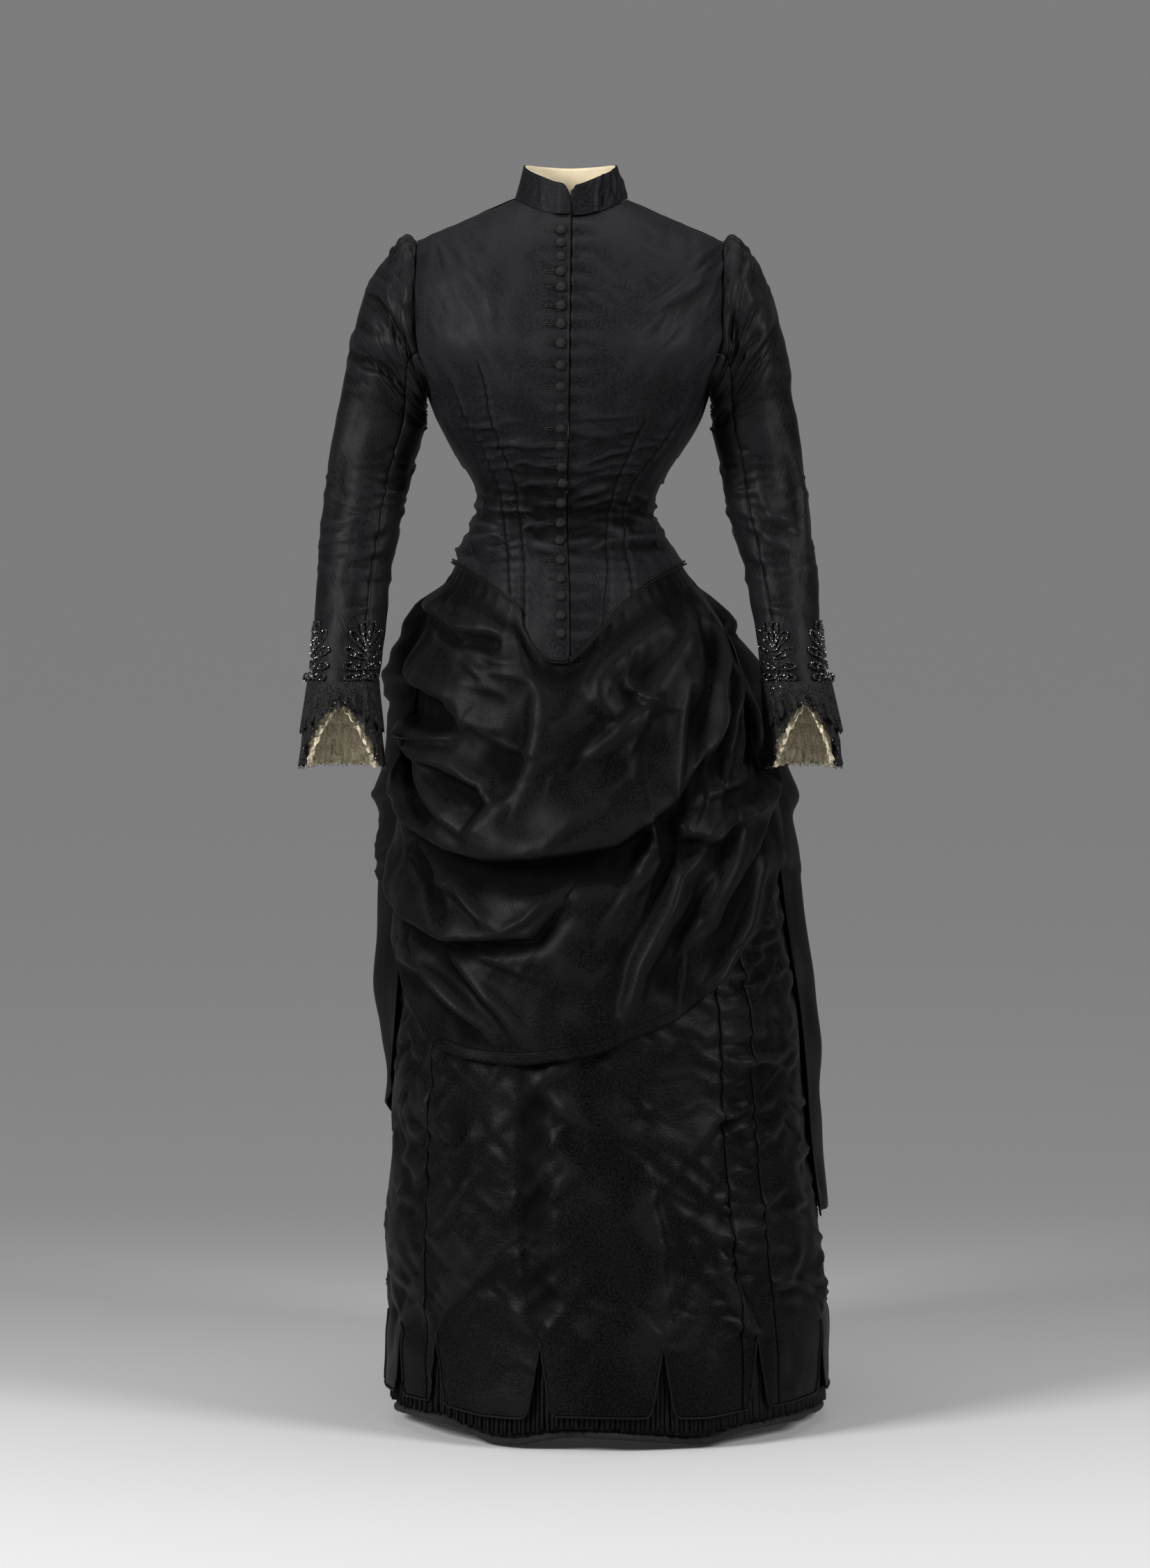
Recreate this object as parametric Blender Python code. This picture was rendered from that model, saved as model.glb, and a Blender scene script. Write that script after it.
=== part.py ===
"""Silk bustle dress in its worn form, hollow inside, as closed cloth walls.

Heights are measured up from the hem. Angles run round the body in degrees: 0 is the centre
front, positive towards +X, which is the wearer's left, and 180 is the centre back.
"""
import math

import bmesh
import bpy
import numpy as np
from mathutils import Vector
from mathutils.bvhtree import BVHTree

# Main sizes in metres
MOUNT_HEIGHT = 1.240
WALL = 0.0015
GATHERED_WALL = 0.0024
SEAM = 0.00032
SHOULDER_ROUND = 0.060
SHOULDER_SLOPE = 0.433
NECK_POINT = (0.0605, 1.2860)
NECK_FRONT_HEIGHT = 1.2675
NECK_BACK_HEIGHT = 1.2780
UNDERARM_HEIGHT = 1.0853
TAB_HEM = 0.032
TAB_CORNER = 0.012
SLIT_TOP = 0.112
SLIT_HALF_WIDTH = 0.0105
UNDER_BODICE = 0.0028
CUFF_SHIFT_LEFT = 0.008
CUFF_SHIFT_RIGHT = -0.001
CUFF_FLARE_LEFT = 0.0010
CUFF_FLARE_RIGHT = 0.0065
PLEAT_COUNT = 112
# Where the columns of a bodice panel lie between its edges; None is the corner of the neckline
FRONT_SHARES = (0.0, 0.07, 0.145, 0.21, None, 0.42, 0.61, 0.81, 1.0)
BACK_SHARES = (0.0, 0.12, 0.20, None, 0.47, 0.73, 1.0)
WAIST_ROWS = (0.922, 0.944, 0.962, 0.985, 1.020, 1.055)


class Table:
    """A short table whose columns are read at any height or angle by a smooth curve."""

    def __init__(self, names, rows):
        columns = np.array(sorted(rows), dtype=float).T
        self.columns = dict(zip(names.split(), columns))
        self.key = names.split()[0]

    def read(self, name, at):
        keys, values = self.columns[self.key], self.columns[name]
        at = np.clip(np.asarray(at, dtype=float), keys[0], keys[-1])
        steps = np.diff(keys)
        rises = np.diff(values) / steps
        slopes = np.concatenate(([rises[0]], (rises[1:] + rises[:-1]) / 2.0, [rises[-1]]))
        turning = np.concatenate(([False], rises[1:] * rises[:-1] <= 0.0, [False]))
        slopes[turning] = 0.0
        index = np.clip(np.searchsorted(keys, at, side="right") - 1, 0, len(steps) - 1)
        part = (at - keys[index]) / steps[index]
        blend = part * part * (3.0 - 2.0 * part)
        bend = slopes[index] * (part - 2.0 * part ** 2 + part ** 3)
        bend = bend + slopes[index + 1] * (part ** 3 - part ** 2)
        return values[index] * (1.0 - blend) + values[index + 1] * blend + bend * steps[index]


# Sections of the skirt: half width, depth to the front and depth to the bustle behind
SKIRT = Table("height centre half_width front back", [
    (0.000, 0.0440, 0.2365, 0.2370, 0.400), (0.040, 0.0435, 0.2355, 0.2365, 0.398),
    (0.094, 0.0435, 0.2345, 0.2340, 0.395), (0.213, 0.0370, 0.2280, 0.2250, 0.380),
    (0.300, 0.0340, 0.2200, 0.2160, 0.368), (0.373, 0.0335, 0.2150, 0.2080, 0.358),
    (0.440, 0.0330, 0.2095, 0.2000, 0.348), (0.500, 0.0300, 0.2020, 0.1930, 0.338),
    (0.600, 0.0260, 0.1930, 0.1800, 0.318), (0.700, 0.0200, 0.1800, 0.1650, 0.292),
    (0.770, 0.0140, 0.1680, 0.1540, 0.268), (0.820, 0.0090, 0.1550, 0.1440, 0.240),
    (0.860, 0.0050, 0.1390, 0.1325, 0.196), (0.900, 0.0020, 0.1170, 0.1160, 0.146),
    (0.930, -0.0020, 0.0985, 0.0965, 0.107), (0.955, -0.0030, 0.0865, 0.0865, 0.084),
])

# Sections of the bodice's outside, with the power of their rounded outline
BODICE = Table("height centre half_width front back power", [
    (0.790, 0.0100, 0.1700, 0.1560, 0.262, 2.00), (0.820, 0.0085, 0.1620, 0.1510, 0.244, 2.00),
    (0.860, 0.0050, 0.1450, 0.1385, 0.207, 2.00), (0.904, 0.0015, 0.1222, 0.1222, 0.155, 2.00),
    (0.940, -0.0025, 0.1015, 0.1010, 0.109, 2.00), (0.962, -0.0025, 0.0940, 0.0940, 0.092, 2.00),
    (0.985, 0.0008, 0.0973, 0.0985, 0.092, 2.00), (1.020, 0.0010, 0.1190, 0.1130, 0.096, 2.10),
    (1.057, 0.0012, 0.1400, 0.1280, 0.101, 2.15), (1.085, 0.0015, 0.1500, 0.1350, 0.104, 2.20),
    (1.124, 0.0017, 0.1720, 0.1370, 0.108, 2.35), (1.160, 0.0017, 0.1760, 0.1280, 0.109, 2.40),
    (1.200, 0.0020, 0.1760, 0.1120, 0.104, 2.40), (1.240, 0.0030, 0.1740, 0.0900, 0.089, 2.40),
    (1.268, 0.0040, 0.1700, 0.0735, 0.074, 2.40), (1.300, 0.0040, 0.1650, 0.0600, 0.062, 2.40),
])

# Lower edge of the bodice, with the point and its step at the front opening
BODICE_EDGE = Table("angle height", [
    (-180.0, 0.862), (-150.0, 0.880), (-120.0, 0.897), (-88.0, 0.906), (-44.0, 0.889),
    (-28.5, 0.871), (-20.5, 0.853), (-18.6, 0.836), (-15.7, 0.822), (-7.4, 0.807), (-2.4, 0.808),
    (11.0, 0.840), (28.7, 0.875), (41.5, 0.889), (86.0, 0.904), (120.0, 0.897), (150.0, 0.880),
    (180.0, 0.862),
])
OPENING = Table("height across", [
    (0.790, 0.0030), (0.860, 0.0028), (0.960, 0.0000), (1.060, 0.0018), (1.270, 0.0047),
])
FRONT_SEAM = Table("height angle", [(0.800, 62.0), (0.960, 66.0), (1.060, 74.0), (1.0853, 76.5)])
BACK_SEAM = Table("height angle", [(0.800, 122.0), (0.960, 118.0), (1.060, 110.0), (1.0853, 108.0)])

# The armhole from the shoulder, over the front, to the underarm. The back is its mirror image.
ARMHOLE = Table("turn angle along", [
    (0.0, 65.3, 1.2762), (20.0, 65.0, 1.2560), (45.0, 64.0, 1.2260), (70.0, 62.8, 1.1900),
    (95.0, 62.5, 1.1550), (120.0, 63.3, 1.1250), (140.0, 66.0, 1.1020), (160.0, 76.5, 1.0853),
    (180.0, 92.0, 1.0815),
])
FRONT_TURNS = (160.0, 140.0, 120.0, 95.0, 70.0, 45.0, 20.0, 0.0)

# Sleeve sections, by the height of their centre: left and right are the wearer's
SLEEVE_RIGHT = Table("height centre depth half_width half_depth tilt", [
    (1.065, -0.1925, 0.002, 0.0440, 0.0450, 0.020), (1.020, -0.2035, 0.002, 0.0435, 0.0455, 0.010),
    (0.975, -0.2120, -0.002, 0.0418, 0.0450, 0.004), (0.930, -0.2190, -0.012, 0.0405, 0.0435, 0.0),
    (0.885, -0.2248, -0.026, 0.0390, 0.0415, 0.0), (0.840, -0.2272, -0.041, 0.0368, 0.0390, 0.0),
    (0.795, -0.2307, -0.056, 0.0355, 0.0370, 0.0), (0.774, -0.2335, -0.062, 0.0350, 0.0365, 0.0),
])
SLEEVE_LEFT = Table("height centre depth half_width half_depth tilt", [
    (1.065, 0.1950, 0.002, 0.0420, 0.0440, 0.020), (1.020, 0.2037, 0.002, 0.0425, 0.0450, 0.010),
    (0.975, 0.2100, -0.002, 0.0430, 0.0445, 0.004), (0.930, 0.2185, -0.012, 0.0405, 0.0430, 0.0),
    (0.885, 0.2258, -0.026, 0.0370, 0.0405, 0.0), (0.840, 0.2312, -0.041, 0.0340, 0.0380, 0.0),
    (0.795, 0.2362, -0.056, 0.0335, 0.0365, 0.0), (0.774, 0.2393, -0.062, 0.0345, 0.0360, 0.0),
])
SLEEVE_TURNS = (0, 20, 45, 70, 95, 120, 140, 160, 180, 200, 220, 240, 265, 290, 315, 340)
UPPER_SLEEVE_ENDS = (-120.0, 120.0)
SLEEVE_LEVELS = (1.02, 0.975, 0.93, 0.885, 0.84, 0.795, 0.774)

# Standing collar sections and its upper edge
COLLAR_TOP = Table("angle height", [
    (0.0, 1.299), (12.0, 1.301), (45.0, 1.311), (90.0, 1.3218), (180.0, 1.322),
])

# Apron lower edge
APRON_HEM = Table("angle height", [
    (-93.0, 0.515), (-87.0, 0.507), (-69.0, 0.463), (-53.0, 0.413), (-44.0, 0.403), (-34.0, 0.397),
    (-24.0, 0.395), (-10.0, 0.402), (3.0, 0.413), (9.0, 0.424), (21.0, 0.441), (29.0, 0.460),
    (35.0, 0.479), (44.0, 0.508), (56.0, 0.536), (68.0, 0.578), (87.0, 0.652), (92.0, 0.668),
])
APRON_OUT = Table("height out", [
    (0.390, 0.010), (0.500, 0.013), (0.650, 0.015), (0.780, 0.013), (0.850, 0.009), (0.890, 0.004),
    (0.920, 0.0028), (0.955, 0.0028),
])

# Folds of the apron: height of the ridge, its reach above and below, and the line that it takes
APRON_FOLDS = [
    # name, height, reach above, reach below, line as (angle, height) pairs
    ("main swag", 0.018, 0.045, 0.013,
     ((-95, 0.69), (-87, 0.674), (-62, 0.636), (-44, 0.615), (-31, 0.606), (-16, 0.609), (6, 0.622),
      (24, 0.665), (36, 0.709), (50, 0.760), (62, 0.812))),
    ("second swag", 0.014, 0.028, 0.010,
     ((-95, 0.62), (-83, 0.559), (-59, 0.535), (-44, 0.521), (-30, 0.525), (-18, 0.529),
      (-10, 0.563))),
    ("upper ridge", 0.012, 0.022, 0.010,
     ((-95, 0.80), (-87, 0.792), (-63, 0.779), (-51, 0.763), (-41, 0.744))),
    ("hooked ridge", 0.012, 0.018, 0.010,
     ((-95, 0.735), (-87, 0.724), (-65, 0.712), (-49, 0.700), (-33, 0.681), (-30, 0.660),
      (-34, 0.631))),
    ("soft ridge", 0.006, 0.016, 0.013, ((-79, 0.850), (-47, 0.835), (-28, 0.838))),
    ("short crease", 0.007, 0.010, 0.008, ((-55, 0.583), (-44, 0.574), (-36, 0.556), (-30, 0.539))),
    ("long crease", 0.009, 0.012, 0.009,
     ((-76, 0.498), (-58, 0.487), (-47, 0.468), (-38, 0.444), (-28, 0.419))),
    ("inner crease", 0.007, 0.010, 0.008,
     ((-47, 0.514), (-39, 0.488), (-33, 0.468), (-28, 0.452), (-20, 0.419))),
    ("outer diagonal", 0.012, 0.015, 0.011,
     ((88, 0.700), (81, 0.683), (53, 0.648), (37, 0.572), (32, 0.543), (25, 0.517))),
    ("long diagonal", 0.011, 0.014, 0.010,
     ((46, 0.649), (25, 0.588), (19, 0.548), (12, 0.500), (7, 0.444))),
    ("edge diagonal", 0.009, 0.012, 0.010, ((60, 0.604), (47, 0.535), (37, 0.489), (31, 0.469))),
    ("curved crease", 0.008, 0.012, 0.010,
     ((18, 0.650), (18, 0.633), (17, 0.610), (12, 0.580), (2, 0.530))),
    ("hip ridge", 0.012, 0.014, 0.010, ((62, 0.796), (51, 0.756), (44, 0.724), (39, 0.703))),
    ("hip pouf", 0.013, 0.030, 0.010,
     ((27, 0.650), (29, 0.632), (37, 0.627), (45, 0.640), (58, 0.659))),
    ("hip fall", 0.008, 0.016, 0.010, ((58, 0.861), (32, 0.799), (14, 0.743), (0, 0.708))),
    ("hip loop", 0.007, 0.012, 0.010, ((73, 0.878), (65, 0.861), (59, 0.818), (56, 0.796))),
    ("centre crease", 0.007, 0.011, 0.009, ((-12, 0.783), (-14, 0.758), (-16, 0.729), (-20, 0.679))),
    ("centre arc", 0.005, 0.010, 0.008, ((7, 0.793), (7, 0.772), (10, 0.751), (12, 0.740))),
    ("side arc", 0.005, 0.010, 0.008, ((14, 0.786), (20, 0.779), (25, 0.760), (27, 0.759))),
    ("hip hollow", -0.012, 0.022, 0.022, ((77, 0.785), (72, 0.740), (68, 0.690))),
    ("right hip puff", 0.014, 0.020, 0.016, ((-95, 0.866), (-80, 0.864), (-66, 0.860))),
]

# Draped back: how far it stands off the skirt on each side and behind
DRAPE_OUT = Table("height left right back", [
    (0.160, 0.014, 0.010, 0.018), (0.212, 0.017, 0.010, 0.019), (0.310, 0.024, 0.010, 0.020),
    (0.390, 0.027, 0.020, 0.024), (0.470, 0.029, 0.036, 0.028), (0.540, 0.030, 0.039, 0.031),
    (0.600, 0.030, 0.043, 0.034), (0.670, 0.035, 0.040, 0.036), (0.730, 0.034, 0.038, 0.037),
    (0.800, 0.022, 0.034, 0.036), (0.840, 0.019, 0.027, 0.028), (0.870, 0.013, 0.018, 0.016),
    (0.910, 0.003, 0.003, 0.003), (0.955, 0.0025, 0.0025, 0.0025),
])
DRAPE_HEM = Table("angle height", [
    (84.0, 0.214), (104.0, 0.208), (130.0, 0.180), (180.0, 0.168), (230.0, 0.235), (262.0, 0.335),
    (276.0, 0.378),
])
# Upright folds of the draped back: angle at the top, angle at the hem, height and reach in degrees
DRAPE_FLUTES = Table("top hem ridge reach", [
    (104.0, 99.0, 0.010, 4.5), (118.0, 114.0, 0.014, 5.0), (133.0, 130.0, 0.012, 4.5),
    (147.0, 146.0, 0.016, 5.5), (163.0, 162.0, 0.013, 4.5), (180.0, 180.0, 0.018, 6.0),
    (197.0, 198.0, 0.013, 4.5), (213.0, 214.0, 0.016, 5.5), (227.0, 230.0, 0.012, 4.5),
    (242.0, 246.0, 0.014, 5.0), (256.0, 261.0, 0.010, 4.5),
])
# Sagging tucks across the draped back: height at the centre, sag, ridge, reach
DRAPE_TUCKS = Table("height drop ridge reach", [
    (0.600, 0.055, 0.014, 0.030), (0.712, 0.070, 0.018, 0.040), (0.815, 0.030, 0.010, 0.026),
])

# Skirt seams and the hem slits, in degrees
SKIRT_SEAMS = (
    ("skirt_front", -54.0, 36.0),
    ("skirt_gore_left", 36.0, 48.0),
    ("skirt_side_left", 48.0, 104.0),
    ("skirt_back_left", 104.0, 180.0),
    ("skirt_back_right", 180.0, 256.0),
    ("skirt_side_right", 256.0, 306.0),
)
SLITS = (-68.0, -49.5, -17.7, 13.6, 41.0, 72.0, 98.0, 118.5, 139.5, 161.5, 184.0, 206.0, 227.5,
         249.0, 270.5)

# How the hem hangs unevenly
HEM_LIFT = Table("angle lift", [
    (-180.0, 0.005), (-130.0, 0.001), (-90.0, 0.008), (-74.0, 0.011), (-49.0, 0.016), (-32.0, 0.003),
    (-24.0, 0.004), (-14.0, 0.013), (-4.0, 0.014), (13.0, 0.009), (25.0, 0.004), (35.0, 0.011),
    (49.0, 0.013), (65.0, 0.012), (90.0, 0.006), (130.0, 0.000), (180.0, 0.005),
])

BUTTON_PLACES = Table("height angle", [
    (0.8354, -5.0), (0.8539, -4.6), (0.8738, -4.2), (0.8916, -3.9), (0.9100, -3.4), (0.9299, -2.9),
    (0.9478, -2.4), (0.9695, -2.6), (0.9907, -2.9), (1.0075, -2.9), (1.0294, -2.8), (1.0469, -2.6),
    (1.0679, -2.3), (1.0896, -2.1), (1.1112, -1.8), (1.1336, -1.5), (1.1531, -1.4), (1.1719, -1.4),
    (1.1908, -1.4), (1.2068, -1.5), (1.2222, -1.6), (1.2368, -1.7), (1.2501, -1.8),
])


def unit(vectors):
    return vectors / np.maximum(np.linalg.norm(vectors, axis=-1, keepdims=True), 1e-12)


def soft_step(at, start, end):
    part = np.clip((at - start) / (end - start), 0.0, 1.0)
    return part * part * (3.0 - 2.0 * part)


def rounded(cosine, power):
    return np.sign(cosine) * np.abs(cosine) ** (2.0 / power)


# Surfaces

def hem_lift(angle):
    return HEM_LIFT.read("lift", np.mod(np.asarray(angle) + 180.0, 360.0) - 180.0)


def skirt_ring(angle, height):
    """Points of the skirt's plain form and the level directions straight out of it."""
    turn = np.radians(angle)
    half_width = SKIRT.read("half_width", height)
    front, back = SKIRT.read("front", height), SKIRT.read("back", height)
    depth = np.where(np.cos(turn) > 0.0, front, back)
    across = SKIRT.read("centre", height) + half_width * np.sin(turn)
    points = np.stack([across, -depth * np.cos(turn), height + 0.0 * turn], axis=-1)
    away = np.stack([np.sin(turn) * depth, -np.cos(turn) * half_width, 0.0 * turn], axis=-1)
    return points, unit(away)


def skirt_surface(angle, height, out=0.0):
    points, away = skirt_ring(angle, height)
    return points + away * np.asarray(out)[..., None], away


def arc_per_degree(angle, height):
    """Distance along the skirt's ring for each degree."""
    low, _ = skirt_ring(angle - 0.5, height)
    high, _ = skirt_ring(angle + 0.5, height)
    return np.linalg.norm(high - low, axis=-1)


def shoulder_height(across):
    return NECK_POINT[1] - SHOULDER_SLOPE * (np.abs(across - 0.003) - NECK_POINT[0])


def bodice_surface(angle, along, out=0.0):
    """Bodice points by angle and distance up, which turns over the shoulder at the top."""
    turn = np.radians(angle)
    height = np.minimum(along, 1.24)
    for _ in range(6):
        power = BODICE.read("power", height)
        half_width = BODICE.read("half_width", height)
        across = BODICE.read("centre", height) + half_width * rounded(np.sin(turn), power)
        start = shoulder_height(across) - SHOULDER_ROUND
        bend = np.maximum(along - start, 0.0) / SHOULDER_ROUND
        height = np.where(bend > 0.0, start + SHOULDER_ROUND * np.sin(bend), along)
    depth = np.where(np.cos(turn) > 0.0, BODICE.read("front", height), BODICE.read("back", height))
    behind = -depth * rounded(np.cos(turn), power) * np.cos(bend)
    return np.stack([across, behind, height], axis=-1)


def bodice_normal(angle, along):
    step = 1e-3
    round_it = bodice_surface(angle + 20 * step, along) - bodice_surface(angle - 20 * step, along)
    up = bodice_surface(angle, along + step) - bodice_surface(angle, along - step)
    return unit(np.cross(round_it, up))


def along_of_height(across, height):
    start = shoulder_height(across) - SHOULDER_ROUND
    bend = np.arcsin(np.clip((height - start) / SHOULDER_ROUND, -1.0, 1.0))
    return np.where(height > start, start + SHOULDER_ROUND * bend, height)


def neckline_along(angle):
    """How far up the bodice reaches at an angle: the neckline, then the shoulder seam."""
    sign_back = np.cos(np.radians(angle)) < 0.0
    middle = np.where(sign_back, NECK_BACK_HEIGHT, NECK_FRONT_HEIGHT)
    across = bodice_surface(angle, 1.262 + 0.0 * angle)[..., 0]
    part = np.clip(np.abs(across - 0.004) / NECK_POINT[0], 0.0, 1.0)
    height = middle + (NECK_POINT[1] - middle) * part ** 2.2
    return np.where(part < 1.0, along_of_height(across, height),
                    shoulder_height(across) + SHOULDER_ROUND * (math.pi / 2.0 - 1.0))


def fold_relief(angle, height, folds):
    """Sum of soft ridges along lines drawn on the skirt's plain form."""
    total = np.zeros(np.broadcast(angle, height).shape)
    scale = arc_per_degree(angle, height)
    for _, ridge, above, below, line in folds:
        best = np.full(total.shape, 1e9)
        signed = np.zeros(total.shape)
        fade = np.zeros(total.shape)
        count = len(line) - 1
        for number in range(count):
            (a0, h0), (a1, h1) = line[number], line[number + 1]
            run = np.stack([(a1 - a0) * scale, np.full(total.shape, h1 - h0)], axis=-1)
            away = np.stack([(angle - a0) * scale, height - h0 + 0.0 * angle], axis=-1)
            length = np.maximum((run ** 2).sum(axis=-1), 1e-12)
            part = np.clip((run * away).sum(axis=-1) / length, 0.0, 1.0)
            off = away - run * part[..., None]
            distance = np.linalg.norm(off, axis=-1)
            side = run[..., 0] * away[..., 1] - run[..., 1] * away[..., 0]
            nearer = distance < best
            best = np.where(nearer, distance, best)
            signed = np.where(nearer, np.sign(side) * distance, signed)
            fade = np.where(nearer, (number + part) / count, fade)
        reach = np.where(signed > 0.0, above, below)
        ends = 0.35 + 0.65 * np.sin(math.pi * np.clip(fade, 0.0, 1.0)) ** 0.7
        total = total + ridge * ends * np.exp(-(best / reach) ** 2)
    return total


def apron_out(angle, height):
    """Distance of the apron's outside from the skirt's plain form."""
    below_edge = BODICE_EDGE.read("height", angle) - height
    relief = fold_relief(angle, height, APRON_FOLDS)
    plain = UNDER_BODICE + (APRON_OUT.read("out", height) - UNDER_BODICE) * soft_step(below_edge, 0.012, 0.036)
    return plain + soft_step(below_edge, 0.018, 0.040) * np.clip(relief, -0.004, 0.026)


def drape_out(angle, height):
    """Distance of the draped back's outside from the skirt's plain form."""
    left = DRAPE_OUT.read("left", height)
    right = DRAPE_OUT.read("right", height)
    back = DRAPE_OUT.read("back", height)
    side = np.where(angle < 180.0, left, right)
    from_side = np.minimum(angle, 360.0 - angle)
    blend = soft_step(from_side, 108.0, 165.0)
    plain = side * (1.0 - blend) + back * blend
    below_edge = BODICE_EDGE.read("height", np.where(angle > 180.0, angle - 360.0, angle)) - height
    plain = UNDER_BODICE + (plain - UNDER_BODICE) * soft_step(below_edge, 0.004, 0.034)
    tuck_in = soft_step(from_side, 90.0, 107.0)
    relief = 0.0 * angle
    drop = np.clip((0.92 - height) / 0.75, 0.0, 1.0)
    for top, hem, ridge, reach in zip(*(DRAPE_FLUTES.columns[n] for n in ("top", "hem", "ridge", "reach"))):
        middle = top + (hem - top) * drop
        hang = 0.30 + 0.70 * soft_step(0.66 - height, 0.0, 0.12)
        relief = relief + hang * ridge * np.exp(-((angle - middle) / reach) ** 2)
    for level, sag, ridge, reach in zip(*(DRAPE_TUCKS.columns[n] for n in ("height", "drop", "ridge", "reach"))):
        line = level + sag * ((angle - 180.0) / 75.0) ** 2
        lower = np.where(height < line, 0.55, 1.0)
        relief = relief + ridge * np.exp(-((height - line) / (reach * lower)) ** 2)
    mask = soft_step(below_edge, 0.010, 0.045) * soft_step(from_side, 92.0, 108.0)
    low = np.minimum(0.0056, plain)
    return low + (plain - low) * tuck_in + mask * np.minimum(relief, 0.030)


def armhole_point(side, turn):
    """Point of the armhole's edge and its place on the bodice, by the turn round the sleeve."""
    turn = np.mod(turn, 360.0)
    front = turn <= 180.0
    folded = np.where(front, turn, 360.0 - turn)
    angle = ARMHOLE.read("angle", folded)
    angle = np.where(front, angle, 180.0 - angle)
    return bodice_surface(side * angle, ARMHOLE.read("along", folded))


def sleeve_ring(side, turn, level):
    table = SLEEVE_LEFT if side > 0 else SLEEVE_RIGHT
    cosine, sine = np.cos(np.radians(turn)), np.sin(np.radians(turn))
    centre = table.read("centre", level)
    points = np.stack([
        centre + side * table.read("half_width", level) * cosine,
        table.read("depth", level) - table.read("half_depth", level) * sine,
        level + table.read("tilt", level) * cosine], axis=-1)
    inward = np.stack([-side * cosine, sine, 0.0 * cosine], axis=-1)
    return points, inward


def sleeve_surface(side, turn, along):
    """Outer points and inward directions: along is 0 at the armhole and 1 at the first full ring."""
    turn = np.asarray(turn, dtype=float) + 0.0 * along
    along = np.asarray(along, dtype=float) + 0.0 * turn
    cosine, sine = np.cos(np.radians(turn)), np.sin(np.radians(turn))
    loop = armhole_point(side, turn)
    middle = np.array([side * 0.152, 0.0, 1.165])
    to_middle = middle - loop
    to_middle[..., 0] = 0.0
    to_middle = unit(to_middle)
    off = to_middle * (0.5 - 0.5 * cosine)[..., None]
    off[..., 0] += side * (0.5 + 0.5 * cosine)
    start = loop + unit(off) * (SEAM + 0.0003)
    level = np.where(along > 1.0, 1.065 - (along - 1.0) * 0.291, 1.065)
    ring, inward = sleeve_ring(side, turn, level)
    leave = np.stack([side * (0.080 + 0.052 * cosine), -0.020 * sine, 0.030 * cosine + 0.000], axis=-1)
    arrive = np.stack([side * 0.014 + 0.0 * cosine, 0.0 * cosine, -0.115 - 0.045 * cosine], axis=-1)
    part = np.clip(along, 0.0, 1.0)[..., None]
    square, cube = part ** 2, part ** 3
    head = start * (2 * cube - 3 * square + 1) + leave * (cube - 2 * square + part)
    head = head + ring * (3 * square - 2 * cube) + arrive * (cube - square)
    points = np.where(along[..., None] > 1.0, ring, head)
    blend = soft_step(along, 0.0, 0.75)[..., None]
    return points, unit(to_middle * (1.0 - blend) + inward * blend)


# Meshes

def lift(points):
    return np.asarray(points, dtype=float) - np.array([0.0, 0.0, MOUNT_HEIGHT])


def add_object(name, vertices, faces, material):
    mesh = bpy.data.meshes.new(name)
    mesh.from_pydata([tuple(v) for v in lift(vertices)], [], [tuple(int(i) for i in f) for f in faces])
    work = bmesh.new()
    work.from_mesh(mesh)
    bmesh.ops.recalc_face_normals(work, faces=work.faces)
    work.to_mesh(mesh)
    work.free()
    mesh.materials.append(material)
    made = bpy.data.objects.new(name, mesh)
    bpy.context.scene.collection.objects.link(made)
    return made


def shell(name, outer, inner, faces, material):
    """Close an outer and an inner skin with a rim along every free edge."""
    count = len(outer)
    made = []
    for face in faces:
        if len(face) == 4:
            a, b, c, d = face
            first = np.linalg.norm(outer[a] - outer[c])
            second = np.linalg.norm(outer[b] - outer[d])
            made += [(a, b, c), (a, c, d)] if first <= second else [(a, b, d), (b, c, d)]
        else:
            made.append(tuple(face))
    directed = {(face[i], face[(i + 1) % 3]) for face in made for i in range(3)}
    rims = [(b, a, a + count, b + count) for a, b in sorted(directed) if (b, a) not in directed]
    back = [tuple(i + count for i in reversed(face)) for face in made]
    return add_object(name, np.vstack([outer, inner]), made + back + rims, material)


def grid_faces(rows, columns, wrap=False):
    spans = columns if wrap else columns - 1
    return [(r * columns + c, r * columns + (c + 1) % columns,
             (r + 1) * columns + (c + 1) % columns, (r + 1) * columns + c)
            for r in range(rows - 1) for c in range(spans)]


def grid_shell(name, outer, inner, material, wrap=False):
    rows, columns = outer.shape[:2]
    return shell(name, outer.reshape(-1, 3), inner.reshape(-1, 3), grid_faces(rows, columns, wrap), material)


def tube(name, path, radius, sides, material, flat=1.0, wrap=False):
    """A cord along a path of points; flat squeezes it upright."""
    path = np.asarray(path)
    count = len(path)
    ahead = np.roll(path, -1, axis=0) if wrap else np.vstack([path[1:], path[-1:] * 2 - path[-2:-1]])
    behind = np.roll(path, 1, axis=0) if wrap else np.vstack([path[:1] * 2 - path[1:2], path[:-1]])
    forward = unit(ahead - behind)
    side = unit(np.cross(forward, np.array([0.0, 0.0, 1.0])))
    top = np.cross(side, forward)
    turns = np.radians(np.arange(sides) * 360.0 / sides + 45.0)
    rings = path[:, None] + radius * (side[:, None] * np.cos(turns)[None, :, None]
                                      + flat * top[:, None] * np.sin(turns)[None, :, None])
    faces = []
    for r in range(count if wrap else count - 1):
        for s in range(sides):
            t, n = (s + 1) % sides, (r + 1) % count
            faces.append((r * sides + s, r * sides + t, n * sides + t, n * sides + s))
    if not wrap:
        faces.append(tuple(range(sides)))
        faces.append(tuple((count - 1) * sides + s for s in reversed(range(sides))))
    return add_object(name, rings.reshape(-1, 3), faces, material)


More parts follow.
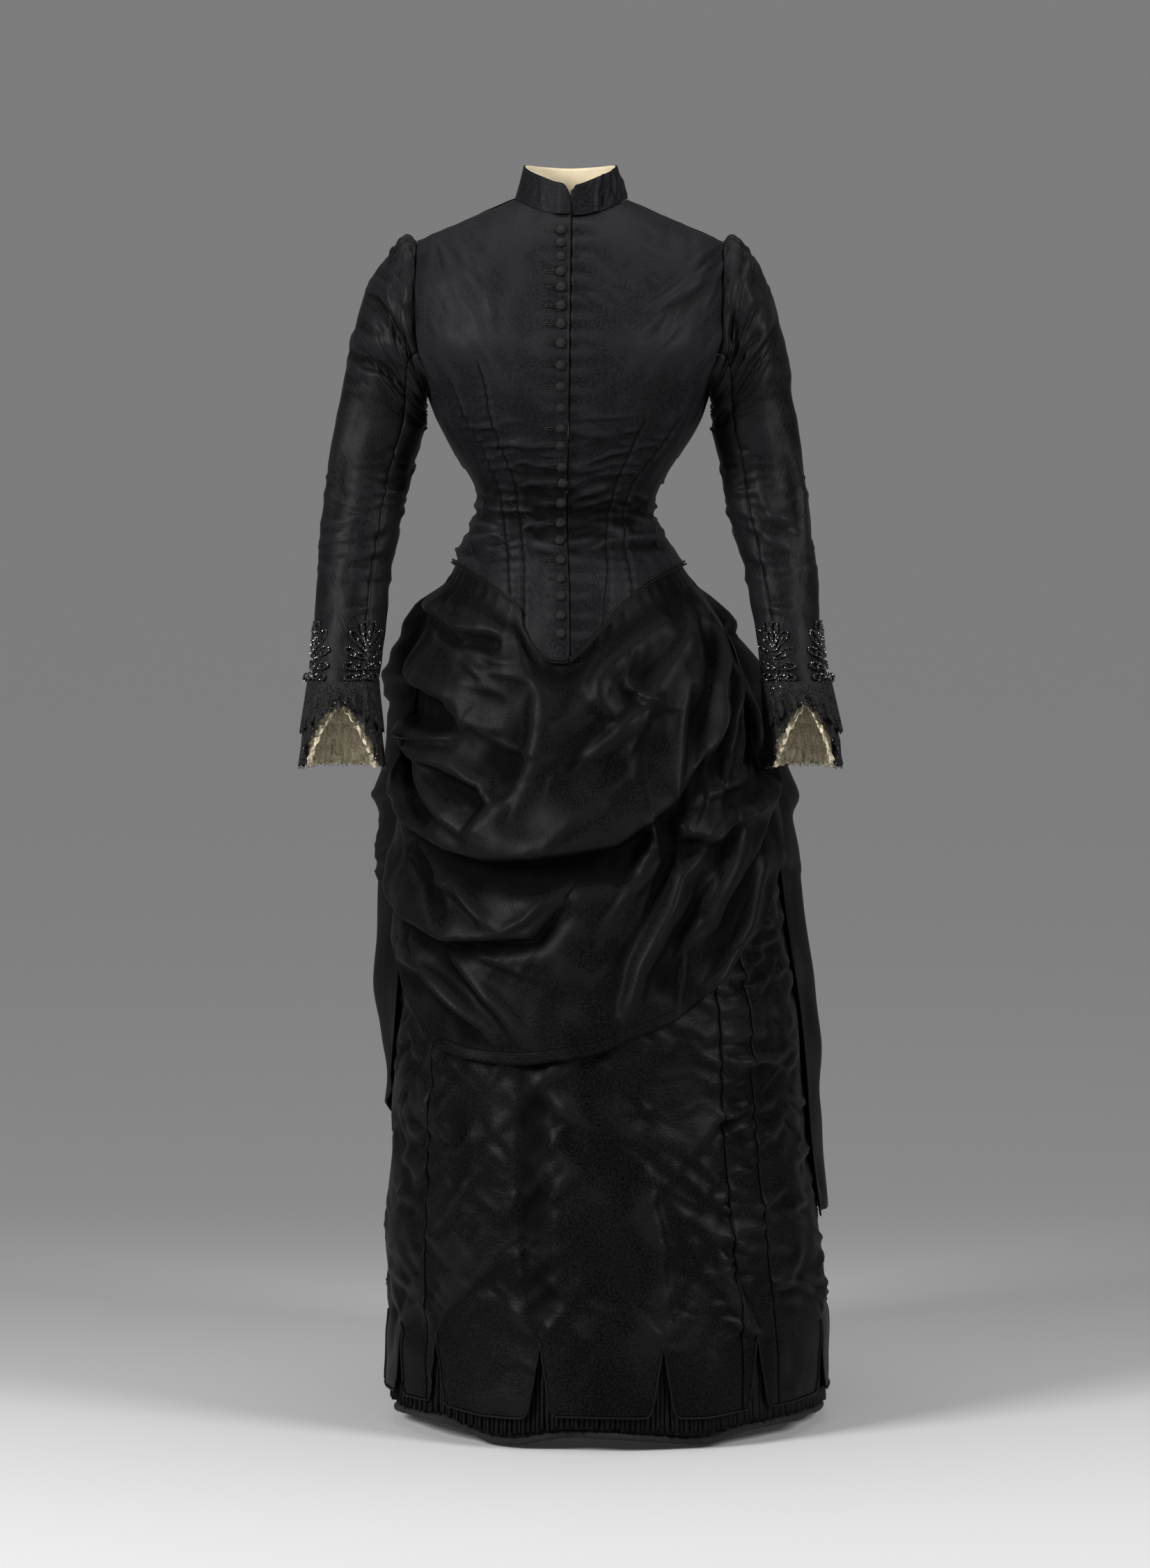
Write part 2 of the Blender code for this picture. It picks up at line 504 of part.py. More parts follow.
def thin_out(outer, faces, keep):
    """Collapse a fine sheet to fewer triangles that keep its folds."""
    mesh = bpy.data.meshes.new("fine")
    mesh.from_pydata([tuple(v) for v in outer], [], [tuple(int(i) for i in f) for f in faces])
    fine = bpy.data.objects.new("fine", mesh)
    bpy.context.scene.collection.objects.link(fine)
    collapse = fine.modifiers.new("Collapse", "DECIMATE")
    collapse.ratio = keep / (2.0 * len(faces))
    collapse.use_collapse_triangulate = True
    graph = bpy.context.evaluated_depsgraph_get()
    result = bpy.data.meshes.new_from_object(fine.evaluated_get(graph))
    points = np.array([tuple(v.co) for v in result.vertices])
    kept = [tuple(p.vertices) for p in result.polygons]
    bpy.data.objects.remove(fine, do_unlink=True)
    bpy.data.meshes.remove(mesh)
    bpy.data.meshes.remove(result)
    return points, kept


def level_directions(points):
    """Level directions out of the skirt's plain form at free points."""
    height = points[:, 2]
    across = points[:, 0] - SKIRT.read("centre", height)
    depth = np.where(points[:, 1] < 0.0, SKIRT.read("front", height), SKIRT.read("back", height))
    width = SKIRT.read("half_width", height)
    away = np.stack([across / width ** 2, points[:, 1] / depth ** 2, 0.0 * height], axis=-1)
    return unit(away)


def wall_at(height, thick):
    return np.where(height > 0.90, WALL, WALL + (thick - WALL) * soft_step(0.90 - height, 0.0, 0.03))


# Materials

def cloth_material(name, colour, roughness):
    material = bpy.data.materials.new(name)
    material.use_nodes = True
    shader = material.node_tree.nodes["Principled BSDF"]
    shader.inputs["Base Color"].default_value = (*colour, 1.0)
    shader.inputs["Roughness"].default_value = roughness
    return material


def make_materials():
    return {
        "satin": cloth_material("black_silk_satin", (0.014, 0.014, 0.016), 0.42),
        "twill": cloth_material("black_silk_twill", (0.013, 0.013, 0.014), 0.60),
        "lining": cloth_material("cream_lining", (0.62, 0.53, 0.38), 0.80),
        "crepe": cloth_material("black_crepe", (0.010, 0.010, 0.011), 0.85),
        "lace": cloth_material("cream_lace", (0.66, 0.60, 0.48), 0.85),
        "jet": cloth_material("jet_beads", (0.008, 0.008, 0.009), 0.15),
        "button": cloth_material("covered_button", (0.016, 0.016, 0.018), 0.70),
        "cotton": cloth_material("black_cotton", (0.018, 0.017, 0.017), 0.85),
        "braid": cloth_material("wool_braid", (0.022, 0.021, 0.020), 0.95),
    }


# Pieces

def panel_grid(start, end, columns, rows):
    """Spread columns between two edge angles given for each row."""
    part = np.linspace(0.0, 1.0, columns)
    return start[:, None] + (end - start)[:, None] * part[None, :] + 0.0 * rows[:, None]


def bodice_rows(bottom, top, levels):
    """Heights of every row: fixed through the waist and bust, spread below and above."""
    low = [bottom + (WAIST_ROWS[0] - bottom) * share for share in (0.0, 0.5)]
    fixed = [level + 0.0 * bottom for level in WAIST_ROWS]
    part = (levels - levels[0]) / (levels[-1] - levels[0])
    high = [UNDERARM_HEIGHT + (top - UNDERARM_HEIGHT) * share for share in part]
    return np.array(low + fixed + high)


def neck_corner(side, back):
    """Angle at which the neckline meets the shoulder seam."""
    angle = np.linspace(8.0, 30.0, 2000)
    turned = side * (180.0 - angle if back else angle)
    across = bodice_surface(turned, 1.262 + 0.0 * angle)[..., 0]
    return float(np.interp(NECK_POINT[0], np.abs(across - 0.004), angle))


def bodice_panel(name, side, edges, shares, material):
    """One panel from its lower edge to the neckline and shoulder, between two edge curves."""
    inner_edge, outer_edge = edges
    levels = ARMHOLE.read("along", np.array(FRONT_TURNS))
    columns = len(shares)
    low, high = np.full(columns, 0.88), np.full(columns, levels[-1])
    back = inner_edge(np.array([1.2]))[0] > 90.0
    corner = neck_corner(side, back)
    for _ in range(6):
        along = bodice_rows(low, high, levels)
        start, end = inner_edge(along[:, 0]), outer_edge(along[:, -1])
        wanted = (180.0 - corner if back else corner) - start[-1]
        share = np.array([wanted / (end[-1] - start[-1]) if s is None else s for s in shares])
        angle = start[:, None] + (end - start)[:, None] * share[None, :]
        low = BODICE_EDGE.read("height", side * angle[0])
        high = neckline_along(side * angle[-1])
        high[-1] = levels[-1]
    outer = bodice_surface(side * angle, along)
    inner = outer - bodice_normal(side * angle, along) * WALL
    return grid_shell(name, outer, inner, material)


def front_angle(across, height):
    """Angle of a place across the front or back, given straight across in metres."""
    height = np.minimum(height, 1.27)
    share = (across - BODICE.read("centre", height)) / BODICE.read("half_width", height)
    return np.degrees(np.arcsin(np.sign(share) * np.abs(share) ** (BODICE.read("power", height) / 2.0)))


def seam_gap(angle, half=SEAM / 2.0, radius=0.12):
    return np.degrees(half / radius)


def build_bodice(paint):
    gap = seam_gap(0.0)
    turn_levels = ARMHOLE.read("along", np.array(FRONT_TURNS))
    turn_angles = ARMHOLE.read("angle", np.array(FRONT_TURNS))

    def armhole_angle(along):
        return np.interp(along, turn_levels, turn_angles)

    def front_outer(along):
        return np.where(along < UNDERARM_HEIGHT + 1e-6, FRONT_SEAM.read("angle", along),
                        armhole_angle(along)) - gap

    def back_outer(along):
        arm = 180.0 - armhole_angle(along)
        low = BACK_SEAM.read("angle", along)
        return np.where(along < UNDERARM_HEIGHT + 1e-6, low, np.where(along > 1.09, arm, low)) + gap

    for side, word in ((-1.0, "right"), (1.0, "left")):
        def front_inner(along, side=side):
            return side * front_angle(OPENING.read("across", along) + side * SEAM / 2.0, along)

        def back_inner(along, side=side):
            return 180.0 - side * front_angle(BODICE.read("centre", along) + side * SEAM / 2.0, along)

        bodice_panel("bodice_front_" + word, side, (front_inner, front_outer), FRONT_SHARES,
                     paint["twill"])
        bodice_panel("bodice_back_" + word, side, (back_inner, back_outer), BACK_SHARES,
                     paint["twill"])
        bodice_side("bodice_side_" + word, side, gap, paint["twill"])


def bodice_side(name, side, gap, material):
    columns = 5
    share = np.linspace(0.0, 1.0, columns)
    turns = np.array([160.0, 171.0, 180.0, 189.0, 200.0])
    folded = np.where(turns <= 180.0, turns, 360.0 - turns)
    top_angle = ARMHOLE.read("angle", folded)
    top_angle = np.where(turns <= 180.0, top_angle, 180.0 - top_angle)
    top = ARMHOLE.read("along", folded)
    top_angle[0] += gap
    top_angle[-1] = BACK_SEAM.read("angle", UNDERARM_HEIGHT) - gap
    bottom = np.full(columns, 0.90)
    for _ in range(4):
        low = [bottom + (WAIST_ROWS[0] - bottom) * part for part in (0.0, 0.5)]
        along = np.array(low + [level + 0.0 * share for level in WAIST_ROWS] + [top])
        start = FRONT_SEAM.read("angle", along[:, 0]) + gap
        end = BACK_SEAM.read("angle", along[:, -1]) - gap
        angle = start[:, None] + (end - start)[:, None] * share[None, :]
        angle[-1] = top_angle
        bottom = BODICE_EDGE.read("height", side * angle[0])
    angle = side * angle
    outer = bodice_surface(angle, along)
    grid_shell(name, outer, outer - bodice_normal(angle, along) * WALL, material)


def neckline_point(turn):
    """Points of the bodice's neckline by the turn round the neck."""
    across = 0.004 + (NECK_POINT[0] - 0.0004) * np.sin(turn)
    power = BODICE.read("power", 1.262)
    share = (across - BODICE.read("centre", 1.262)) / BODICE.read("half_width", 1.262)
    angle = np.degrees(np.arcsin(np.sign(share) * np.abs(share) ** (power / 2.0)))
    angle = np.where(np.cos(turn) < 0.0, 180.0 - angle, angle)
    return bodice_surface(angle, neckline_along(angle))


def build_collar(paint):
    """The band stands on the neckline and leans in; the lining shows at the front gap."""
    rows = np.array([0.0, 1.0])
    for name, start, end, sink, columns in (
            ("collar", 4.0, 357.0, 0.0, 24), ("collar_lining", 1.5, 358.5, 0.0024, 20)):
        angle = np.linspace(start, end, columns)
        turn = np.radians(angle)
        base = neckline_point(turn)
        low = base[:, 2] + 0.0015
        high = COLLAR_TOP.read("height", np.minimum(angle, 360.0 - angle))
        corner = soft_step(np.minimum(angle - start, end - angle), 0.0, 9.0)
        high = high - 0.008 * (1.0 - corner) - (0.0006 if sink else 0.0)
        outer = []
        for row in rows:
            depth = np.where(np.cos(turn) > 0.0, 0.0570, 0.0600)
            top = np.stack([0.0035 + 0.0490 * np.sin(turn), -depth * np.cos(turn), high], axis=-1)
            low_point = np.stack([base[:, 0], base[:, 1], low], axis=-1)
            sunk = np.stack([np.sin(turn), -np.cos(turn), 0.0 * turn], axis=-1) * sink
            outer.append(low_point + (top - low_point) * row - sunk)
        outer = np.array(outer)
        away = np.stack([np.sin(turn), -np.cos(turn), 0.0 * turn], axis=-1)
        inner = outer - away[None] * WALL
        grid_shell(name, outer, inner, paint["lining" if sink else "twill"])


def build_sleeves(paint):
    gap = np.degrees(SEAM / 2.0 / 0.045)
    for side, word in ((-1.0, "right"), (1.0, "left")):
        low = UPPER_SLEEVE_ENDS[0] % 360.0
        for name, turns in (
                ("sleeve_upper_", [-120 + gap, -95, -70, -45, -20, 0, 20, 45, 70, 95, 120 - gap]),
                ("sleeve_under_", [120 + gap, 140, 160, 180, 200, 220, low - gap])):
            turns = np.array(turns, dtype=float)
            stages = np.array([0.0, 0.22, 0.45, 0.72, 1.0]
                              + [1.0 + (1.065 - level) / 0.291 for level in SLEEVE_LEVELS])
            outer, inward = sleeve_surface(side, turns[None, :], stages[:, None])
            grid_shell(name + word, outer, outer + inward * WALL, paint["satin"])


def cuff_ring(side, turn, share, flare):
    """Points round the cuff: share is 0 where it is sewn on and 1 at its lower edge."""
    end, inward = sleeve_ring(side, turn, 0.774 + 0.0 * turn)
    moved = end - inward * (np.asarray(flare) + 0.0 * turn)[:, None]
    moved[:, 0] += (CUFF_SHIFT_LEFT if side > 0 else CUFF_SHIFT_RIGHT) * share
    moved[:, 1] -= 0.008 * share
    return moved, inward


def build_cuffs(paint):
    """Frill, inner lace and bead panels at each wrist."""
    for side, word in ((-1.0, "right"), (1.0, "left")):
        count = 26
        turn = np.arange(count) * 360.0 / count
        wave = np.where(np.arange(count) % 2 == 0, 1.0, -1.0)
        notch = np.exp(-((np.mod(turn - 40.0 + 180.0, 360.0) - 180.0) / 26.0) ** 2)
        spread = CUFF_FLARE_LEFT if side > 0 else CUFF_FLARE_RIGHT
        rows = []
        for share, depth in ((0.0, 0.0), (0.5, 0.0016), (1.0, 0.0026)):
            moved, inward = cuff_ring(side, turn, share, spread * share + depth * wave)
            moved[:, 2] = 0.774 - 0.0004 - (0.082 - 0.040 * notch) * share
            rows.append(moved)
        outer = np.array(rows)
        grid_shell("cuff_frill_" + word, outer, outer + inward[None] * WALL, paint["crepe"], wrap=True)
        rows = []
        for share, flare in ((0.17, -0.0026), (0.80, -0.0058)):
            moved, inward = cuff_ring(side, turn, share, flare + spread * share)
            moved[:, 2] = 0.774 - 0.082 * share
            rows.append(moved)
        outer = np.array(rows)
        grid_shell("cuff_lace_" + word, outer, outer + inward[None] * 0.0012, paint["lace"], wrap=True)
        for label, start, finish in (("front", 24.0, 92.0), ("back", -58.0, 10.0)):
            turns = np.linspace(start, finish, 7)
            shares = np.linspace(0.0, 1.0, 4)
            lobes = 0.004 * np.abs(np.sin(np.radians((turns - start) * 180.0 / 34.0)))
            top = 0.826 + lobes
            bottom = 0.780 - 0.4 * lobes
            level = top[None, :] + (bottom - top)[None, :] * shares[:, None]
            base, into = sleeve_ring(side, turns[None, :] + 0.0 * level, level)
            inner = base - into * 0.0009
            outer = inner - into * 0.0020
            grid_shell("cuff_beads_" + label + "_" + word, outer, inner, paint["jet"])


def build_apron(paint):
    columns, rows = 120, 96
    angle = np.linspace(-88.8, 88.8, columns)
    hem = APRON_HEM.read("height", angle)
    share = np.linspace(0.0, 1.0, rows)
    height = hem[None, :] + (0.953 - hem)[None, :] * share[:, None]
    angle = angle[None, :] + 0.0 * height
    fine, _ = skirt_surface(angle, height, apron_out(angle, height))
    points, faces = thin_out(fine.reshape(-1, 3), grid_faces(rows, columns), 1480)
    inner = points - level_directions(points) * wall_at(points[:, 2], GATHERED_WALL)[:, None]
    shell("apron_drape", points, inner, faces, paint["satin"])


def build_back_drape(paint):
    columns, rows = 120, 80
    part = np.linspace(-1.0, 1.0, columns)
    share = np.linspace(0.0, 1.0, rows)
    hem = DRAPE_HEM.read("height", 180.0 + 95.0 * part)
    height = hem[None, :] + (0.953 - hem)[None, :] * share[:, None]
    angle = 180.0 + (95.0 - 4.4 * soft_step(height, 0.80, 0.86)) * part[None, :]
    fine, _ = skirt_surface(angle, height, drape_out(angle, height))
    points, faces = thin_out(fine.reshape(-1, 3), grid_faces(rows, columns), 920)
    inner = points - level_directions(points) * wall_at(points[:, 2], 0.0020)[:, None]
    shell("back_drape", points, inner, faces, paint["satin"])


def zip_rows(top, top_places, bottom, bottom_places):
    """Triangles between two rows of points that don't have the same spacing."""
    made, i, j = [], 0, 0
    while i < len(top) - 1 or j < len(bottom) - 1:
        move_top = j == len(bottom) - 1
        if i < len(top) - 1 and j < len(bottom) - 1:
            move_top = top_places[i] + top_places[i + 1] < bottom_places[j] + bottom_places[j + 1]
        if move_top:
            made.append((top[i], bottom[j], top[i + 1]))
            i += 1
        else:
            made.append((top[i], bottom[j], bottom[j + 1]))
            j += 1
    return made


def skirt_panel(name, start, end, material):
    """A gore from the waist to its tabs; slits open downwards inside it or at its edges."""
    slits = sorted(s + 360.0 * turn for s in SLITS for turn in (-1, 0, 1)
                   if start < s + 360.0 * turn < end)
    marks = [start] + slits + [end]
    vertices_angle, vertices_height, faces, names = [], [], [], {}

    def vertex(key, angle, height):
        if key not in names:
            names[key] = len(vertices_angle)
            vertices_angle.append(float(angle))
            vertices_height.append(float(height))
        return names[key]

    gap = float(np.degrees(SEAM / 2.0 / 0.22))
    upper = [0.953, 0.93, 0.90, 0.86, 0.79, 0.60, 0.36, SLIT_TOP]
    for number in range(len(marks) - 1):
        left, right = marks[number], marks[number + 1]
        scale = float(arc_per_degree(np.array((left + right) / 2.0), np.array(0.05)))
        left_slit, right_slit = number > 0, number < len(marks) - 2
        first = left + (0.0 if left_slit else gap)
        last = right - (0.0 if right_slit else gap)
        width = (last - first) * scale
        inside = max(1, int(round(width / 0.045)))
        coarse = list(np.linspace(0.0, width, inside + 1))
        corners = (0.0, 0.3 * TAB_CORNER, TAB_CORNER)
        fine = list(corners) if left_slit else [0.0]
        ending = [width - place for place in reversed(corners)] if right_slit else [width]
        fine += [place for place in coarse if fine[-1] + 0.004 < place < ending[0] - 0.004] + ending
        upper_keys = []
        for place in coarse:
            top_angle = first + place / scale
            upper_keys.append([vertex(("%.4f" % top_angle, level), top_angle, level) for level in upper])
        for c in range(len(coarse) - 1):
            for r in range(len(upper) - 1):
                faces.append((upper_keys[c][r], upper_keys[c][r + 1],
                              upper_keys[c + 1][r + 1], upper_keys[c + 1][r]))
        lower_keys = []
        for place in fine:
            shift, raised = 0.0, 0.0
            for slit, distance, sign in ((left_slit, place, 1.0), (right_slit, width - place, -1.0)):
                if slit:
                    shift += sign * SLIT_HALF_WIDTH * (1.0 - distance / width)
                    across = min(TAB_CORNER, max(0.0, TAB_CORNER - distance))
                    raised += TAB_CORNER - math.sqrt(TAB_CORNER ** 2 - across ** 2)
            place_angle = first + (place + shift) / scale
            level = TAB_HEM + 0.4 * float(hem_lift(place_angle)) + raised
            lower_keys.append(vertex((number, "%.4f" % place), place_angle, level))
        top_row = [column[-1] for column in upper_keys]
        faces += zip_rows(top_row, coarse, lower_keys, fine)
    angle, height = np.array(vertices_angle), np.array(vertices_height)
    out = -0.0020 * soft_step(height, 0.80, 0.90)
    outer, away = skirt_surface(angle, height, out)
    shell(name, outer, outer - away * WALL, faces, material)


def build_flounce(paint):
    """Knife pleats under the tabs, in four lengths."""
    starts = np.linspace(0.0, 360.0, 5)
    each = PLEAT_COUNT // 4
    for number, word in enumerate(("left_front", "left_back", "right_back", "right_front")):
        first, last = starts[number] + 0.05, starts[number + 1] - 0.05
        dense = np.linspace(first, last, 400)
        lengths = np.concatenate([[0.0], np.cumsum(arc_per_degree(dense[:-1], 0.06 + 0.0 * dense[:-1])
                                                   * np.diff(dense))])
        pitch = lengths[-1] / each
        places, lifts = [], []
        for pleat in range(each):
            places += [pleat * pitch, pleat * pitch + 0.80 * pitch]
            lifts += [0.0, 0.0030]
        places.append(lengths[-1])
        lifts.append(0.0)
        angle = np.interp(places, lengths, dense)
        lifts = np.array(lifts)
        rows = []
        for level, out in ((0.122 + 0.0 * angle, -0.0068), (0.0125 + 0.9 * hem_lift(angle), -0.0080)):
            points, away = skirt_surface(angle, level, out + lifts)
            rows.append((points, away))
        outer = np.array([row[0] for row in rows])
        away = np.array([row[1] for row in rows])
        grid_shell("flounce_" + word, outer, outer - away * 0.0012, paint["satin"])


def hem_wave(angle):
    turn = np.radians(angle)
    return 0.0022 * np.sin(13.0 * turn + 0.6) + 0.0010 * np.sin(23.0 * turn + 1.9)


def build_foundation(paint):
    for word, first, last in (("left", 0.0, 180.0), ("right", 180.0, 360.0)):
        angle = np.clip(np.arange(37) * 5.0 + first, first + 0.05, last - 0.05)
        rows = []
        for level, rise, out, sway in ((0.128, 0.0, -0.0088, 0.0), (0.022, 0.6, -0.0125, 0.0),
                                       (0.0070, 1.0, -0.0122, 1.0)):
            points, away = skirt_surface(angle, level + rise * hem_lift(angle),
                                         out + sway * hem_wave(angle))
            rows.append((points, away))
        outer = np.array([row[0] for row in rows])
        away = np.array([row[1] for row in rows])
        grid_shell("foundation_band_" + word, outer, outer - away * WALL, paint["cotton"])
    angle = np.arange(72) * 5.0
    path, _ = skirt_surface(angle, 0.0031 + hem_lift(angle), -0.0125 + hem_wave(angle))
    tube("hem_braid", path, 0.0044, 4, paint["braid"], flat=1.0, wrap=True)


def build_piping(paint):
    for word, low, high in (("right", -179.5, -2.9), ("left", -1.9, 179.5)):
        span = np.concatenate([np.linspace(low, high, 30), [-20.5, -18.6, -15.7, -7.4]]) if low < -100 \
            else np.linspace(low, high, 30)
        angle = np.unique(np.clip(span, low, high))
        along = BODICE_EDGE.read("height", angle) + 0.0018
        path = bodice_surface(angle, along) + bodice_normal(angle, along) * 0.0023
        tube("bodice_piping_" + word, path, 0.0021, 4, paint["satin"])


def seat_on(tree, centre, normal, side, up, radius):
    """Lift needed along the normal so that a round base clears the cloth by the seam gap."""
    lifts = []
    for number in range(9):
        turn = math.radians(45.0 * number)
        spread = 0.0 if number == 8 else radius
        start = centre + (side * math.cos(turn) + up * math.sin(turn)) * spread + normal * 0.02
        hit = tree.ray_cast(Vector(lift(start)), Vector(-normal), 0.05)
        if hit[3] is not None:
            lifts.append(0.02 - hit[3])
    return max(lifts) + SEAM


def build_buttons(paint):
    heights = BUTTON_PLACES.columns["height"]
    angles = BUTTON_PLACES.columns["angle"]
    front = bpy.data.objects["bodice_front_right"].data
    tree = BVHTree.FromPolygons([v.co for v in front.vertices], [p.vertices for p in front.polygons])
    profile = ((0.0000, 0.0036), (0.0016, 0.0054), (0.0039, 0.0038))
    for number, (height, angle) in enumerate(zip(heights[::-1], angles[::-1]), start=1):
        across = bodice_surface(np.array(angle), np.array(height))[0]
        along = along_of_height(across, height)
        centre = bodice_surface(np.array(angle), along)
        normal = bodice_normal(np.array(angle), along)
        side = unit(np.cross(normal, np.array([0.0, 0.0, 1.0])))
        up = np.cross(side, normal)
        vertices, faces, sides = [], [], 7
        seat = seat_on(tree, centre, normal, side, up, profile[0][1])
        for rise, radius in profile:
            for s in range(sides):
                turn = math.radians(s * 360.0 / sides)
                vertices.append(centre + normal * (rise + seat)
                                + side * radius * math.cos(turn) + up * radius * math.sin(turn))
        for ring in range(len(profile) - 1):
            for s in range(sides):
                t = (s + 1) % sides
                faces.append((ring * sides + s, ring * sides + t,
                              (ring + 1) * sides + t, (ring + 1) * sides + s))
        faces.append(tuple(range(sides)))
        vertices.append(centre + normal * (0.0050 + seat))
        top = len(vertices) - 1
        last = (len(profile) - 1) * sides
        faces += [(last + s, last + (s + 1) % sides, top) for s in range(sides)]
        add_object("button_%02d" % number, np.array(vertices), faces, paint["button"])


def main():
    for old in list(bpy.data.objects):
        bpy.data.objects.remove(old, do_unlink=True)
    paint = make_materials()
    build_bodice(paint)
    build_collar(paint)
    build_sleeves(paint)
    build_cuffs(paint)
    build_apron(paint)
    build_back_drape(paint)
    for name, start, end in SKIRT_SEAMS:
        skirt_panel(name, start, end, paint["satin"])
    build_flounce(paint)
    build_foundation(paint)
    build_piping(paint)
    build_buttons(paint)


main()
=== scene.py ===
"""Looks of the black silk bustle dress: its cloths, trimming, buttons and the studio round it.

Heights are measured up from the hem. Angles run round the body in degrees: 0 is the centre
front, positive towards +X, which is the wearer's left, and 180 is the centre back.
"""
from __future__ import annotations

import logging
import math
from dataclasses import dataclass, field
from enum import Enum
from typing import Callable, Iterable, Sequence

import bpy
import numpy as np
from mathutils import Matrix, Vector


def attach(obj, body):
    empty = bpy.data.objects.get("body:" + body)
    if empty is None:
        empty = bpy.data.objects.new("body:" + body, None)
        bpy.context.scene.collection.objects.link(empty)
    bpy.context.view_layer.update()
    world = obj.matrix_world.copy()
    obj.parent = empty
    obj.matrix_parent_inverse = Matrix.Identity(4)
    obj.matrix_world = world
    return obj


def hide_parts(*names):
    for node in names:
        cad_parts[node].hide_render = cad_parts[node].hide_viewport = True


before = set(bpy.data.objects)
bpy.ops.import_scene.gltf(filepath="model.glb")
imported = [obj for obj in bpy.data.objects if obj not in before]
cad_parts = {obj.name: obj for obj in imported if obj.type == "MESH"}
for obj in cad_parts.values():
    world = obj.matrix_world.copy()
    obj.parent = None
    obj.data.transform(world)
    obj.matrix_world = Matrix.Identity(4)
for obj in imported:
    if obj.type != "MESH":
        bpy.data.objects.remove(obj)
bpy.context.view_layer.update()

log = logging.getLogger("bustle_dress")

MOUNT_HEIGHT = 1.240
SKIRT_TOP = 0.953
SHOULDER_TOP = 1.2762
HEM_STITCH = 0.012
PLAIN_OUT = 0.0028
LEAST_FILL = 0.301


# Small maths


def unit(vectors: np.ndarray) -> np.ndarray:
    """Vectors scaled to a length of one."""
    return vectors / np.maximum(np.linalg.norm(vectors, axis=-1, keepdims=True), 1e-12)


def soft_step(at: np.ndarray, start: float, end: float) -> np.ndarray:
    """A smooth rise from 0 at start to 1 at end."""
    part = np.clip((np.asarray(at, dtype=float) - start) / (end - start), 0.0, 1.0)
    return part * part * (3.0 - 2.0 * part)


def rounded(cosine: np.ndarray, power: np.ndarray) -> np.ndarray:
    """Superellipse form of a sine or cosine."""
    return np.sign(cosine) * np.abs(cosine) ** (2.0 / power)


def hill(at: np.ndarray, centre: np.ndarray | float, reach: np.ndarray | float) -> np.ndarray:
    """A soft bump of height one round a centre."""
    return np.exp(-((at - centre) / reach) ** 2)


class Table:
    """A short table whose columns are read at any height or angle by a smooth curve."""

    def __init__(self, names: str, rows: Iterable[Sequence[float]]) -> None:
        columns = np.array(sorted(rows), dtype=float).T
        self.columns = dict(zip(names.split(), columns))
        self.key = names.split()[0]

    def read(self, name: str, at: np.ndarray | float) -> np.ndarray:
        """Value of a column.

        Args:
            name: the column.
            at: where to read it, in the first column's terms.

        Returns:
            The column's values there.
        """
        keys, values = self.columns[self.key], self.columns[name]
        at = np.clip(np.asarray(at, dtype=float), keys[0], keys[-1])
        steps = np.diff(keys)
        rises = np.diff(values) / steps
        slopes = np.concatenate(([rises[0]], (rises[1:] + rises[:-1]) / 2.0, [rises[-1]]))
        turning = np.concatenate(([False], rises[1:] * rises[:-1] <= 0.0, [False]))
        slopes[turning] = 0.0
        index = np.clip(np.searchsorted(keys, at, side="right") - 1, 0, len(steps) - 1)
        part = (at - keys[index]) / steps[index]
        blend = part * part * (3.0 - 2.0 * part)
        bend = slopes[index] * (part - 2.0 * part ** 2 + part ** 3)
        bend = bend + slopes[index + 1] * (part ** 3 - part ** 2)
        return values[index] * (1.0 - blend) + values[index + 1] * blend + bend * steps[index]

    def rows(self) -> list[dict[str, float]]:
        """The table's rows as dictionaries."""
        names = list(self.columns)
        return [dict(zip(names, map(float, row))) for row in zip(*self.columns.values())]


class Ripple:
    """Seeded smooth noise over a cloth, from about -1 to 1."""

    cells = 128

    def __init__(self, seed: int) -> None:
        turns = np.random.default_rng(seed).uniform(0.0, 2.0 * math.pi, (self.cells, self.cells))
        self.slopes = np.stack([np.cos(turns), np.sin(turns)], axis=-1)

    def read(self, across: np.ndarray, up: np.ndarray) -> np.ndarray:
        """Noise at places in cells of the lattice."""
        cell_x, cell_y = np.floor(across).astype(int), np.floor(up).astype(int)
        part_x, part_y = across - cell_x, up - cell_y
        smooth_x = part_x ** 3 * (part_x * (part_x * 6.0 - 15.0) + 10.0)
        smooth_y = part_y ** 3 * (part_y * (part_y * 6.0 - 15.0) + 10.0)
        total = 0.0
        for i, j in ((0, 0), (1, 0), (0, 1), (1, 1)):
            slope = self.slopes[(cell_x + i) % self.cells, (cell_y + j) % self.cells]
            lean = slope[..., 0] * (part_x - i) + slope[..., 1] * (part_y - j)
            weight = (smooth_x if i else 1.0 - smooth_x) * (smooth_y if j else 1.0 - smooth_y)
            total = total + lean * weight
        return total * 1.5


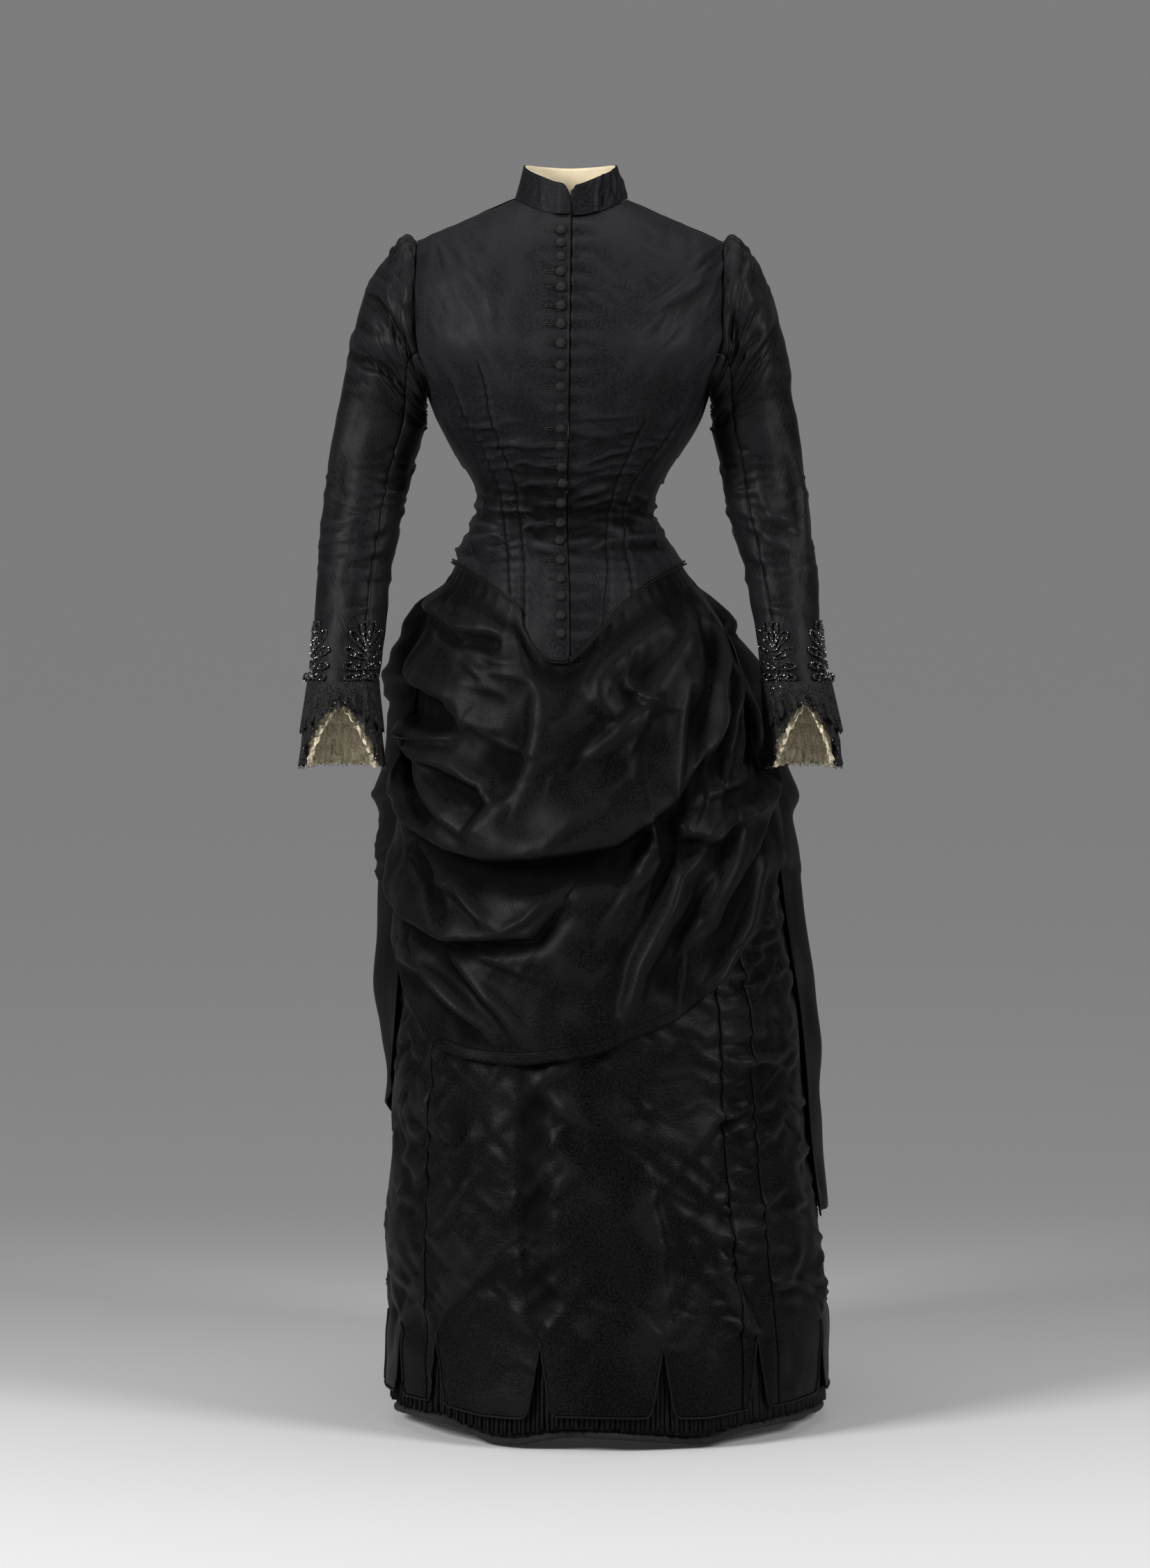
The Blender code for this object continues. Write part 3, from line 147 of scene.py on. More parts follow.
@dataclass(frozen=True)
class Wrinkles:
    """Short curved creases scattered over a part of a cloth, the same in every run.

    Places and sizes are ranges in metres, lean is a range in degrees, ridge is the height.
    """

    seed: int
    count: int
    across: tuple[float, float]
    up: tuple[float, float]
    long: tuple[float, float]
    wide: tuple[float, float]
    lean: tuple[float, float]
    ridge: float

    def relief(self, across: np.ndarray, up: np.ndarray) -> np.ndarray:
        """Relief at places in metres across and up the cloth."""
        rng = np.random.default_rng(self.seed)
        across, up = np.broadcast_arrays(across, up)
        total = np.zeros(across.shape)
        for _ in range(self.count):
            x, y = rng.uniform(*self.across), rng.uniform(*self.up)
            turn = math.radians(rng.uniform(*self.lean))
            long, wide = rng.uniform(*self.long), rng.uniform(*self.wide)
            bend, ridge = rng.uniform(-5.0, 5.0), self.ridge * rng.uniform(0.35, 1.0)
            near = (np.abs(across - x) < long * 1.3) & (np.abs(up - y) < long * 1.3)
            if not near.any():
                continue
            run, off = across[near] - x, up[near] - y
            run, off = (run * math.cos(turn) + off * math.sin(turn),
                        off * math.cos(turn) - run * math.sin(turn) + bend * run ** 2)
            ends = hill(run, 0.0, 0.55 * long)
            fold = hill(off, 0.0, wide) - 0.55 * hill(off, -1.6 * wide, 1.3 * wide)
            total[near] += ridge * ends * fold
        return total


def scattered(*rows: tuple) -> tuple[Wrinkles, ...]:
    """Wrinkles from rows whose columns are the fields of Wrinkles."""
    return tuple(Wrinkles(*row) for row in rows)


# Forms of the dress

SKIRT = Table("height centre half_width front back", [
    (0.000, 0.0440, 0.2365, 0.2370, 0.400), (0.040, 0.0435, 0.2355, 0.2365, 0.398),
    (0.094, 0.0435, 0.2345, 0.2340, 0.395), (0.213, 0.0370, 0.2280, 0.2250, 0.380),
    (0.300, 0.0340, 0.2200, 0.2160, 0.368), (0.373, 0.0335, 0.2150, 0.2080, 0.358),
    (0.440, 0.0330, 0.2095, 0.2000, 0.348), (0.500, 0.0300, 0.2020, 0.1930, 0.338),
    (0.600, 0.0260, 0.1930, 0.1800, 0.318), (0.700, 0.0200, 0.1800, 0.1650, 0.292),
    (0.770, 0.0140, 0.1680, 0.1540, 0.268), (0.820, 0.0090, 0.1550, 0.1440, 0.240),
    (0.860, 0.0050, 0.1390, 0.1325, 0.196), (0.900, 0.0020, 0.1170, 0.1160, 0.146),
    (0.930, -0.0020, 0.0985, 0.0965, 0.107), (0.955, -0.0030, 0.0865, 0.0865, 0.084),
])

BODICE = Table("height centre half_width front back power", [
    (0.790, 0.0100, 0.1700, 0.1560, 0.262, 2.00), (0.820, 0.0085, 0.1620, 0.1510, 0.244, 2.00),
    (0.860, 0.0050, 0.1450, 0.1385, 0.207, 2.00), (0.904, 0.0015, 0.1222, 0.1222, 0.155, 2.00),
    (0.940, -0.0025, 0.1015, 0.1010, 0.109, 2.00), (0.962, -0.0025, 0.0940, 0.0940, 0.092, 2.00),
    (0.985, 0.0008, 0.0973, 0.0985, 0.092, 2.00), (1.020, 0.0010, 0.1190, 0.1130, 0.096, 2.10),
    (1.057, 0.0012, 0.1400, 0.1280, 0.101, 2.15), (1.085, 0.0015, 0.1500, 0.1350, 0.104, 2.20),
    (1.124, 0.0017, 0.1720, 0.1370, 0.108, 2.35), (1.160, 0.0017, 0.1760, 0.1280, 0.109, 2.40),
    (1.200, 0.0020, 0.1760, 0.1120, 0.104, 2.40), (1.240, 0.0030, 0.1740, 0.0900, 0.089, 2.40),
    (1.268, 0.0040, 0.1700, 0.0735, 0.074, 2.40), (1.300, 0.0040, 0.1650, 0.0600, 0.062, 2.40),
])

BODICE_EDGE = Table("angle height", [
    (-180.0, 0.862), (-150.0, 0.880), (-120.0, 0.897), (-88.0, 0.906), (-44.0, 0.889),
    (-28.5, 0.871), (-20.5, 0.853), (-18.6, 0.836), (-15.7, 0.822), (-7.4, 0.807), (-2.4, 0.808),
    (11.0, 0.840), (28.7, 0.875), (41.5, 0.889), (86.0, 0.904), (120.0, 0.897), (150.0, 0.880),
    (180.0, 0.862),
])
OPENING = Table("height across", [
    (0.790, 0.0030), (0.860, 0.0028), (0.960, 0.0000), (1.060, 0.0018), (1.270, 0.0047),
])
FRONT_SEAM = Table("height angle", [(0.800, 62.0), (0.960, 66.0), (1.060, 74.0), (1.0853, 76.5)])
BACK_SEAM = Table("height angle", [(0.800, 122.0), (0.960, 118.0), (1.060, 110.0),
                                   (1.0853, 108.0)])
ARMHOLE = Table("turn angle along", [
    (0.0, 65.3, 1.2762), (20.0, 65.0, 1.2560), (45.0, 64.0, 1.2260), (70.0, 62.8, 1.1900),
    (95.0, 62.5, 1.1550), (120.0, 63.3, 1.1250), (140.0, 66.0, 1.1020), (160.0, 76.5, 1.0853),
    (180.0, 92.0, 1.0815),
])
SLEEVE_RIGHT = Table("height centre depth half_width half_depth tilt", [
    (1.065, -0.1925, 0.002, 0.0440, 0.0450, 0.020), (1.020, -0.2035, 0.002, 0.0435, 0.0455, 0.010),
    (0.975, -0.2120, -0.002, 0.0418, 0.0450, 0.004), (0.930, -0.2190, -0.012, 0.0405, 0.0435, 0.0),
    (0.885, -0.2248, -0.026, 0.0390, 0.0415, 0.0), (0.840, -0.2272, -0.041, 0.0368, 0.0390, 0.0),
    (0.795, -0.2307, -0.056, 0.0355, 0.0370, 0.0), (0.774, -0.2335, -0.062, 0.0350, 0.0365, 0.0),
])
SLEEVE_LEFT = Table("height centre depth half_width half_depth tilt", [
    (1.065, 0.1950, 0.002, 0.0420, 0.0440, 0.020), (1.020, 0.2037, 0.002, 0.0425, 0.0450, 0.010),
    (0.975, 0.2100, -0.002, 0.0430, 0.0445, 0.004), (0.930, 0.2185, -0.012, 0.0405, 0.0430, 0.0),
    (0.885, 0.2258, -0.026, 0.0370, 0.0405, 0.0), (0.840, 0.2312, -0.041, 0.0340, 0.0380, 0.0),
    (0.795, 0.2362, -0.056, 0.0335, 0.0365, 0.0), (0.774, 0.2393, -0.062, 0.0345, 0.0360, 0.0),
])
COLLAR_TOP = Table("angle height", [
    (0.0, 1.299), (12.0, 1.301), (45.0, 1.311), (90.0, 1.3218), (180.0, 1.322),
])
APRON_HEM = Table("angle height", [
    (-93.0, 0.515), (-87.0, 0.507), (-69.0, 0.463), (-53.0, 0.413), (-44.0, 0.403), (-34.0, 0.397),
    (-24.0, 0.395), (-10.0, 0.402), (3.0, 0.413), (9.0, 0.424), (21.0, 0.441), (29.0, 0.460),
    (35.0, 0.479), (44.0, 0.508), (56.0, 0.536), (68.0, 0.578), (87.0, 0.652), (92.0, 0.668),
])
APRON_OUT = Table("height out", [
    (0.390, 0.010), (0.500, 0.013), (0.650, 0.015), (0.780, 0.013), (0.850, 0.009), (0.890, 0.004),
    (0.920, 0.0028), (0.955, 0.0028),
])
DRAPE_OUT = Table("height left right back", [
    (0.160, 0.014, 0.010, 0.018), (0.212, 0.017, 0.010, 0.019), (0.310, 0.024, 0.010, 0.020),
    (0.390, 0.027, 0.020, 0.024), (0.470, 0.029, 0.036, 0.028), (0.540, 0.030, 0.039, 0.031),
    (0.600, 0.030, 0.043, 0.034), (0.670, 0.035, 0.040, 0.036), (0.730, 0.034, 0.038, 0.037),
    (0.800, 0.022, 0.034, 0.036), (0.840, 0.019, 0.027, 0.028), (0.870, 0.013, 0.018, 0.016),
    (0.910, 0.003, 0.003, 0.003), (0.955, 0.0025, 0.0025, 0.0025),
])
DRAPE_HEM = Table("angle height", [
    (84.0, 0.214), (104.0, 0.208), (130.0, 0.180), (180.0, 0.168), (230.0, 0.235), (262.0, 0.335),
    (276.0, 0.378),
])
DRAPE_FLUTES = Table("top hem ridge reach", [
    (104.0, 99.0, 0.010, 4.5), (118.0, 114.0, 0.014, 5.0), (133.0, 130.0, 0.012, 4.5),
    (147.0, 146.0, 0.016, 5.5), (163.0, 162.0, 0.013, 4.5), (180.0, 180.0, 0.018, 6.0),
    (197.0, 198.0, 0.013, 4.5), (213.0, 214.0, 0.016, 5.5), (227.0, 230.0, 0.012, 4.5),
    (242.0, 246.0, 0.014, 5.0), (256.0, 261.0, 0.010, 4.5),
])
DRAPE_TUCKS = Table("height drop ridge reach", [
    (0.600, 0.055, 0.014, 0.030), (0.712, 0.070, 0.018, 0.040), (0.815, 0.030, 0.010, 0.026),
])
HEM_LIFT = Table("angle lift", [
    (-180.0, 0.005), (-130.0, 0.001), (-90.0, 0.008), (-74.0, 0.011), (-49.0, 0.016), (-32.0, 0.003),
    (-24.0, 0.004), (-14.0, 0.013), (-4.0, 0.014), (13.0, 0.009), (25.0, 0.004), (35.0, 0.011),
    (49.0, 0.013), (65.0, 0.012), (90.0, 0.006), (130.0, 0.000), (180.0, 0.005),
])
BUTTON_PLACES = Table("height angle", [
    (0.8354, -5.0), (0.8539, -4.6), (0.8738, -4.2), (0.8916, -3.9), (0.9100, -3.4), (0.9299, -2.9),
    (0.9478, -2.4), (0.9695, -2.6), (0.9907, -2.9), (1.0075, -2.9), (1.0294, -2.8), (1.0469, -2.6),
    (1.0679, -2.3), (1.0896, -2.1), (1.1112, -1.8), (1.1336, -1.5), (1.1531, -1.4), (1.1719, -1.4),
    (1.1908, -1.4), (1.2068, -1.5), (1.2222, -1.6), (1.2368, -1.7), (1.2501, -1.8),
])


@dataclass(frozen=True)
class Fold:
    """One ridge of draped cloth, along a line of (angle, height) places.

    Above and below are how far it reaches on either side of the line. A hollow of 0 makes it a
    plain trough or ridge, and a larger one lets the cloth sink below the ridge.
    """

    ridge: float
    above: float
    below: float
    line: tuple[tuple[float, float], ...]
    hollow: float = 0.35


APRON_FOLDS = {
    "main swag": Fold(0.020, 0.045, 0.008, (
        (-95, 0.69), (-87, 0.674), (-62, 0.636), (-44, 0.615), (-31, 0.606), (-16, 0.609),
        (6, 0.622), (24, 0.665), (36, 0.709), (50, 0.760), (62, 0.812)), 0.5),
    "second swag": Fold(0.015, 0.030, 0.007, (
        (-95, 0.62), (-83, 0.559), (-59, 0.535), (-44, 0.521), (-30, 0.525), (-18, 0.529),
        (-10, 0.563)), 0.5),
    "upper ridge": Fold(0.012, 0.022, 0.010, (
        (-95, 0.80), (-87, 0.792), (-63, 0.779), (-51, 0.763), (-41, 0.744))),
    "hooked ridge": Fold(0.012, 0.018, 0.010, (
        (-95, 0.735), (-87, 0.724), (-65, 0.712), (-49, 0.700), (-33, 0.681), (-30, 0.660),
        (-34, 0.631))),
    "soft ridge": Fold(0.006, 0.016, 0.013, ((-79, 0.850), (-47, 0.835), (-28, 0.838))),
    "short crease": Fold(0.007, 0.010, 0.008, (
        (-55, 0.583), (-44, 0.574), (-36, 0.556), (-30, 0.539))),
    "long crease": Fold(0.009, 0.012, 0.009, (
        (-76, 0.498), (-58, 0.487), (-47, 0.468), (-38, 0.444), (-28, 0.419))),
    "inner crease": Fold(0.007, 0.010, 0.008, (
        (-47, 0.514), (-39, 0.488), (-33, 0.468), (-28, 0.452), (-20, 0.419))),
    "outer diagonal": Fold(0.012, 0.015, 0.011, (
        (88, 0.700), (81, 0.683), (53, 0.648), (37, 0.572), (32, 0.543), (25, 0.517))),
    "long diagonal": Fold(0.011, 0.014, 0.010, (
        (46, 0.649), (25, 0.588), (19, 0.548), (12, 0.500), (7, 0.444))),
    "edge diagonal": Fold(0.009, 0.012, 0.010, (
        (60, 0.604), (47, 0.535), (37, 0.489), (31, 0.469))),
    "curved crease": Fold(0.005, 0.015, 0.010, (
        (18, 0.650), (18, 0.633), (17, 0.610), (12, 0.580), (2, 0.530))),
    "hip ridge": Fold(0.012, 0.014, 0.010, ((62, 0.796), (51, 0.756), (44, 0.724), (39, 0.703))),
    "hip pouf": Fold(0.013, 0.030, 0.010, (
        (27, 0.650), (29, 0.632), (37, 0.627), (45, 0.640), (58, 0.659))),
    "hip fall": Fold(0.008, 0.016, 0.010, ((58, 0.861), (32, 0.799), (14, 0.743), (0, 0.708))),
    "hip loop": Fold(0.007, 0.012, 0.010, ((73, 0.878), (65, 0.861), (59, 0.818), (56, 0.796))),
    "centre crease": Fold(0.005, 0.020, 0.015, (
        (-12, 0.783), (-14, 0.758), (-16, 0.729), (-20, 0.679))),
    "centre arc": Fold(0.004, 0.014, 0.012, ((7, 0.793), (7, 0.772), (10, 0.751), (12, 0.740))),
    "side arc": Fold(0.004, 0.014, 0.010, ((14, 0.786), (20, 0.779), (25, 0.760), (27, 0.759))),
    "hip hollow": Fold(-0.012, 0.022, 0.022, ((77, 0.785), (72, 0.740), (68, 0.690))),
    "right hip puff": Fold(0.014, 0.020, 0.016, ((-95, 0.866), (-80, 0.864), (-66, 0.860))),
}

APRON_DETAILS = {
    "first pocket": Fold(-0.022, 0.017, 0.017, (
        (-90, 0.760), (-76, 0.757), (-62, 0.752), (-50, 0.748)), 0),
    "second pocket": Fold(-0.020, 0.012, 0.013, (
        (-84, 0.712), (-74, 0.690), (-64, 0.664), (-52, 0.640)), 0),
    "hip slot": Fold(-0.022, 0.011, 0.011, (
        (80, 0.825), (77, 0.795), (72, 0.755), (66, 0.720), (60, 0.698)), 0),
    "under the hip puff": Fold(-0.007, 0.008, 0.009, (
        (-80, 0.850), (-65, 0.842), (-49, 0.830), (-32, 0.827)), 0),
    "under the swag": Fold(-0.008, 0.012, 0.024, (
        (-40, 0.594), (-18, 0.592), (5.5, 0.606), (14, 0.612)), 0),
    "inner left hollow": Fold(-0.008, 0.008, 0.010, ((-66, 0.610), (-54, 0.580), (-46, 0.540)), 0),
    "right valley": Fold(-0.006, 0.008, 0.008, ((41, 0.775), (37, 0.738), (31, 0.695), (26, 0.650)), 0),
    "valley by the loop": Fold(-0.006, 0.009, 0.007, (
        (23, 0.630), (22, 0.600), (18, 0.562), (15, 0.540)), 0),
    "pocket ledge": Fold(0.006, 0.007, 0.005, ((-84, 0.727), (-61, 0.726), (-47, 0.727))),
    "second pocket edge": Fold(0.006, 0.016, 0.005, (
        (-67.5, 0.712), (-59.5, 0.680), (-49, 0.652), (-38.5, 0.632))),
    "fall from the point": Fold(0.004, 0.020, 0.016, (
        (-10.5, 0.778), (-13, 0.736), (-18, 0.684), (-24.5, 0.656), (-34, 0.626))),
    "hip arc": Fold(0.004, 0.020, 0.014, (
        (51.5, 0.854), (36.5, 0.840), (19, 0.818), (9.5, 0.798), (3.5, 0.770), (-6, 0.738),
        (-9.5, 0.704))),
    "bright crease": Fold(0.004, 0.006, 0.005, ((-44, 0.584), (-37, 0.560), (-31.5, 0.542))),
    "small crease": Fold(0.003, 0.006, 0.005, ((-26, 0.530), (-19, 0.544), (-11, 0.572))),
    "low crease": Fold(0.006, 0.014, 0.005, ((-66, 0.530), (-61, 0.510), (-48.5, 0.470), (-34, 0.434))),
    "side crease": Fold(0.003, 0.006, 0.005, ((15, 0.782), (22.5, 0.770), (30, 0.760))),
    "hip pleat": Fold(0.010, 0.007, 0.006, (
        (64.5, 0.842), (58.5, 0.814), (51, 0.782), (43, 0.734), (39, 0.702)), 0.6),
    "second hip pleat": Fold(0.011, 0.007, 0.006, (
        (66, 0.825), (63, 0.786), (54, 0.748), (47, 0.715), (46, 0.686)), 0.6),
    "hip pleat end": Fold(0.004, 0.008, 0.006, ((36.5, 0.668), (51.5, 0.680), (63, 0.698))),
    "edge fall": Fold(0.004, 0.014, 0.008, ((34, 0.532), (39, 0.560), (52.5, 0.604), (76, 0.670))),
    "long fall": Fold(0.005, 0.018, 0.009, ((8, 0.450), (12.5, 0.492), (20, 0.534), (29.5, 0.574))),
    "middle fall": Fold(0.004, 0.009, 0.006, ((27, 0.532), (35.5, 0.584), (40.5, 0.626))),
    "loop": Fold(0.006, 0.006, 0.005, ((17.5, 0.610), (19, 0.638), (16, 0.648))),
    "broad fall": Fold(0.003, 0.020, 0.012, (
        (-13.5, 0.622), (-0.5, 0.658), (10.5, 0.690), (15, 0.752))),
}

DARTS = {
    -1: (((-30.8, 1.112), (-33.3, 1.065), (-33.3, 1.0115), (-34.3, 0.982), (-28.1, 0.948),
          (-24.5, 0.9275), (-22.0, 0.904), (-19.6, 0.850)),
         ((-50.4, 1.0995), (-49.3, 1.058), (-46.8, 1.017), (-49.1, 0.986), (-40.7, 0.951),
          (-32.5, 0.919), (-27.1, 0.876))),
    1: (((33.2, 1.054), (30.4, 1.012), (29.5, 0.970), (26.9, 0.946), (21.8, 0.920),
         (15.2, 0.8765), (11.4, 0.840)),
        ((54.4, 1.058), (49.9, 1.027), (43.8, 0.994), (40.6, 0.968), (38.4, 0.9435),
         (32.5, 0.916), (27.3, 0.872))),
}


def hem_lift(angle: np.ndarray) -> np.ndarray:
    """How far the hem is caught up at an angle."""
    return HEM_LIFT.read("lift", np.mod(np.asarray(angle) + 180.0, 360.0) - 180.0)


def line_places(angle: np.ndarray, height: np.ndarray, scale: np.ndarray,
                line: Sequence[tuple[float, float]]) -> tuple[np.ndarray, np.ndarray, np.ndarray]:
    """Where cloth lies from a line drawn on it.

    Args:
        angle: places round, in degrees.
        height: places up, in metres.
        scale: metres for each degree there.
        line: the line's corners as (angle, height).

    Returns:
        Distance to the line, the side of it, and how far along it from 0 to 1.
    """
    shape = np.broadcast(angle, height).shape
    best, side, share = np.full(shape, 1e9), np.zeros(shape), np.zeros(shape)
    count = len(line) - 1
    for number in range(count):
        (a0, h0), (a1, h1) = line[number], line[number + 1]
        run_x, run_y = (a1 - a0) * scale, h1 - h0
        off_x, off_y = (angle - a0) * scale, height - h0
        length = np.maximum(run_x ** 2 + run_y ** 2, 1e-12)
        part = np.clip((run_x * off_x + run_y * off_y) / length, 0.0, 1.0)
        distance = np.hypot(off_x - run_x * part, off_y - run_y * part)
        nearer = distance < best
        best = np.where(nearer, distance, best)
        side = np.where(nearer, np.sign(run_x * off_y - run_y * off_x), side)
        share = np.where(nearer, (number + part) / count, share)
    return best, side, share


def fold_relief(angle: np.ndarray, height: np.ndarray, scale: np.ndarray,
                folds: Iterable[Fold]) -> np.ndarray:
    """Sum of ridges along lines drawn on the cloth."""
    total = np.zeros(np.broadcast(angle, height).shape)
    for fold in folds:
        distance, side, share = line_places(angle, height, scale, fold.line)
        ends = 0.25 + 0.75 * np.sin(math.pi * np.clip(share, 0.0, 1.0)) ** 0.6
        over = np.exp(-(distance / fold.above) ** 2)
        drop = soft_step(distance, 0.0, 1.2 * fold.below)
        under = 1.0 - drop - fold.hollow * drop * hill(distance, 1.5 * fold.below, 1.4 * fold.below)
        if fold.hollow == 0:
            over = np.exp(-(distance / fold.above) ** 4)
            under = np.exp(-(distance / fold.below) ** 4)
        total = total + fold.ridge * ends * np.where(side > 0.0, over, under)
    return total


class SkirtForm:
    """The plain form of the skirt over its bustle."""

    @staticmethod
    def ring(angle: np.ndarray, height: np.ndarray) -> tuple[np.ndarray, np.ndarray]:
        """Points on the form and the level directions straight out of it."""
        turn = np.radians(angle)
        half_width = SKIRT.read("half_width", height)
        front, back = SKIRT.read("front", height), SKIRT.read("back", height)
        depth = np.where(np.cos(turn) > 0.0, front, back)
        across = SKIRT.read("centre", height) + half_width * np.sin(turn)
        points = np.stack([across, -depth * np.cos(turn), height + 0.0 * turn], axis=-1)
        away = np.stack([np.sin(turn) * depth, -np.cos(turn) * half_width, 0.0 * turn], axis=-1)
        return points, unit(away)

    @staticmethod
    def surface(angle: np.ndarray, height: np.ndarray,
                out: np.ndarray | float = 0.0) -> tuple[np.ndarray, np.ndarray]:
        """Points a distance out of the form, and the directions out."""
        points, away = SkirtForm.ring(angle, height)
        return points + away * (np.asarray(out) + 0.0 * points[..., 0])[..., None], away

    @staticmethod
    def arc(angle: np.ndarray, height: np.ndarray) -> np.ndarray:
        """Metres round the form for each degree."""
        low, _ = SkirtForm.ring(angle - 0.5, height)
        high, _ = SkirtForm.ring(angle + 0.5, height)
        return np.linalg.norm(high - low, axis=-1)


class BodiceForm:
    """The bodice's outside, which turns over the shoulder at the top."""

    neck_point = (0.0605, 1.2860)
    neck_front, neck_back = 1.2675, 1.2780
    neck_centre, neck_level = 0.004, 1.262
    slope, round_over = 0.433, 0.060
    underarm = 1.0853

    @classmethod
    def shoulder(cls, across: np.ndarray) -> np.ndarray:
        """Height of the shoulder line at a place across."""
        return cls.neck_point[1] - cls.slope * (np.abs(across - 0.003) - cls.neck_point[0])

    @classmethod
    def surface(cls, angle: np.ndarray, along: np.ndarray) -> np.ndarray:
        """Points by angle and distance up the cloth."""
        turn = np.radians(angle)
        height = np.minimum(along, 1.24)
        for _ in range(6):
            power = BODICE.read("power", height)
            half_width = BODICE.read("half_width", height)
            across = BODICE.read("centre", height) + half_width * rounded(np.sin(turn), power)
            start = cls.shoulder(across) - cls.round_over
            bend = np.maximum(along - start, 0.0) / cls.round_over
            height = np.where(bend > 0.0, start + cls.round_over * np.sin(bend), along)
        front = np.cos(turn) > 0.0
        depth = np.where(front, BODICE.read("front", height), BODICE.read("back", height))
        behind = -depth * rounded(np.cos(turn), power) * np.cos(bend)
        return np.stack([across, behind, height], axis=-1)

    @classmethod
    def normal(cls, angle: np.ndarray, along: np.ndarray) -> np.ndarray:
        """Directions straight out of the cloth."""
        step = 1e-3
        turned = cls.surface(angle + 20 * step, along) - cls.surface(angle - 20 * step, along)
        raised = cls.surface(angle, along + step) - cls.surface(angle, along - step)
        return unit(np.cross(turned, raised))

    @classmethod
    def along_of(cls, across: np.ndarray, height: np.ndarray) -> np.ndarray:
        """Distance up the cloth at a height."""
        start = cls.shoulder(across) - cls.round_over
        bend = np.arcsin(np.clip((height - start) / cls.round_over, -1.0, 1.0))
        return np.where(height > start, start + cls.round_over * bend, height)

    @classmethod
    def top(cls, angle: np.ndarray) -> np.ndarray:
        """How far up the cloth reaches: the neckline, then the shoulder seam."""
        back = np.cos(np.radians(angle)) < 0.0
        middle = np.where(back, cls.neck_back, cls.neck_front)
        across = cls.surface(angle, cls.neck_level + 0.0 * angle)[..., 0]
        part = np.clip(np.abs(across - cls.neck_centre) / cls.neck_point[0], 0.0, 1.0)
        height = middle + (cls.neck_point[1] - middle) * part ** 2.2
        return np.where(part < 1.0, cls.along_of(across, height),
                        cls.shoulder(across) + cls.round_over * (math.pi / 2.0 - 1.0))

    @staticmethod
    def angle_of(across: np.ndarray, height: np.ndarray | float) -> np.ndarray:
        """Angle of a place given straight across, in metres."""
        height = np.minimum(height, 1.27)
        share = (across - BODICE.read("centre", height)) / BODICE.read("half_width", height)
        power = BODICE.read("power", height)
        return np.degrees(np.arcsin(np.sign(share) * np.abs(share) ** (power / 2.0)))

    @classmethod
    def corner(cls, side: float, back: bool) -> float:
        """Angle at which the neckline meets the shoulder seam."""
        angle = np.linspace(8.0, 30.0, 2000)
        turned = side * (180.0 - angle if back else angle)
        across = cls.surface(turned, cls.neck_level + 0.0 * angle)[..., 0]
        return float(np.interp(cls.neck_point[0], np.abs(across - cls.neck_centre), angle))

    @classmethod
    def neckline(cls, turn: np.ndarray) -> np.ndarray:
        """Points of the neckline by the turn round the neck, in radians."""
        across = cls.neck_centre + (cls.neck_point[0] - 0.0004) * np.sin(turn)
        angle = cls.angle_of(across, cls.neck_level)
        angle = np.where(np.cos(turn) < 0.0, 180.0 - angle, angle)
        return cls.surface(angle, cls.top(angle))


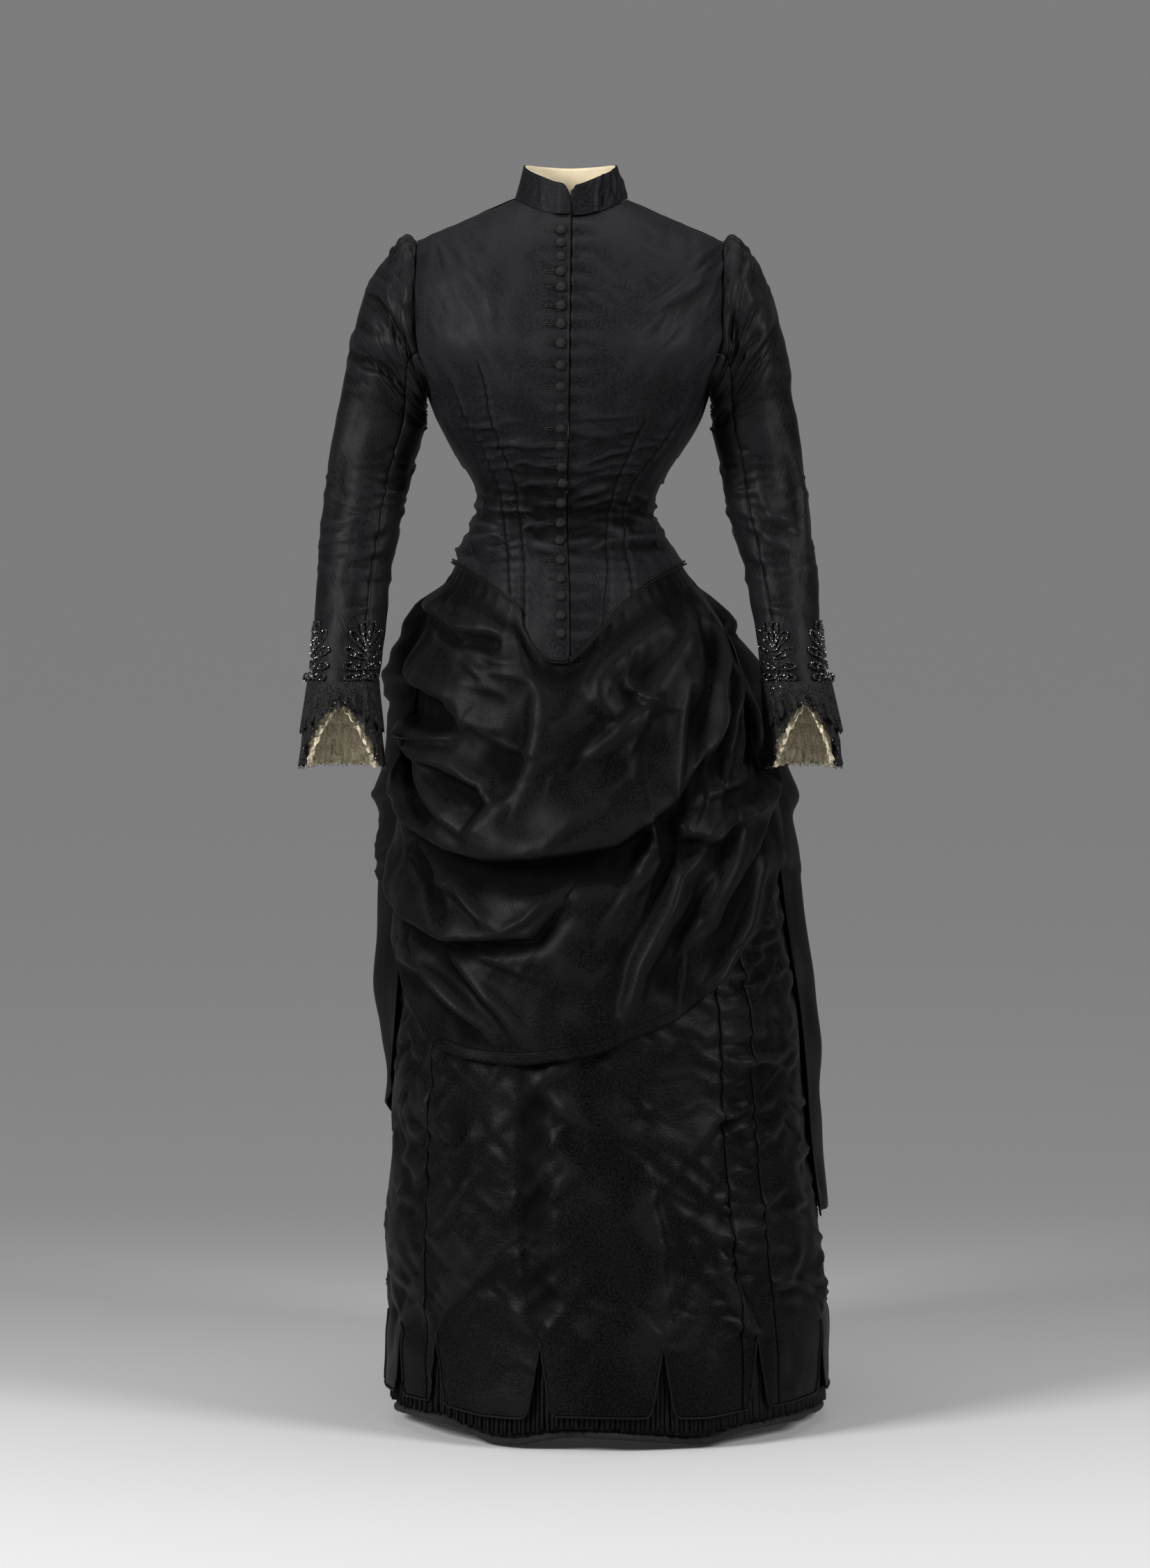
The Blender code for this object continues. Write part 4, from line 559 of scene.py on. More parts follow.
class SleeveForm:
    """The sleeve's outside, from the armhole to the wrist."""

    first_ring, fall = 1.065, 0.291

    @staticmethod
    def armhole(side: float, turn: np.ndarray) -> np.ndarray:
        """Points of the armhole's edge by the turn round the sleeve."""
        turn = np.mod(turn, 360.0)
        front = turn <= 180.0
        folded = np.where(front, turn, 360.0 - turn)
        angle = ARMHOLE.read("angle", folded)
        angle = np.where(front, angle, 180.0 - angle)
        return BodiceForm.surface(side * angle, ARMHOLE.read("along", folded))

    @staticmethod
    def ring(side: float, turn: np.ndarray, level: np.ndarray) -> tuple[np.ndarray, np.ndarray]:
        """Points round the arm at a level and the directions inwards."""
        table = SLEEVE_LEFT if side > 0 else SLEEVE_RIGHT
        cosine, sine = np.cos(np.radians(turn)), np.sin(np.radians(turn))
        centre = table.read("centre", level)
        points = np.stack([
            centre + side * table.read("half_width", level) * cosine,
            table.read("depth", level) - table.read("half_depth", level) * sine,
            level + table.read("tilt", level) * cosine], axis=-1)
        inward = np.stack([-side * cosine, sine, 0.0 * cosine], axis=-1)
        return points, inward

    @classmethod
    def surface(cls, side: float, turn: np.ndarray,
                along: np.ndarray) -> tuple[np.ndarray, np.ndarray]:
        """Points and directions inwards.

        Along is 0 at the armhole, 1 at the first ring and 2 at the wrist.
        """
        turn = np.asarray(turn, dtype=float) + 0.0 * along
        along = np.asarray(along, dtype=float) + 0.0 * turn
        cosine, sine = np.cos(np.radians(turn)), np.sin(np.radians(turn))
        loop = cls.armhole(side, turn)
        middle = np.array([side * 0.152, 0.0, 1.165])
        to_middle = middle - loop
        to_middle[..., 0] = 0.0
        to_middle = unit(to_middle)
        off = to_middle * (0.5 - 0.5 * cosine)[..., None]
        off[..., 0] += side * (0.5 + 0.5 * cosine)
        start = loop + unit(off) * 0.0006
        level = np.where(along > 1.0, cls.first_ring - (along - 1.0) * cls.fall, cls.first_ring)
        ring, inward = cls.ring(side, turn, level)
        leave = np.stack([side * (0.080 + 0.052 * cosine), -0.020 * sine, 0.030 * cosine], axis=-1)
        arrive = np.stack([side * 0.014 + 0.0 * cosine, 0.0 * cosine, -0.115 - 0.045 * cosine],
                          axis=-1)
        part = np.clip(along, 0.0, 1.0)[..., None]
        square, cube = part ** 2, part ** 3
        head = start * (2 * cube - 3 * square + 1) + leave * (cube - 2 * square + part)
        head = head + ring * (3 * square - 2 * cube) + arrive * (cube - square)
        points = np.where(along[..., None] > 1.0, ring, head)
        blend = soft_step(along, 0.0, 0.75)[..., None]
        return points, unit(to_middle * (1.0 - blend) + inward * blend)


def apron_out(angle: np.ndarray, height: np.ndarray) -> np.ndarray:
    """Distance of the apron's outside from the skirt's plain form."""
    below = BODICE_EDGE.read("height", angle) - height
    relief = fold_relief(angle, height, SkirtForm.arc(angle, height), APRON_FOLDS.values())
    plain = APRON_OUT.read("out", height) - PLAIN_OUT
    plain = PLAIN_OUT + plain * soft_step(below, 0.012, 0.036)
    return plain + soft_step(below, 0.018, 0.040) * np.clip(relief, -0.009, 0.028)


def drape_out(angle: np.ndarray, height: np.ndarray) -> np.ndarray:
    """Distance of the draped back's outside from the skirt's plain form."""
    left = DRAPE_OUT.read("left", height)
    right = DRAPE_OUT.read("right", height)
    back = DRAPE_OUT.read("back", height)
    side = np.where(angle < 180.0, left, right)
    from_side = np.minimum(angle, 360.0 - angle)
    blend = soft_step(from_side, 108.0, 165.0)
    plain = side * (1.0 - blend) + back * blend
    below = BODICE_EDGE.read("height", np.where(angle > 180.0, angle - 360.0, angle)) - height
    plain = PLAIN_OUT + (plain - PLAIN_OUT) * soft_step(below, 0.004, 0.034)
    tuck_in = soft_step(from_side, 90.0, 107.0)
    relief = 0.0 * angle
    drop = np.clip((0.92 - height) / 0.75, 0.0, 1.0)
    hang = 0.30 + 0.70 * soft_step(0.66 - height, 0.0, 0.12)
    for flute in DRAPE_FLUTES.rows():
        middle = flute["top"] + (flute["hem"] - flute["top"]) * drop
        relief = relief + hang * flute["ridge"] * hill(angle, middle, flute["reach"])
    for tuck in DRAPE_TUCKS.rows():
        line = tuck["height"] + tuck["drop"] * ((angle - 180.0) / 75.0) ** 2
        lower = np.where(height < line, 0.55, 1.0)
        relief = relief + tuck["ridge"] * hill(height, line, tuck["reach"] * lower)
    mask = soft_step(below, 0.010, 0.045) * soft_step(from_side, 92.0, 108.0)
    low = np.minimum(0.0056, plain)
    return low + (plain - low) * tuck_in + mask * np.minimum(relief, 0.030)


# Meshes


def hem_stitch(height: np.ndarray, hem: np.ndarray) -> np.ndarray:
    """Stitch attribute of a cloth whose only sewn line runs above its hem."""
    from_line = np.clip(np.abs(height - hem[None, :] - HEM_STITCH), 0.0, 0.01)
    return np.stack([from_line, np.ones_like(height), np.zeros_like(height)], axis=-1)


def lift(points: np.ndarray) -> np.ndarray:
    """Points measured from the hem, moved to the frame's origin."""
    return np.asarray(points, dtype=float) - np.array([0.0, 0.0, MOUNT_HEIGHT])


@dataclass
class Skin:
    """A fine sheet of cloth as a grid of points with its grain and its sewn lines."""

    points: np.ndarray
    away: np.ndarray
    wrap: bool = False
    stitch: np.ndarray | None = None

    def normals(self) -> np.ndarray:
        """Directions straight out of the sheet as it lies."""
        if self.wrap:
            across = np.roll(self.points, -1, axis=1) - np.roll(self.points, 1, axis=1)
        else:
            across = np.gradient(self.points, axis=1)
        up = np.gradient(self.points, axis=0)
        normal = unit(np.cross(across, up))
        facing = np.sign((normal * self.away).sum(axis=-1, keepdims=True))
        facing[facing == 0] = 1.0
        return normal * facing

    def raised(self, relief: np.ndarray) -> "Skin":
        """The same sheet with its surface moved out by a relief."""
        moved = self.points + self.normals() * relief[..., None]
        return Skin(moved, self.away, self.wrap, self.stitch)

    def grain(self) -> np.ndarray:
        """Distances along the cloth, across and up, in metres."""
        across = np.linalg.norm(np.diff(self.points, axis=1), axis=-1)
        middle = across[across.shape[0] // 2]
        x = np.concatenate([[0.0], np.cumsum(middle)])
        up = np.linalg.norm(np.diff(self.points, axis=0), axis=-1)
        y = np.vstack([np.zeros(self.points.shape[1]), np.cumsum(up, axis=0)])
        return np.stack([x[None, :] + 0.0 * y, y, 0.0 * y], axis=-1)

    def lie(self) -> np.ndarray:
        """How far the cloth stands up or sinks here: closely, broadly, each from -1 to 1."""
        normal, parts = self.normals(), []
        for reach, full in ((3, 0.0010), (12, 0.0045)):
            reach = reach
            smooth = self.points
            for axis in (0, 1, 0, 1):
                pad = [(reach, reach) if axis == n else (0, 0) for n in range(3)]
                wide = np.pad(smooth, pad, mode="wrap" if self.wrap and axis == 1 else "edge")
                total = np.cumsum(wide, axis=axis)
                count = 2 * reach + 1
                ahead = np.take(total, range(count - 1, total.shape[axis]), axis=axis)
                behind = np.take(total, range(0, total.shape[axis] - count), axis=axis)
                first = np.zeros_like(np.take(total, [0], axis=axis))
                smooth = (ahead - np.concatenate([first, behind], axis=axis)) / count
            parts.append(np.clip(((self.points - smooth) * normal).sum(axis=-1) / full, -1.0, 1.0))
        return np.stack([*parts, 0.0 * parts[0]], axis=-1)

    def cut(self) -> tuple[float, float, float]:
        """Width, length and area of the cloth laid flat."""
        points = np.concatenate([self.points, self.points[:, :1]], axis=1) if self.wrap \
            else self.points
        across = np.linalg.norm(np.diff(points, axis=1), axis=-1).sum(axis=1).max()
        up = np.linalg.norm(np.diff(points, axis=0), axis=-1).sum(axis=0).max()
        first = np.cross(points[1:, 1:] - points[:-1, :-1], points[1:, :-1] - points[:-1, 1:])
        area = np.linalg.norm(first, axis=-1).sum() / 2.0
        return float(across), float(up), float(min(area, across * up))


@dataclass
class Maker:
    """Turns skins and other shapes into pieces that ride on the dress."""

    wardrobe: Wardrobe
    made: list[str] = field(default_factory=list)

    def add(self, name: str, points: np.ndarray, faces: list, finish: Finish,
            replaces: Sequence[str] = (), **layers: np.ndarray) -> bpy.types.Object:
        """A piece from points and faces.

        Args:
            name: the piece's name.
            points: places measured from the hem.
            faces: corners of each face.
            finish: its finish.
            replaces: CAD nodes that it stands for.
            layers: vector attributes by name.

        Returns:
            The new object.
        """
        mesh = bpy.data.meshes.new(name)
        mesh.from_pydata(lift(points).tolist(), [], faces)
        for label, values in layers.items():
            kept = mesh.attributes.new(label, "FLOAT_VECTOR", "POINT")
            kept.data.foreach_set("vector", np.asarray(values, dtype=np.float32).ravel())
        mesh.polygons.foreach_set("use_smooth", np.ones(len(mesh.polygons), dtype=bool))
        mesh.materials.append(self.wardrobe[finish])
        mesh.update()
        piece = bpy.data.objects.new(name, mesh)
        bpy.context.scene.collection.objects.link(piece)
        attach(piece, "root")
        slot = SLOTS[finish]
        if replaces:
            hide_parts(*replaces)
        self.made.append(name)
        log.info("%s: %d faces", name, len(faces))
        return piece

    def cloth(self, name: str, skin: Skin, thick: float, finish: Finish,
              replaces: Sequence[str] = (), held: str = "stretched") -> None:
        """A sheet of cloth with an outside, a coarser inside and closed edges."""
        rows, columns = skin.points.shape[:2]
        inner_rows = np.unique(np.append(np.arange(0, rows, 2), rows - 1))
        inner_columns = np.arange(0, columns, 2) if skin.wrap else \
            np.unique(np.append(np.arange(0, columns, 2), columns - 1))
        normal = skin.normals()
        inside = skin.points - normal * thick
        picked = np.ix_(inner_rows, inner_columns)
        points = np.vstack([skin.points.reshape(-1, 3), inside[picked].reshape(-1, 3)])
        grain = skin.grain()
        stitch = skin.stitch if skin.stitch is not None else np.full((rows, columns, 3), 1.0)
        lie = skin.lie()
        layers = {
            "lie": np.vstack([lie.reshape(-1, 3), lie[picked].reshape(-1, 3)]),
            "grain": np.vstack([grain.reshape(-1, 3), grain[picked].reshape(-1, 3)]),
            "stitch": np.vstack([stitch.reshape(-1, 3), np.ones(inside[picked].reshape(-1, 3).shape)]),
        }
        count, wide = rows * columns, len(inner_columns)
        faces = self.quads(rows, columns, skin.wrap, 0)
        back = self.quads(len(inner_rows), wide, skin.wrap, count)
        faces = [tuple(f) for f in faces] + [tuple(reversed(f)) for f in back]
        outer = np.arange(count).reshape(rows, columns)
        inner = count + np.arange(len(inner_rows) * wide).reshape(len(inner_rows), wide)
        if skin.wrap:
            outer = np.hstack([outer, outer[:, :1]])
            inner = np.hstack([inner, inner[:, :1]])
            stops = np.append(inner_columns, columns)
        else:
            stops = inner_columns
        faces += self.rim(outer[0], inner[0], stops, False)
        faces += self.rim(outer[-1], inner[-1], stops, True)
        if not skin.wrap:
            faces += self.rim(outer[:, 0], inner[:, 0], inner_rows, True)
            faces += self.rim(outer[:, -1], inner[:, -1], inner_rows, False)
        first = points[list(faces[len(faces) // 5])]
        flat = np.cross(first[1] - first[0], first[2] - first[0])
        if flat @ normal.reshape(-1, 3)[faces[len(faces) // 5][0]] < 0.0:
            faces = [tuple(reversed(f)) for f in faces]
        piece = self.add(name, points, faces, finish, replaces, **layers)
        width, length, area = skin.cut()
        area = max(area, LEAST_FILL * width * length)
        log.info("%s: cut %.3f x %.3f m, %.4f square metres", name, width, length, area)

    @staticmethod
    def quads(rows: int, columns: int, wrap: bool, start: int) -> list[tuple[int, ...]]:
        """Faces of a grid."""
        spans = columns if wrap else columns - 1
        r, c = np.meshgrid(np.arange(rows - 1), np.arange(spans), indexing="ij")
        n = (c + 1) % columns
        corners = np.stack([r * columns + c, r * columns + n, (r + 1) * columns + n,
                            (r + 1) * columns + c], axis=-1) + start
        return [tuple(f) for f in corners.reshape(-1, 4).tolist()]

    @staticmethod
    def rim(outer: np.ndarray, inner: np.ndarray, stops: np.ndarray,
            turned: bool) -> list[tuple[int, ...]]:
        """Faces between an outer edge and the coarser inner edge."""
        faces = []
        for number in range(len(stops) - 1):
            run = [int(i) for i in outer[stops[number]:stops[number + 1] + 1]]
            face = [int(inner[number]), int(inner[number + 1])] + run[::-1]
            faces.append(tuple(reversed(face)) if turned else tuple(face))
        return faces

    def cord(self, name: str, paths: Sequence[np.ndarray], radius: float, sides: int,
             finish: Finish, replaces: Sequence[str] = (), closed: bool = False,
             swell: Callable[[np.ndarray], np.ndarray] | None = None) -> None:
        """Round cords along paths, as one piece.

        Args:
            name: the piece's name.
            paths: rows of points measured from the hem.
            radius: of the cord.
            sides: how many faces go round it.
            finish: its finish.
            replaces: CAD nodes that it stands for.
            closed: whether each path joins its own start.
            swell: share of the radius by the number of each point.
        """
        points, faces, grain, start = [], [], [], 0
        turns = np.arange(sides) * 2.0 * math.pi / sides
        for path in paths:
            path = np.asarray(path, dtype=float)
            count = len(path)
            if closed:
                ahead, behind = np.roll(path, -1, axis=0), np.roll(path, 1, axis=0)
            else:
                ahead = np.vstack([path[1:], path[-1:] * 2 - path[-2:-1]])
                behind = np.vstack([path[:1] * 2 - path[1:2], path[:-1]])
            forward = unit(ahead - behind)
            guide = np.where(np.abs(forward[:, 2:3]) > 0.9, [[0.0, 1.0, 0.0]], [[0.0, 0.0, 1.0]])
            side = unit(np.cross(forward, guide))
            top = np.cross(side, forward)
            size = radius * (swell(np.arange(count)) if swell else np.ones(count))
            rings = path[:, None] + size[:, None, None] * (
                side[:, None] * np.cos(turns)[None, :, None]
                + top[:, None] * np.sin(turns)[None, :, None])
            steps = np.linalg.norm(np.diff(path, axis=0), axis=-1)
            travelled = np.concatenate([[0.0], np.cumsum(steps)])
            for r in range(count if closed else count - 1):
                for s in range(sides):
                    t, n = (s + 1) % sides, (r + 1) % count
                    faces.append((start + r * sides + s, start + r * sides + t,
                                  start + n * sides + t, start + n * sides + s))
            if not closed:
                faces.append(tuple(start + s for s in reversed(range(sides))))
                faces.append(tuple(start + (count - 1) * sides + s for s in range(sides)))
            points.append(rings.reshape(-1, 3))
            around = np.tile(turns * radius, count)
            grain.append(np.stack([around, np.repeat(travelled, sides), 0.0 * around], axis=-1))
            start += count * sides
        self.add(name, np.vstack(points), faces, finish, replaces, grain=np.vstack(grain))

    def beads(self, name: str, places: np.ndarray, sizes: np.ndarray, finish: Finish,
              replaces: Sequence[str] = ()) -> None:
        """Small cut beads at places, as one piece."""
        golden = (1.0 + math.sqrt(5.0)) / 2.0
        ball = np.array([(-1, golden, 0), (1, golden, 0), (-1, -golden, 0), (1, -golden, 0),
                         (0, -1, golden), (0, 1, golden), (0, -1, -golden), (0, 1, -golden),
                         (golden, 0, -1), (golden, 0, 1), (-golden, 0, -1), (-golden, 0, 1)])
        ball = ball / np.linalg.norm(ball[0])
        sides = np.array([(0, 11, 5), (0, 5, 1), (0, 1, 7), (0, 7, 10), (0, 10, 11), (1, 5, 9),
                          (5, 11, 4), (11, 10, 2), (10, 7, 6), (7, 1, 8), (3, 9, 4), (3, 4, 2),
                          (3, 2, 6), (3, 6, 8), (3, 8, 9), (4, 9, 5), (2, 4, 11), (6, 2, 10),
                          (8, 6, 7), (9, 8, 1)])
        rng = np.random.default_rng(len(places))
        first = unit(rng.normal(size=(len(places), 3)))
        second = unit(np.cross(first, unit(rng.normal(size=(len(places), 3)))))
        turned = np.stack([first, second, np.cross(first, second)], axis=1)
        ball = np.einsum("vi,bij->bvj", ball, turned)
        points = (places[:, None] + ball * sizes[:, None, None]).reshape(-1, 3)
        faces = (sides[None] + 12 * np.arange(len(places))[:, None, None]).reshape(-1, 3)
        piece = self.add(name, points, [tuple(f) for f in faces.tolist()], finish, replaces)
        piece.data.polygons.foreach_set("use_smooth", np.zeros(len(faces), dtype=bool))


# Finishes


def maths(operation: str, reflected: bool = False) -> Callable[..., "Value"]:
    """A method that puts a value and a second one through a Math node."""

    def method(self: "Value", other: "Value | float" = 0.0) -> "Value":
        """The node's result."""
        first, second = (other, self) if reflected else (self, other)
        return self.paint.node("ShaderNodeMath", {"operation": operation}, {0: first, 1: second})

    return method


class Value:
    """A socket of a material, written with in plain arithmetic."""

    __add__, __radd__ = maths("ADD"), maths("ADD", True)
    __sub__, __rsub__ = maths("SUBTRACT"), maths("SUBTRACT", True)
    __mul__, __rmul__ = maths("MULTIPLY"), maths("MULTIPLY", True)
    __pow__, __abs__ = maths("POWER"), maths("ABSOLUTE")

    def __init__(self, paint: "Paint", socket: bpy.types.NodeSocket) -> None:
        self.paint = paint
        self.socket = socket

    def below(self, limit: float, soft: float) -> "Value":
        """One where the value is under a limit, fading to nothing over a soft range."""
        return self.paint.node("ShaderNodeMapRange", {"interpolation_type": "SMOOTHSTEP"},
                               {"Value": self, "From Min": limit, "From Max": limit + soft,
                                "To Min": 1.0, "To Max": 0.0})


class Paint:
    """A material under construction."""

    def __init__(self, name: str) -> None:
        self.material = bpy.data.materials.new(name)
        self.material.use_nodes = True
        self.tree = self.material.node_tree
        self.tree.nodes.clear()
        self.shader = self.tree.nodes.new("ShaderNodeBsdfPrincipled")
        output = self.tree.nodes.new("ShaderNodeOutputMaterial")
        self.tree.links.new(self.shader.outputs["BSDF"], output.inputs["Surface"])

    def node(self, kind: str, settings: dict | None = None, values: dict | None = None,
             out: str | int = 0) -> Value:
        """Any node.

        Args:
            kind: the node's type.
            settings: its own settings.
            values: numbers, colours or links for its sockets.
            out: the output that is wanted.

        Returns:
            That output.
        """
        made = self.tree.nodes.new(kind)
        for name, value in (settings or {}).items():
            setattr(made, name, value)
        for name, value in (values or {}).items():
            self.join(made.inputs[name], value)
        return Value(self, made.outputs[out])

    def join(self, socket: bpy.types.NodeSocket, value: "Value | float | Sequence[float]") -> None:
        """Links or sets one socket."""
        if isinstance(value, Value):
            self.tree.links.new(value.socket, socket)
        else:
            socket.default_value = value

    def grain(self) -> Value:
        """The cloth's own coordinates, in metres."""
        return self.node("ShaderNodeAttribute", {"attribute_name": "grain"}, out="Vector")

    def place(self) -> Value:
        """Places in the object's space."""
        return self.node("ShaderNodeTexCoord", out="Object")

    def scaled(self, vector: Value, by: Sequence[float]) -> Value:
        """A vector times another."""
        return self.node("ShaderNodeVectorMath", {"operation": "MULTIPLY"}, {0: vector, 1: by})

    def noise(self, vector: Value, by: Sequence[float], detail: float = 2.0,
              distortion: float = 0.0) -> Value:
        """Noise over a scaled vector, from 0 to 1."""
        return self.node("ShaderNodeTexNoise", None, {
            "Vector": self.scaled(vector, by), "Scale": 1.0, "Detail": detail, "Distortion": distortion})

    def mix(self, share: Value, first: Sequence[float] | Value,
            second: Sequence[float] | Value) -> Value:
        """A colour between two."""
        return self.node("ShaderNodeMix", {"data_type": "RGBA"}, {0: share, 6: first, 7: second}, out=2)

    def sewn(self) -> tuple[Value, Value]:
        """Distances from the nearest sewn line and from the stitching by the edge, in metres."""
        line = self.node("ShaderNodeAttribute", {"attribute_name": "stitch"}, out="Vector")
        near, edge, far = (self.node("ShaderNodeSeparateXYZ", None, {0: line}, out=n) for n in range(3))
        return abs(near) + far * 0.01, abs(edge)

    def lie(self) -> tuple[Value, Value]:
        """How far the cloth stands up here: closely and broadly."""
        lie = self.node("ShaderNodeAttribute", {"attribute_name": "lie"}, out="Vector")
        near, broad = (self.node("ShaderNodeSeparateXYZ", None, {0: lie}, out=n) for n in range(2))
        return near, broad

    def bumped(self, height: Value, depth: float, under: Value | None = None) -> Value:
        """A bump of a depth in metres."""
        values = {"Height": height, "Distance": depth, "Strength": 1.0}
        if under is not None:
            values["Normal"] = under
        return self.node("ShaderNodeBump", None, values)

    def finish(self, links: dict, **numbers: float | Sequence[float]) -> bpy.types.Material:
        """Sets the surface shader and gives the material."""
        for name, value in links.items():
            self.join(self.shader.inputs[name], value)
        for name, value in numbers.items():
            label = name.replace("_", " ").title().replace("Ior", "IOR")
            self.shader.inputs[label].default_value = value
        return self.material


def colour(red: float, green: float, blue: float) -> tuple[float, float, float, float]:
    """An opaque colour."""
    return red, green, blue, 1.0


@dataclass(frozen=True)
class Silk:
    """Black silk: shiny or dull side out, with its threads, crumples, a random paler tone, painted
    highlights on raised cloth and painted shade in its hollows.
    """

    name: str
    dark: tuple[float, float, float]
    # paler colour: reached by the random tone and by the painted highlight on raised cloth
    pale_tone_and_highlight: tuple[float, float, float]
    roughness: float
    crumple: float
    crumple_size: tuple[float, float]
    gloss: float

    # colour of the painted shade in the cloth's hollows
    hollow_shade_tone = (0.0004, 0.0004, 0.0005, 1.0)
    seam = (0.001, 0.001, 0.001, 1.0)
    thread = (0.020, 0.019, 0.018, 1.0)

    def make(self) -> bpy.types.Material:
        """The material."""
        paint = Paint(self.name)
        grain = paint.grain()
        wide, tall = self.crumple_size
        weft = paint.noise(grain, (240.0, 900.0, 1.0), 1.0)
        warp = paint.noise(grain, (900.0, 240.0, 1.0), 1.0)
        threads = weft * 0.55 + warp * 0.45
        mottle = paint.noise(grain, (420.0, 380.0, 1.0), 3.0)
        soft = paint.noise(grain, (11.0, 7.0, 1.0), 4.0)
        first = 1.0 - abs(paint.noise(grain, (1.0 / wide, 1.0 / tall, 1.0), 2.0, 0.8) * 2.0 - 1.0)
        second = paint.noise(grain, (2.6 / wide, 2.6 / tall, 1.0), 2.0, 0.4)
        crumple = first ** 3.0 * 0.8 + second * 0.35
        line, edge = paint.sewn()
        groove = 1.0 - line.below(0.0002, 0.0011)
        stitches = paint.node("ShaderNodeTexWave", {"wave_type": "BANDS", "bands_direction": "Y"}, {
            "Vector": grain, "Scale": 130.0, "Distortion": 0.6, "Detail": 1.0})
        sewn = abs(line - 0.0026).below(0.0003, 0.0005) * stitches
        bump = paint.bumped(crumple, self.crumple)
        bump = paint.bumped(threads + mottle, 0.00016, bump)
        bump = paint.bumped(groove - sewn * 0.25, 0.0006, bump)
        near, broad = paint.lie()
        # painted shade: darker colour where the cloth sinks below its neighbours, in creases and hollows;
        # the same mask also makes them rougher
        painted_hollow_shade = broad.below(-0.95, 0.9) * 0.75 + near.below(-1.0, 0.9) * 0.25
        # painted highlight: paler colour where the cloth stands up above its neighbours
        raised_highlight = (1.0 - near.below(0.15, 0.8)) * 0.60 + (1.0 - broad.below(0.1, 0.9)) * 0.25
        tone = (soft - 0.5) * 1.4 + (mottle - 0.5) * 2.4 + (threads - 0.5) * 1.8 + 0.36
        # random tone plus the painted highlight, mixed towards the paler colour
        base = paint.mix(tone + raised_highlight, colour(*self.dark), colour(*self.pale_tone_and_highlight))
        base = paint.mix(painted_hollow_shade * 0.92, base, self.hollow_shade_tone)
        base = paint.mix(line.below(0.0003, 0.0009) * 0.9, base, self.seam)
        base = paint.mix(edge.below(0.0003, 0.0005) * 0.25, base, self.thread)
        rough = self.roughness + (soft - 0.5) * 0.14 + (mottle - 0.5) * 0.30 + painted_hollow_shade * 0.35
        return paint.finish({"Base Color": base, "Roughness": rough, "Normal": bump},
                            specular_ior_level=self.gloss)


@dataclass(frozen=True)
class PlainCloth:
    """Cotton or wool with a visible weave or nap."""

    name: str
    first: tuple[float, float, float]
    second: tuple[float, float, float]
    roughness: float
    nap: float
    size: float
    sheen: float = 0.1

    def make(self) -> bpy.types.Material:
        """The material."""
        paint = Paint(self.name)
        place = paint.place()
        fine = paint.noise(place, (self.size,) * 3, 3.0)
        broad = paint.noise(place, (30.0,) * 3, 2.0)
        base = paint.mix(fine * broad * 1.6, colour(*self.first), colour(*self.second))
        bump = paint.bumped(fine, self.nap)
        rough = self.roughness + (fine - 0.5) * 0.1
        return paint.finish({"Base Color": base, "Roughness": rough, "Normal": bump},
                            sheen_weight=self.sheen, sheen_roughness=0.6, specular_ior_level=0.2)


@dataclass(frozen=True)
class Lace:
    """Netted lace with holes between its threads and a ragged edge."""

    name: str
    thread: tuple[float, float, float]
    shade: tuple[float, float, float]
    holes: float
    mesh: float

    def make(self) -> bpy.types.Material:
        """The material."""
        paint = Paint(self.name)
        grain = paint.grain()
        cells = paint.node("ShaderNodeTexVoronoi", {"feature": "DISTANCE_TO_EDGE"}, {
            "Vector": grain, "Scale": 1.0 / self.mesh, "Randomness": 0.8})
        figure = paint.noise(grain, (110.0, 110.0, 1.0), 2.0, 1.5)
        solid = figure.below(0.47, 0.03)
        net = cells.below(0.11, 0.05)
        kept = 1.0 - (1.0 - solid) * (1.0 - net) * self.holes
        base = paint.mix(paint.noise(grain, (300.0, 300.0, 1.0), 2.0), colour(*self.thread),
                         colour(*self.shade))
        bump = paint.bumped(net + solid * 0.6, 0.0006)
        rough = 0.75 + (figure - 0.5) * 0.2
        return paint.finish({"Base Color": base, "Alpha": kept, "Normal": bump, "Roughness": rough},
                            specular_ior_level=0.2)


@dataclass(frozen=True)
class Jet:
    """Cut black glass beads."""

    name: str
    tone: tuple[float, float, float]
    glint: tuple[float, float, float]

    def make(self) -> bpy.types.Material:
        """The material."""
        paint = Paint(self.name)
        place = paint.place()
        spot = paint.noise(place, (420.0,) * 3, 1.0)
        base = paint.mix(spot, colour(*self.tone), colour(*self.glint))
        rough = 0.05 + spot * 0.12
        return paint.finish({"Base Color": base, "Roughness": rough}, specular_ior_level=0.75,
                            coat_weight=0.5, coat_roughness=0.03)


@dataclass(frozen=True)
class Thread:
    """Twisted thread, as on the worked buttonholes and the covered buttons."""

    name: str
    first: tuple[float, float, float]
    second: tuple[float, float, float]
    pitch: float

    def make(self) -> bpy.types.Material:
        """The material."""
        paint = Paint(self.name)
        place = paint.place()
        strands = paint.node("ShaderNodeTexWave", {"wave_type": "BANDS", "bands_direction": "DIAGONAL"}, {
            "Vector": place, "Scale": 0.31 / self.pitch, "Distortion": 3.0, "Detail": 2.0,
            "Detail Scale": 4.0})
        base = paint.mix(strands, colour(*self.first), colour(*self.second))
        bump = paint.bumped(strands, 0.0005)
        rough = 0.62 - strands * 0.14
        return paint.finish({"Base Color": base, "Roughness": rough, "Normal": bump},
                            specular_ior_level=0.25)


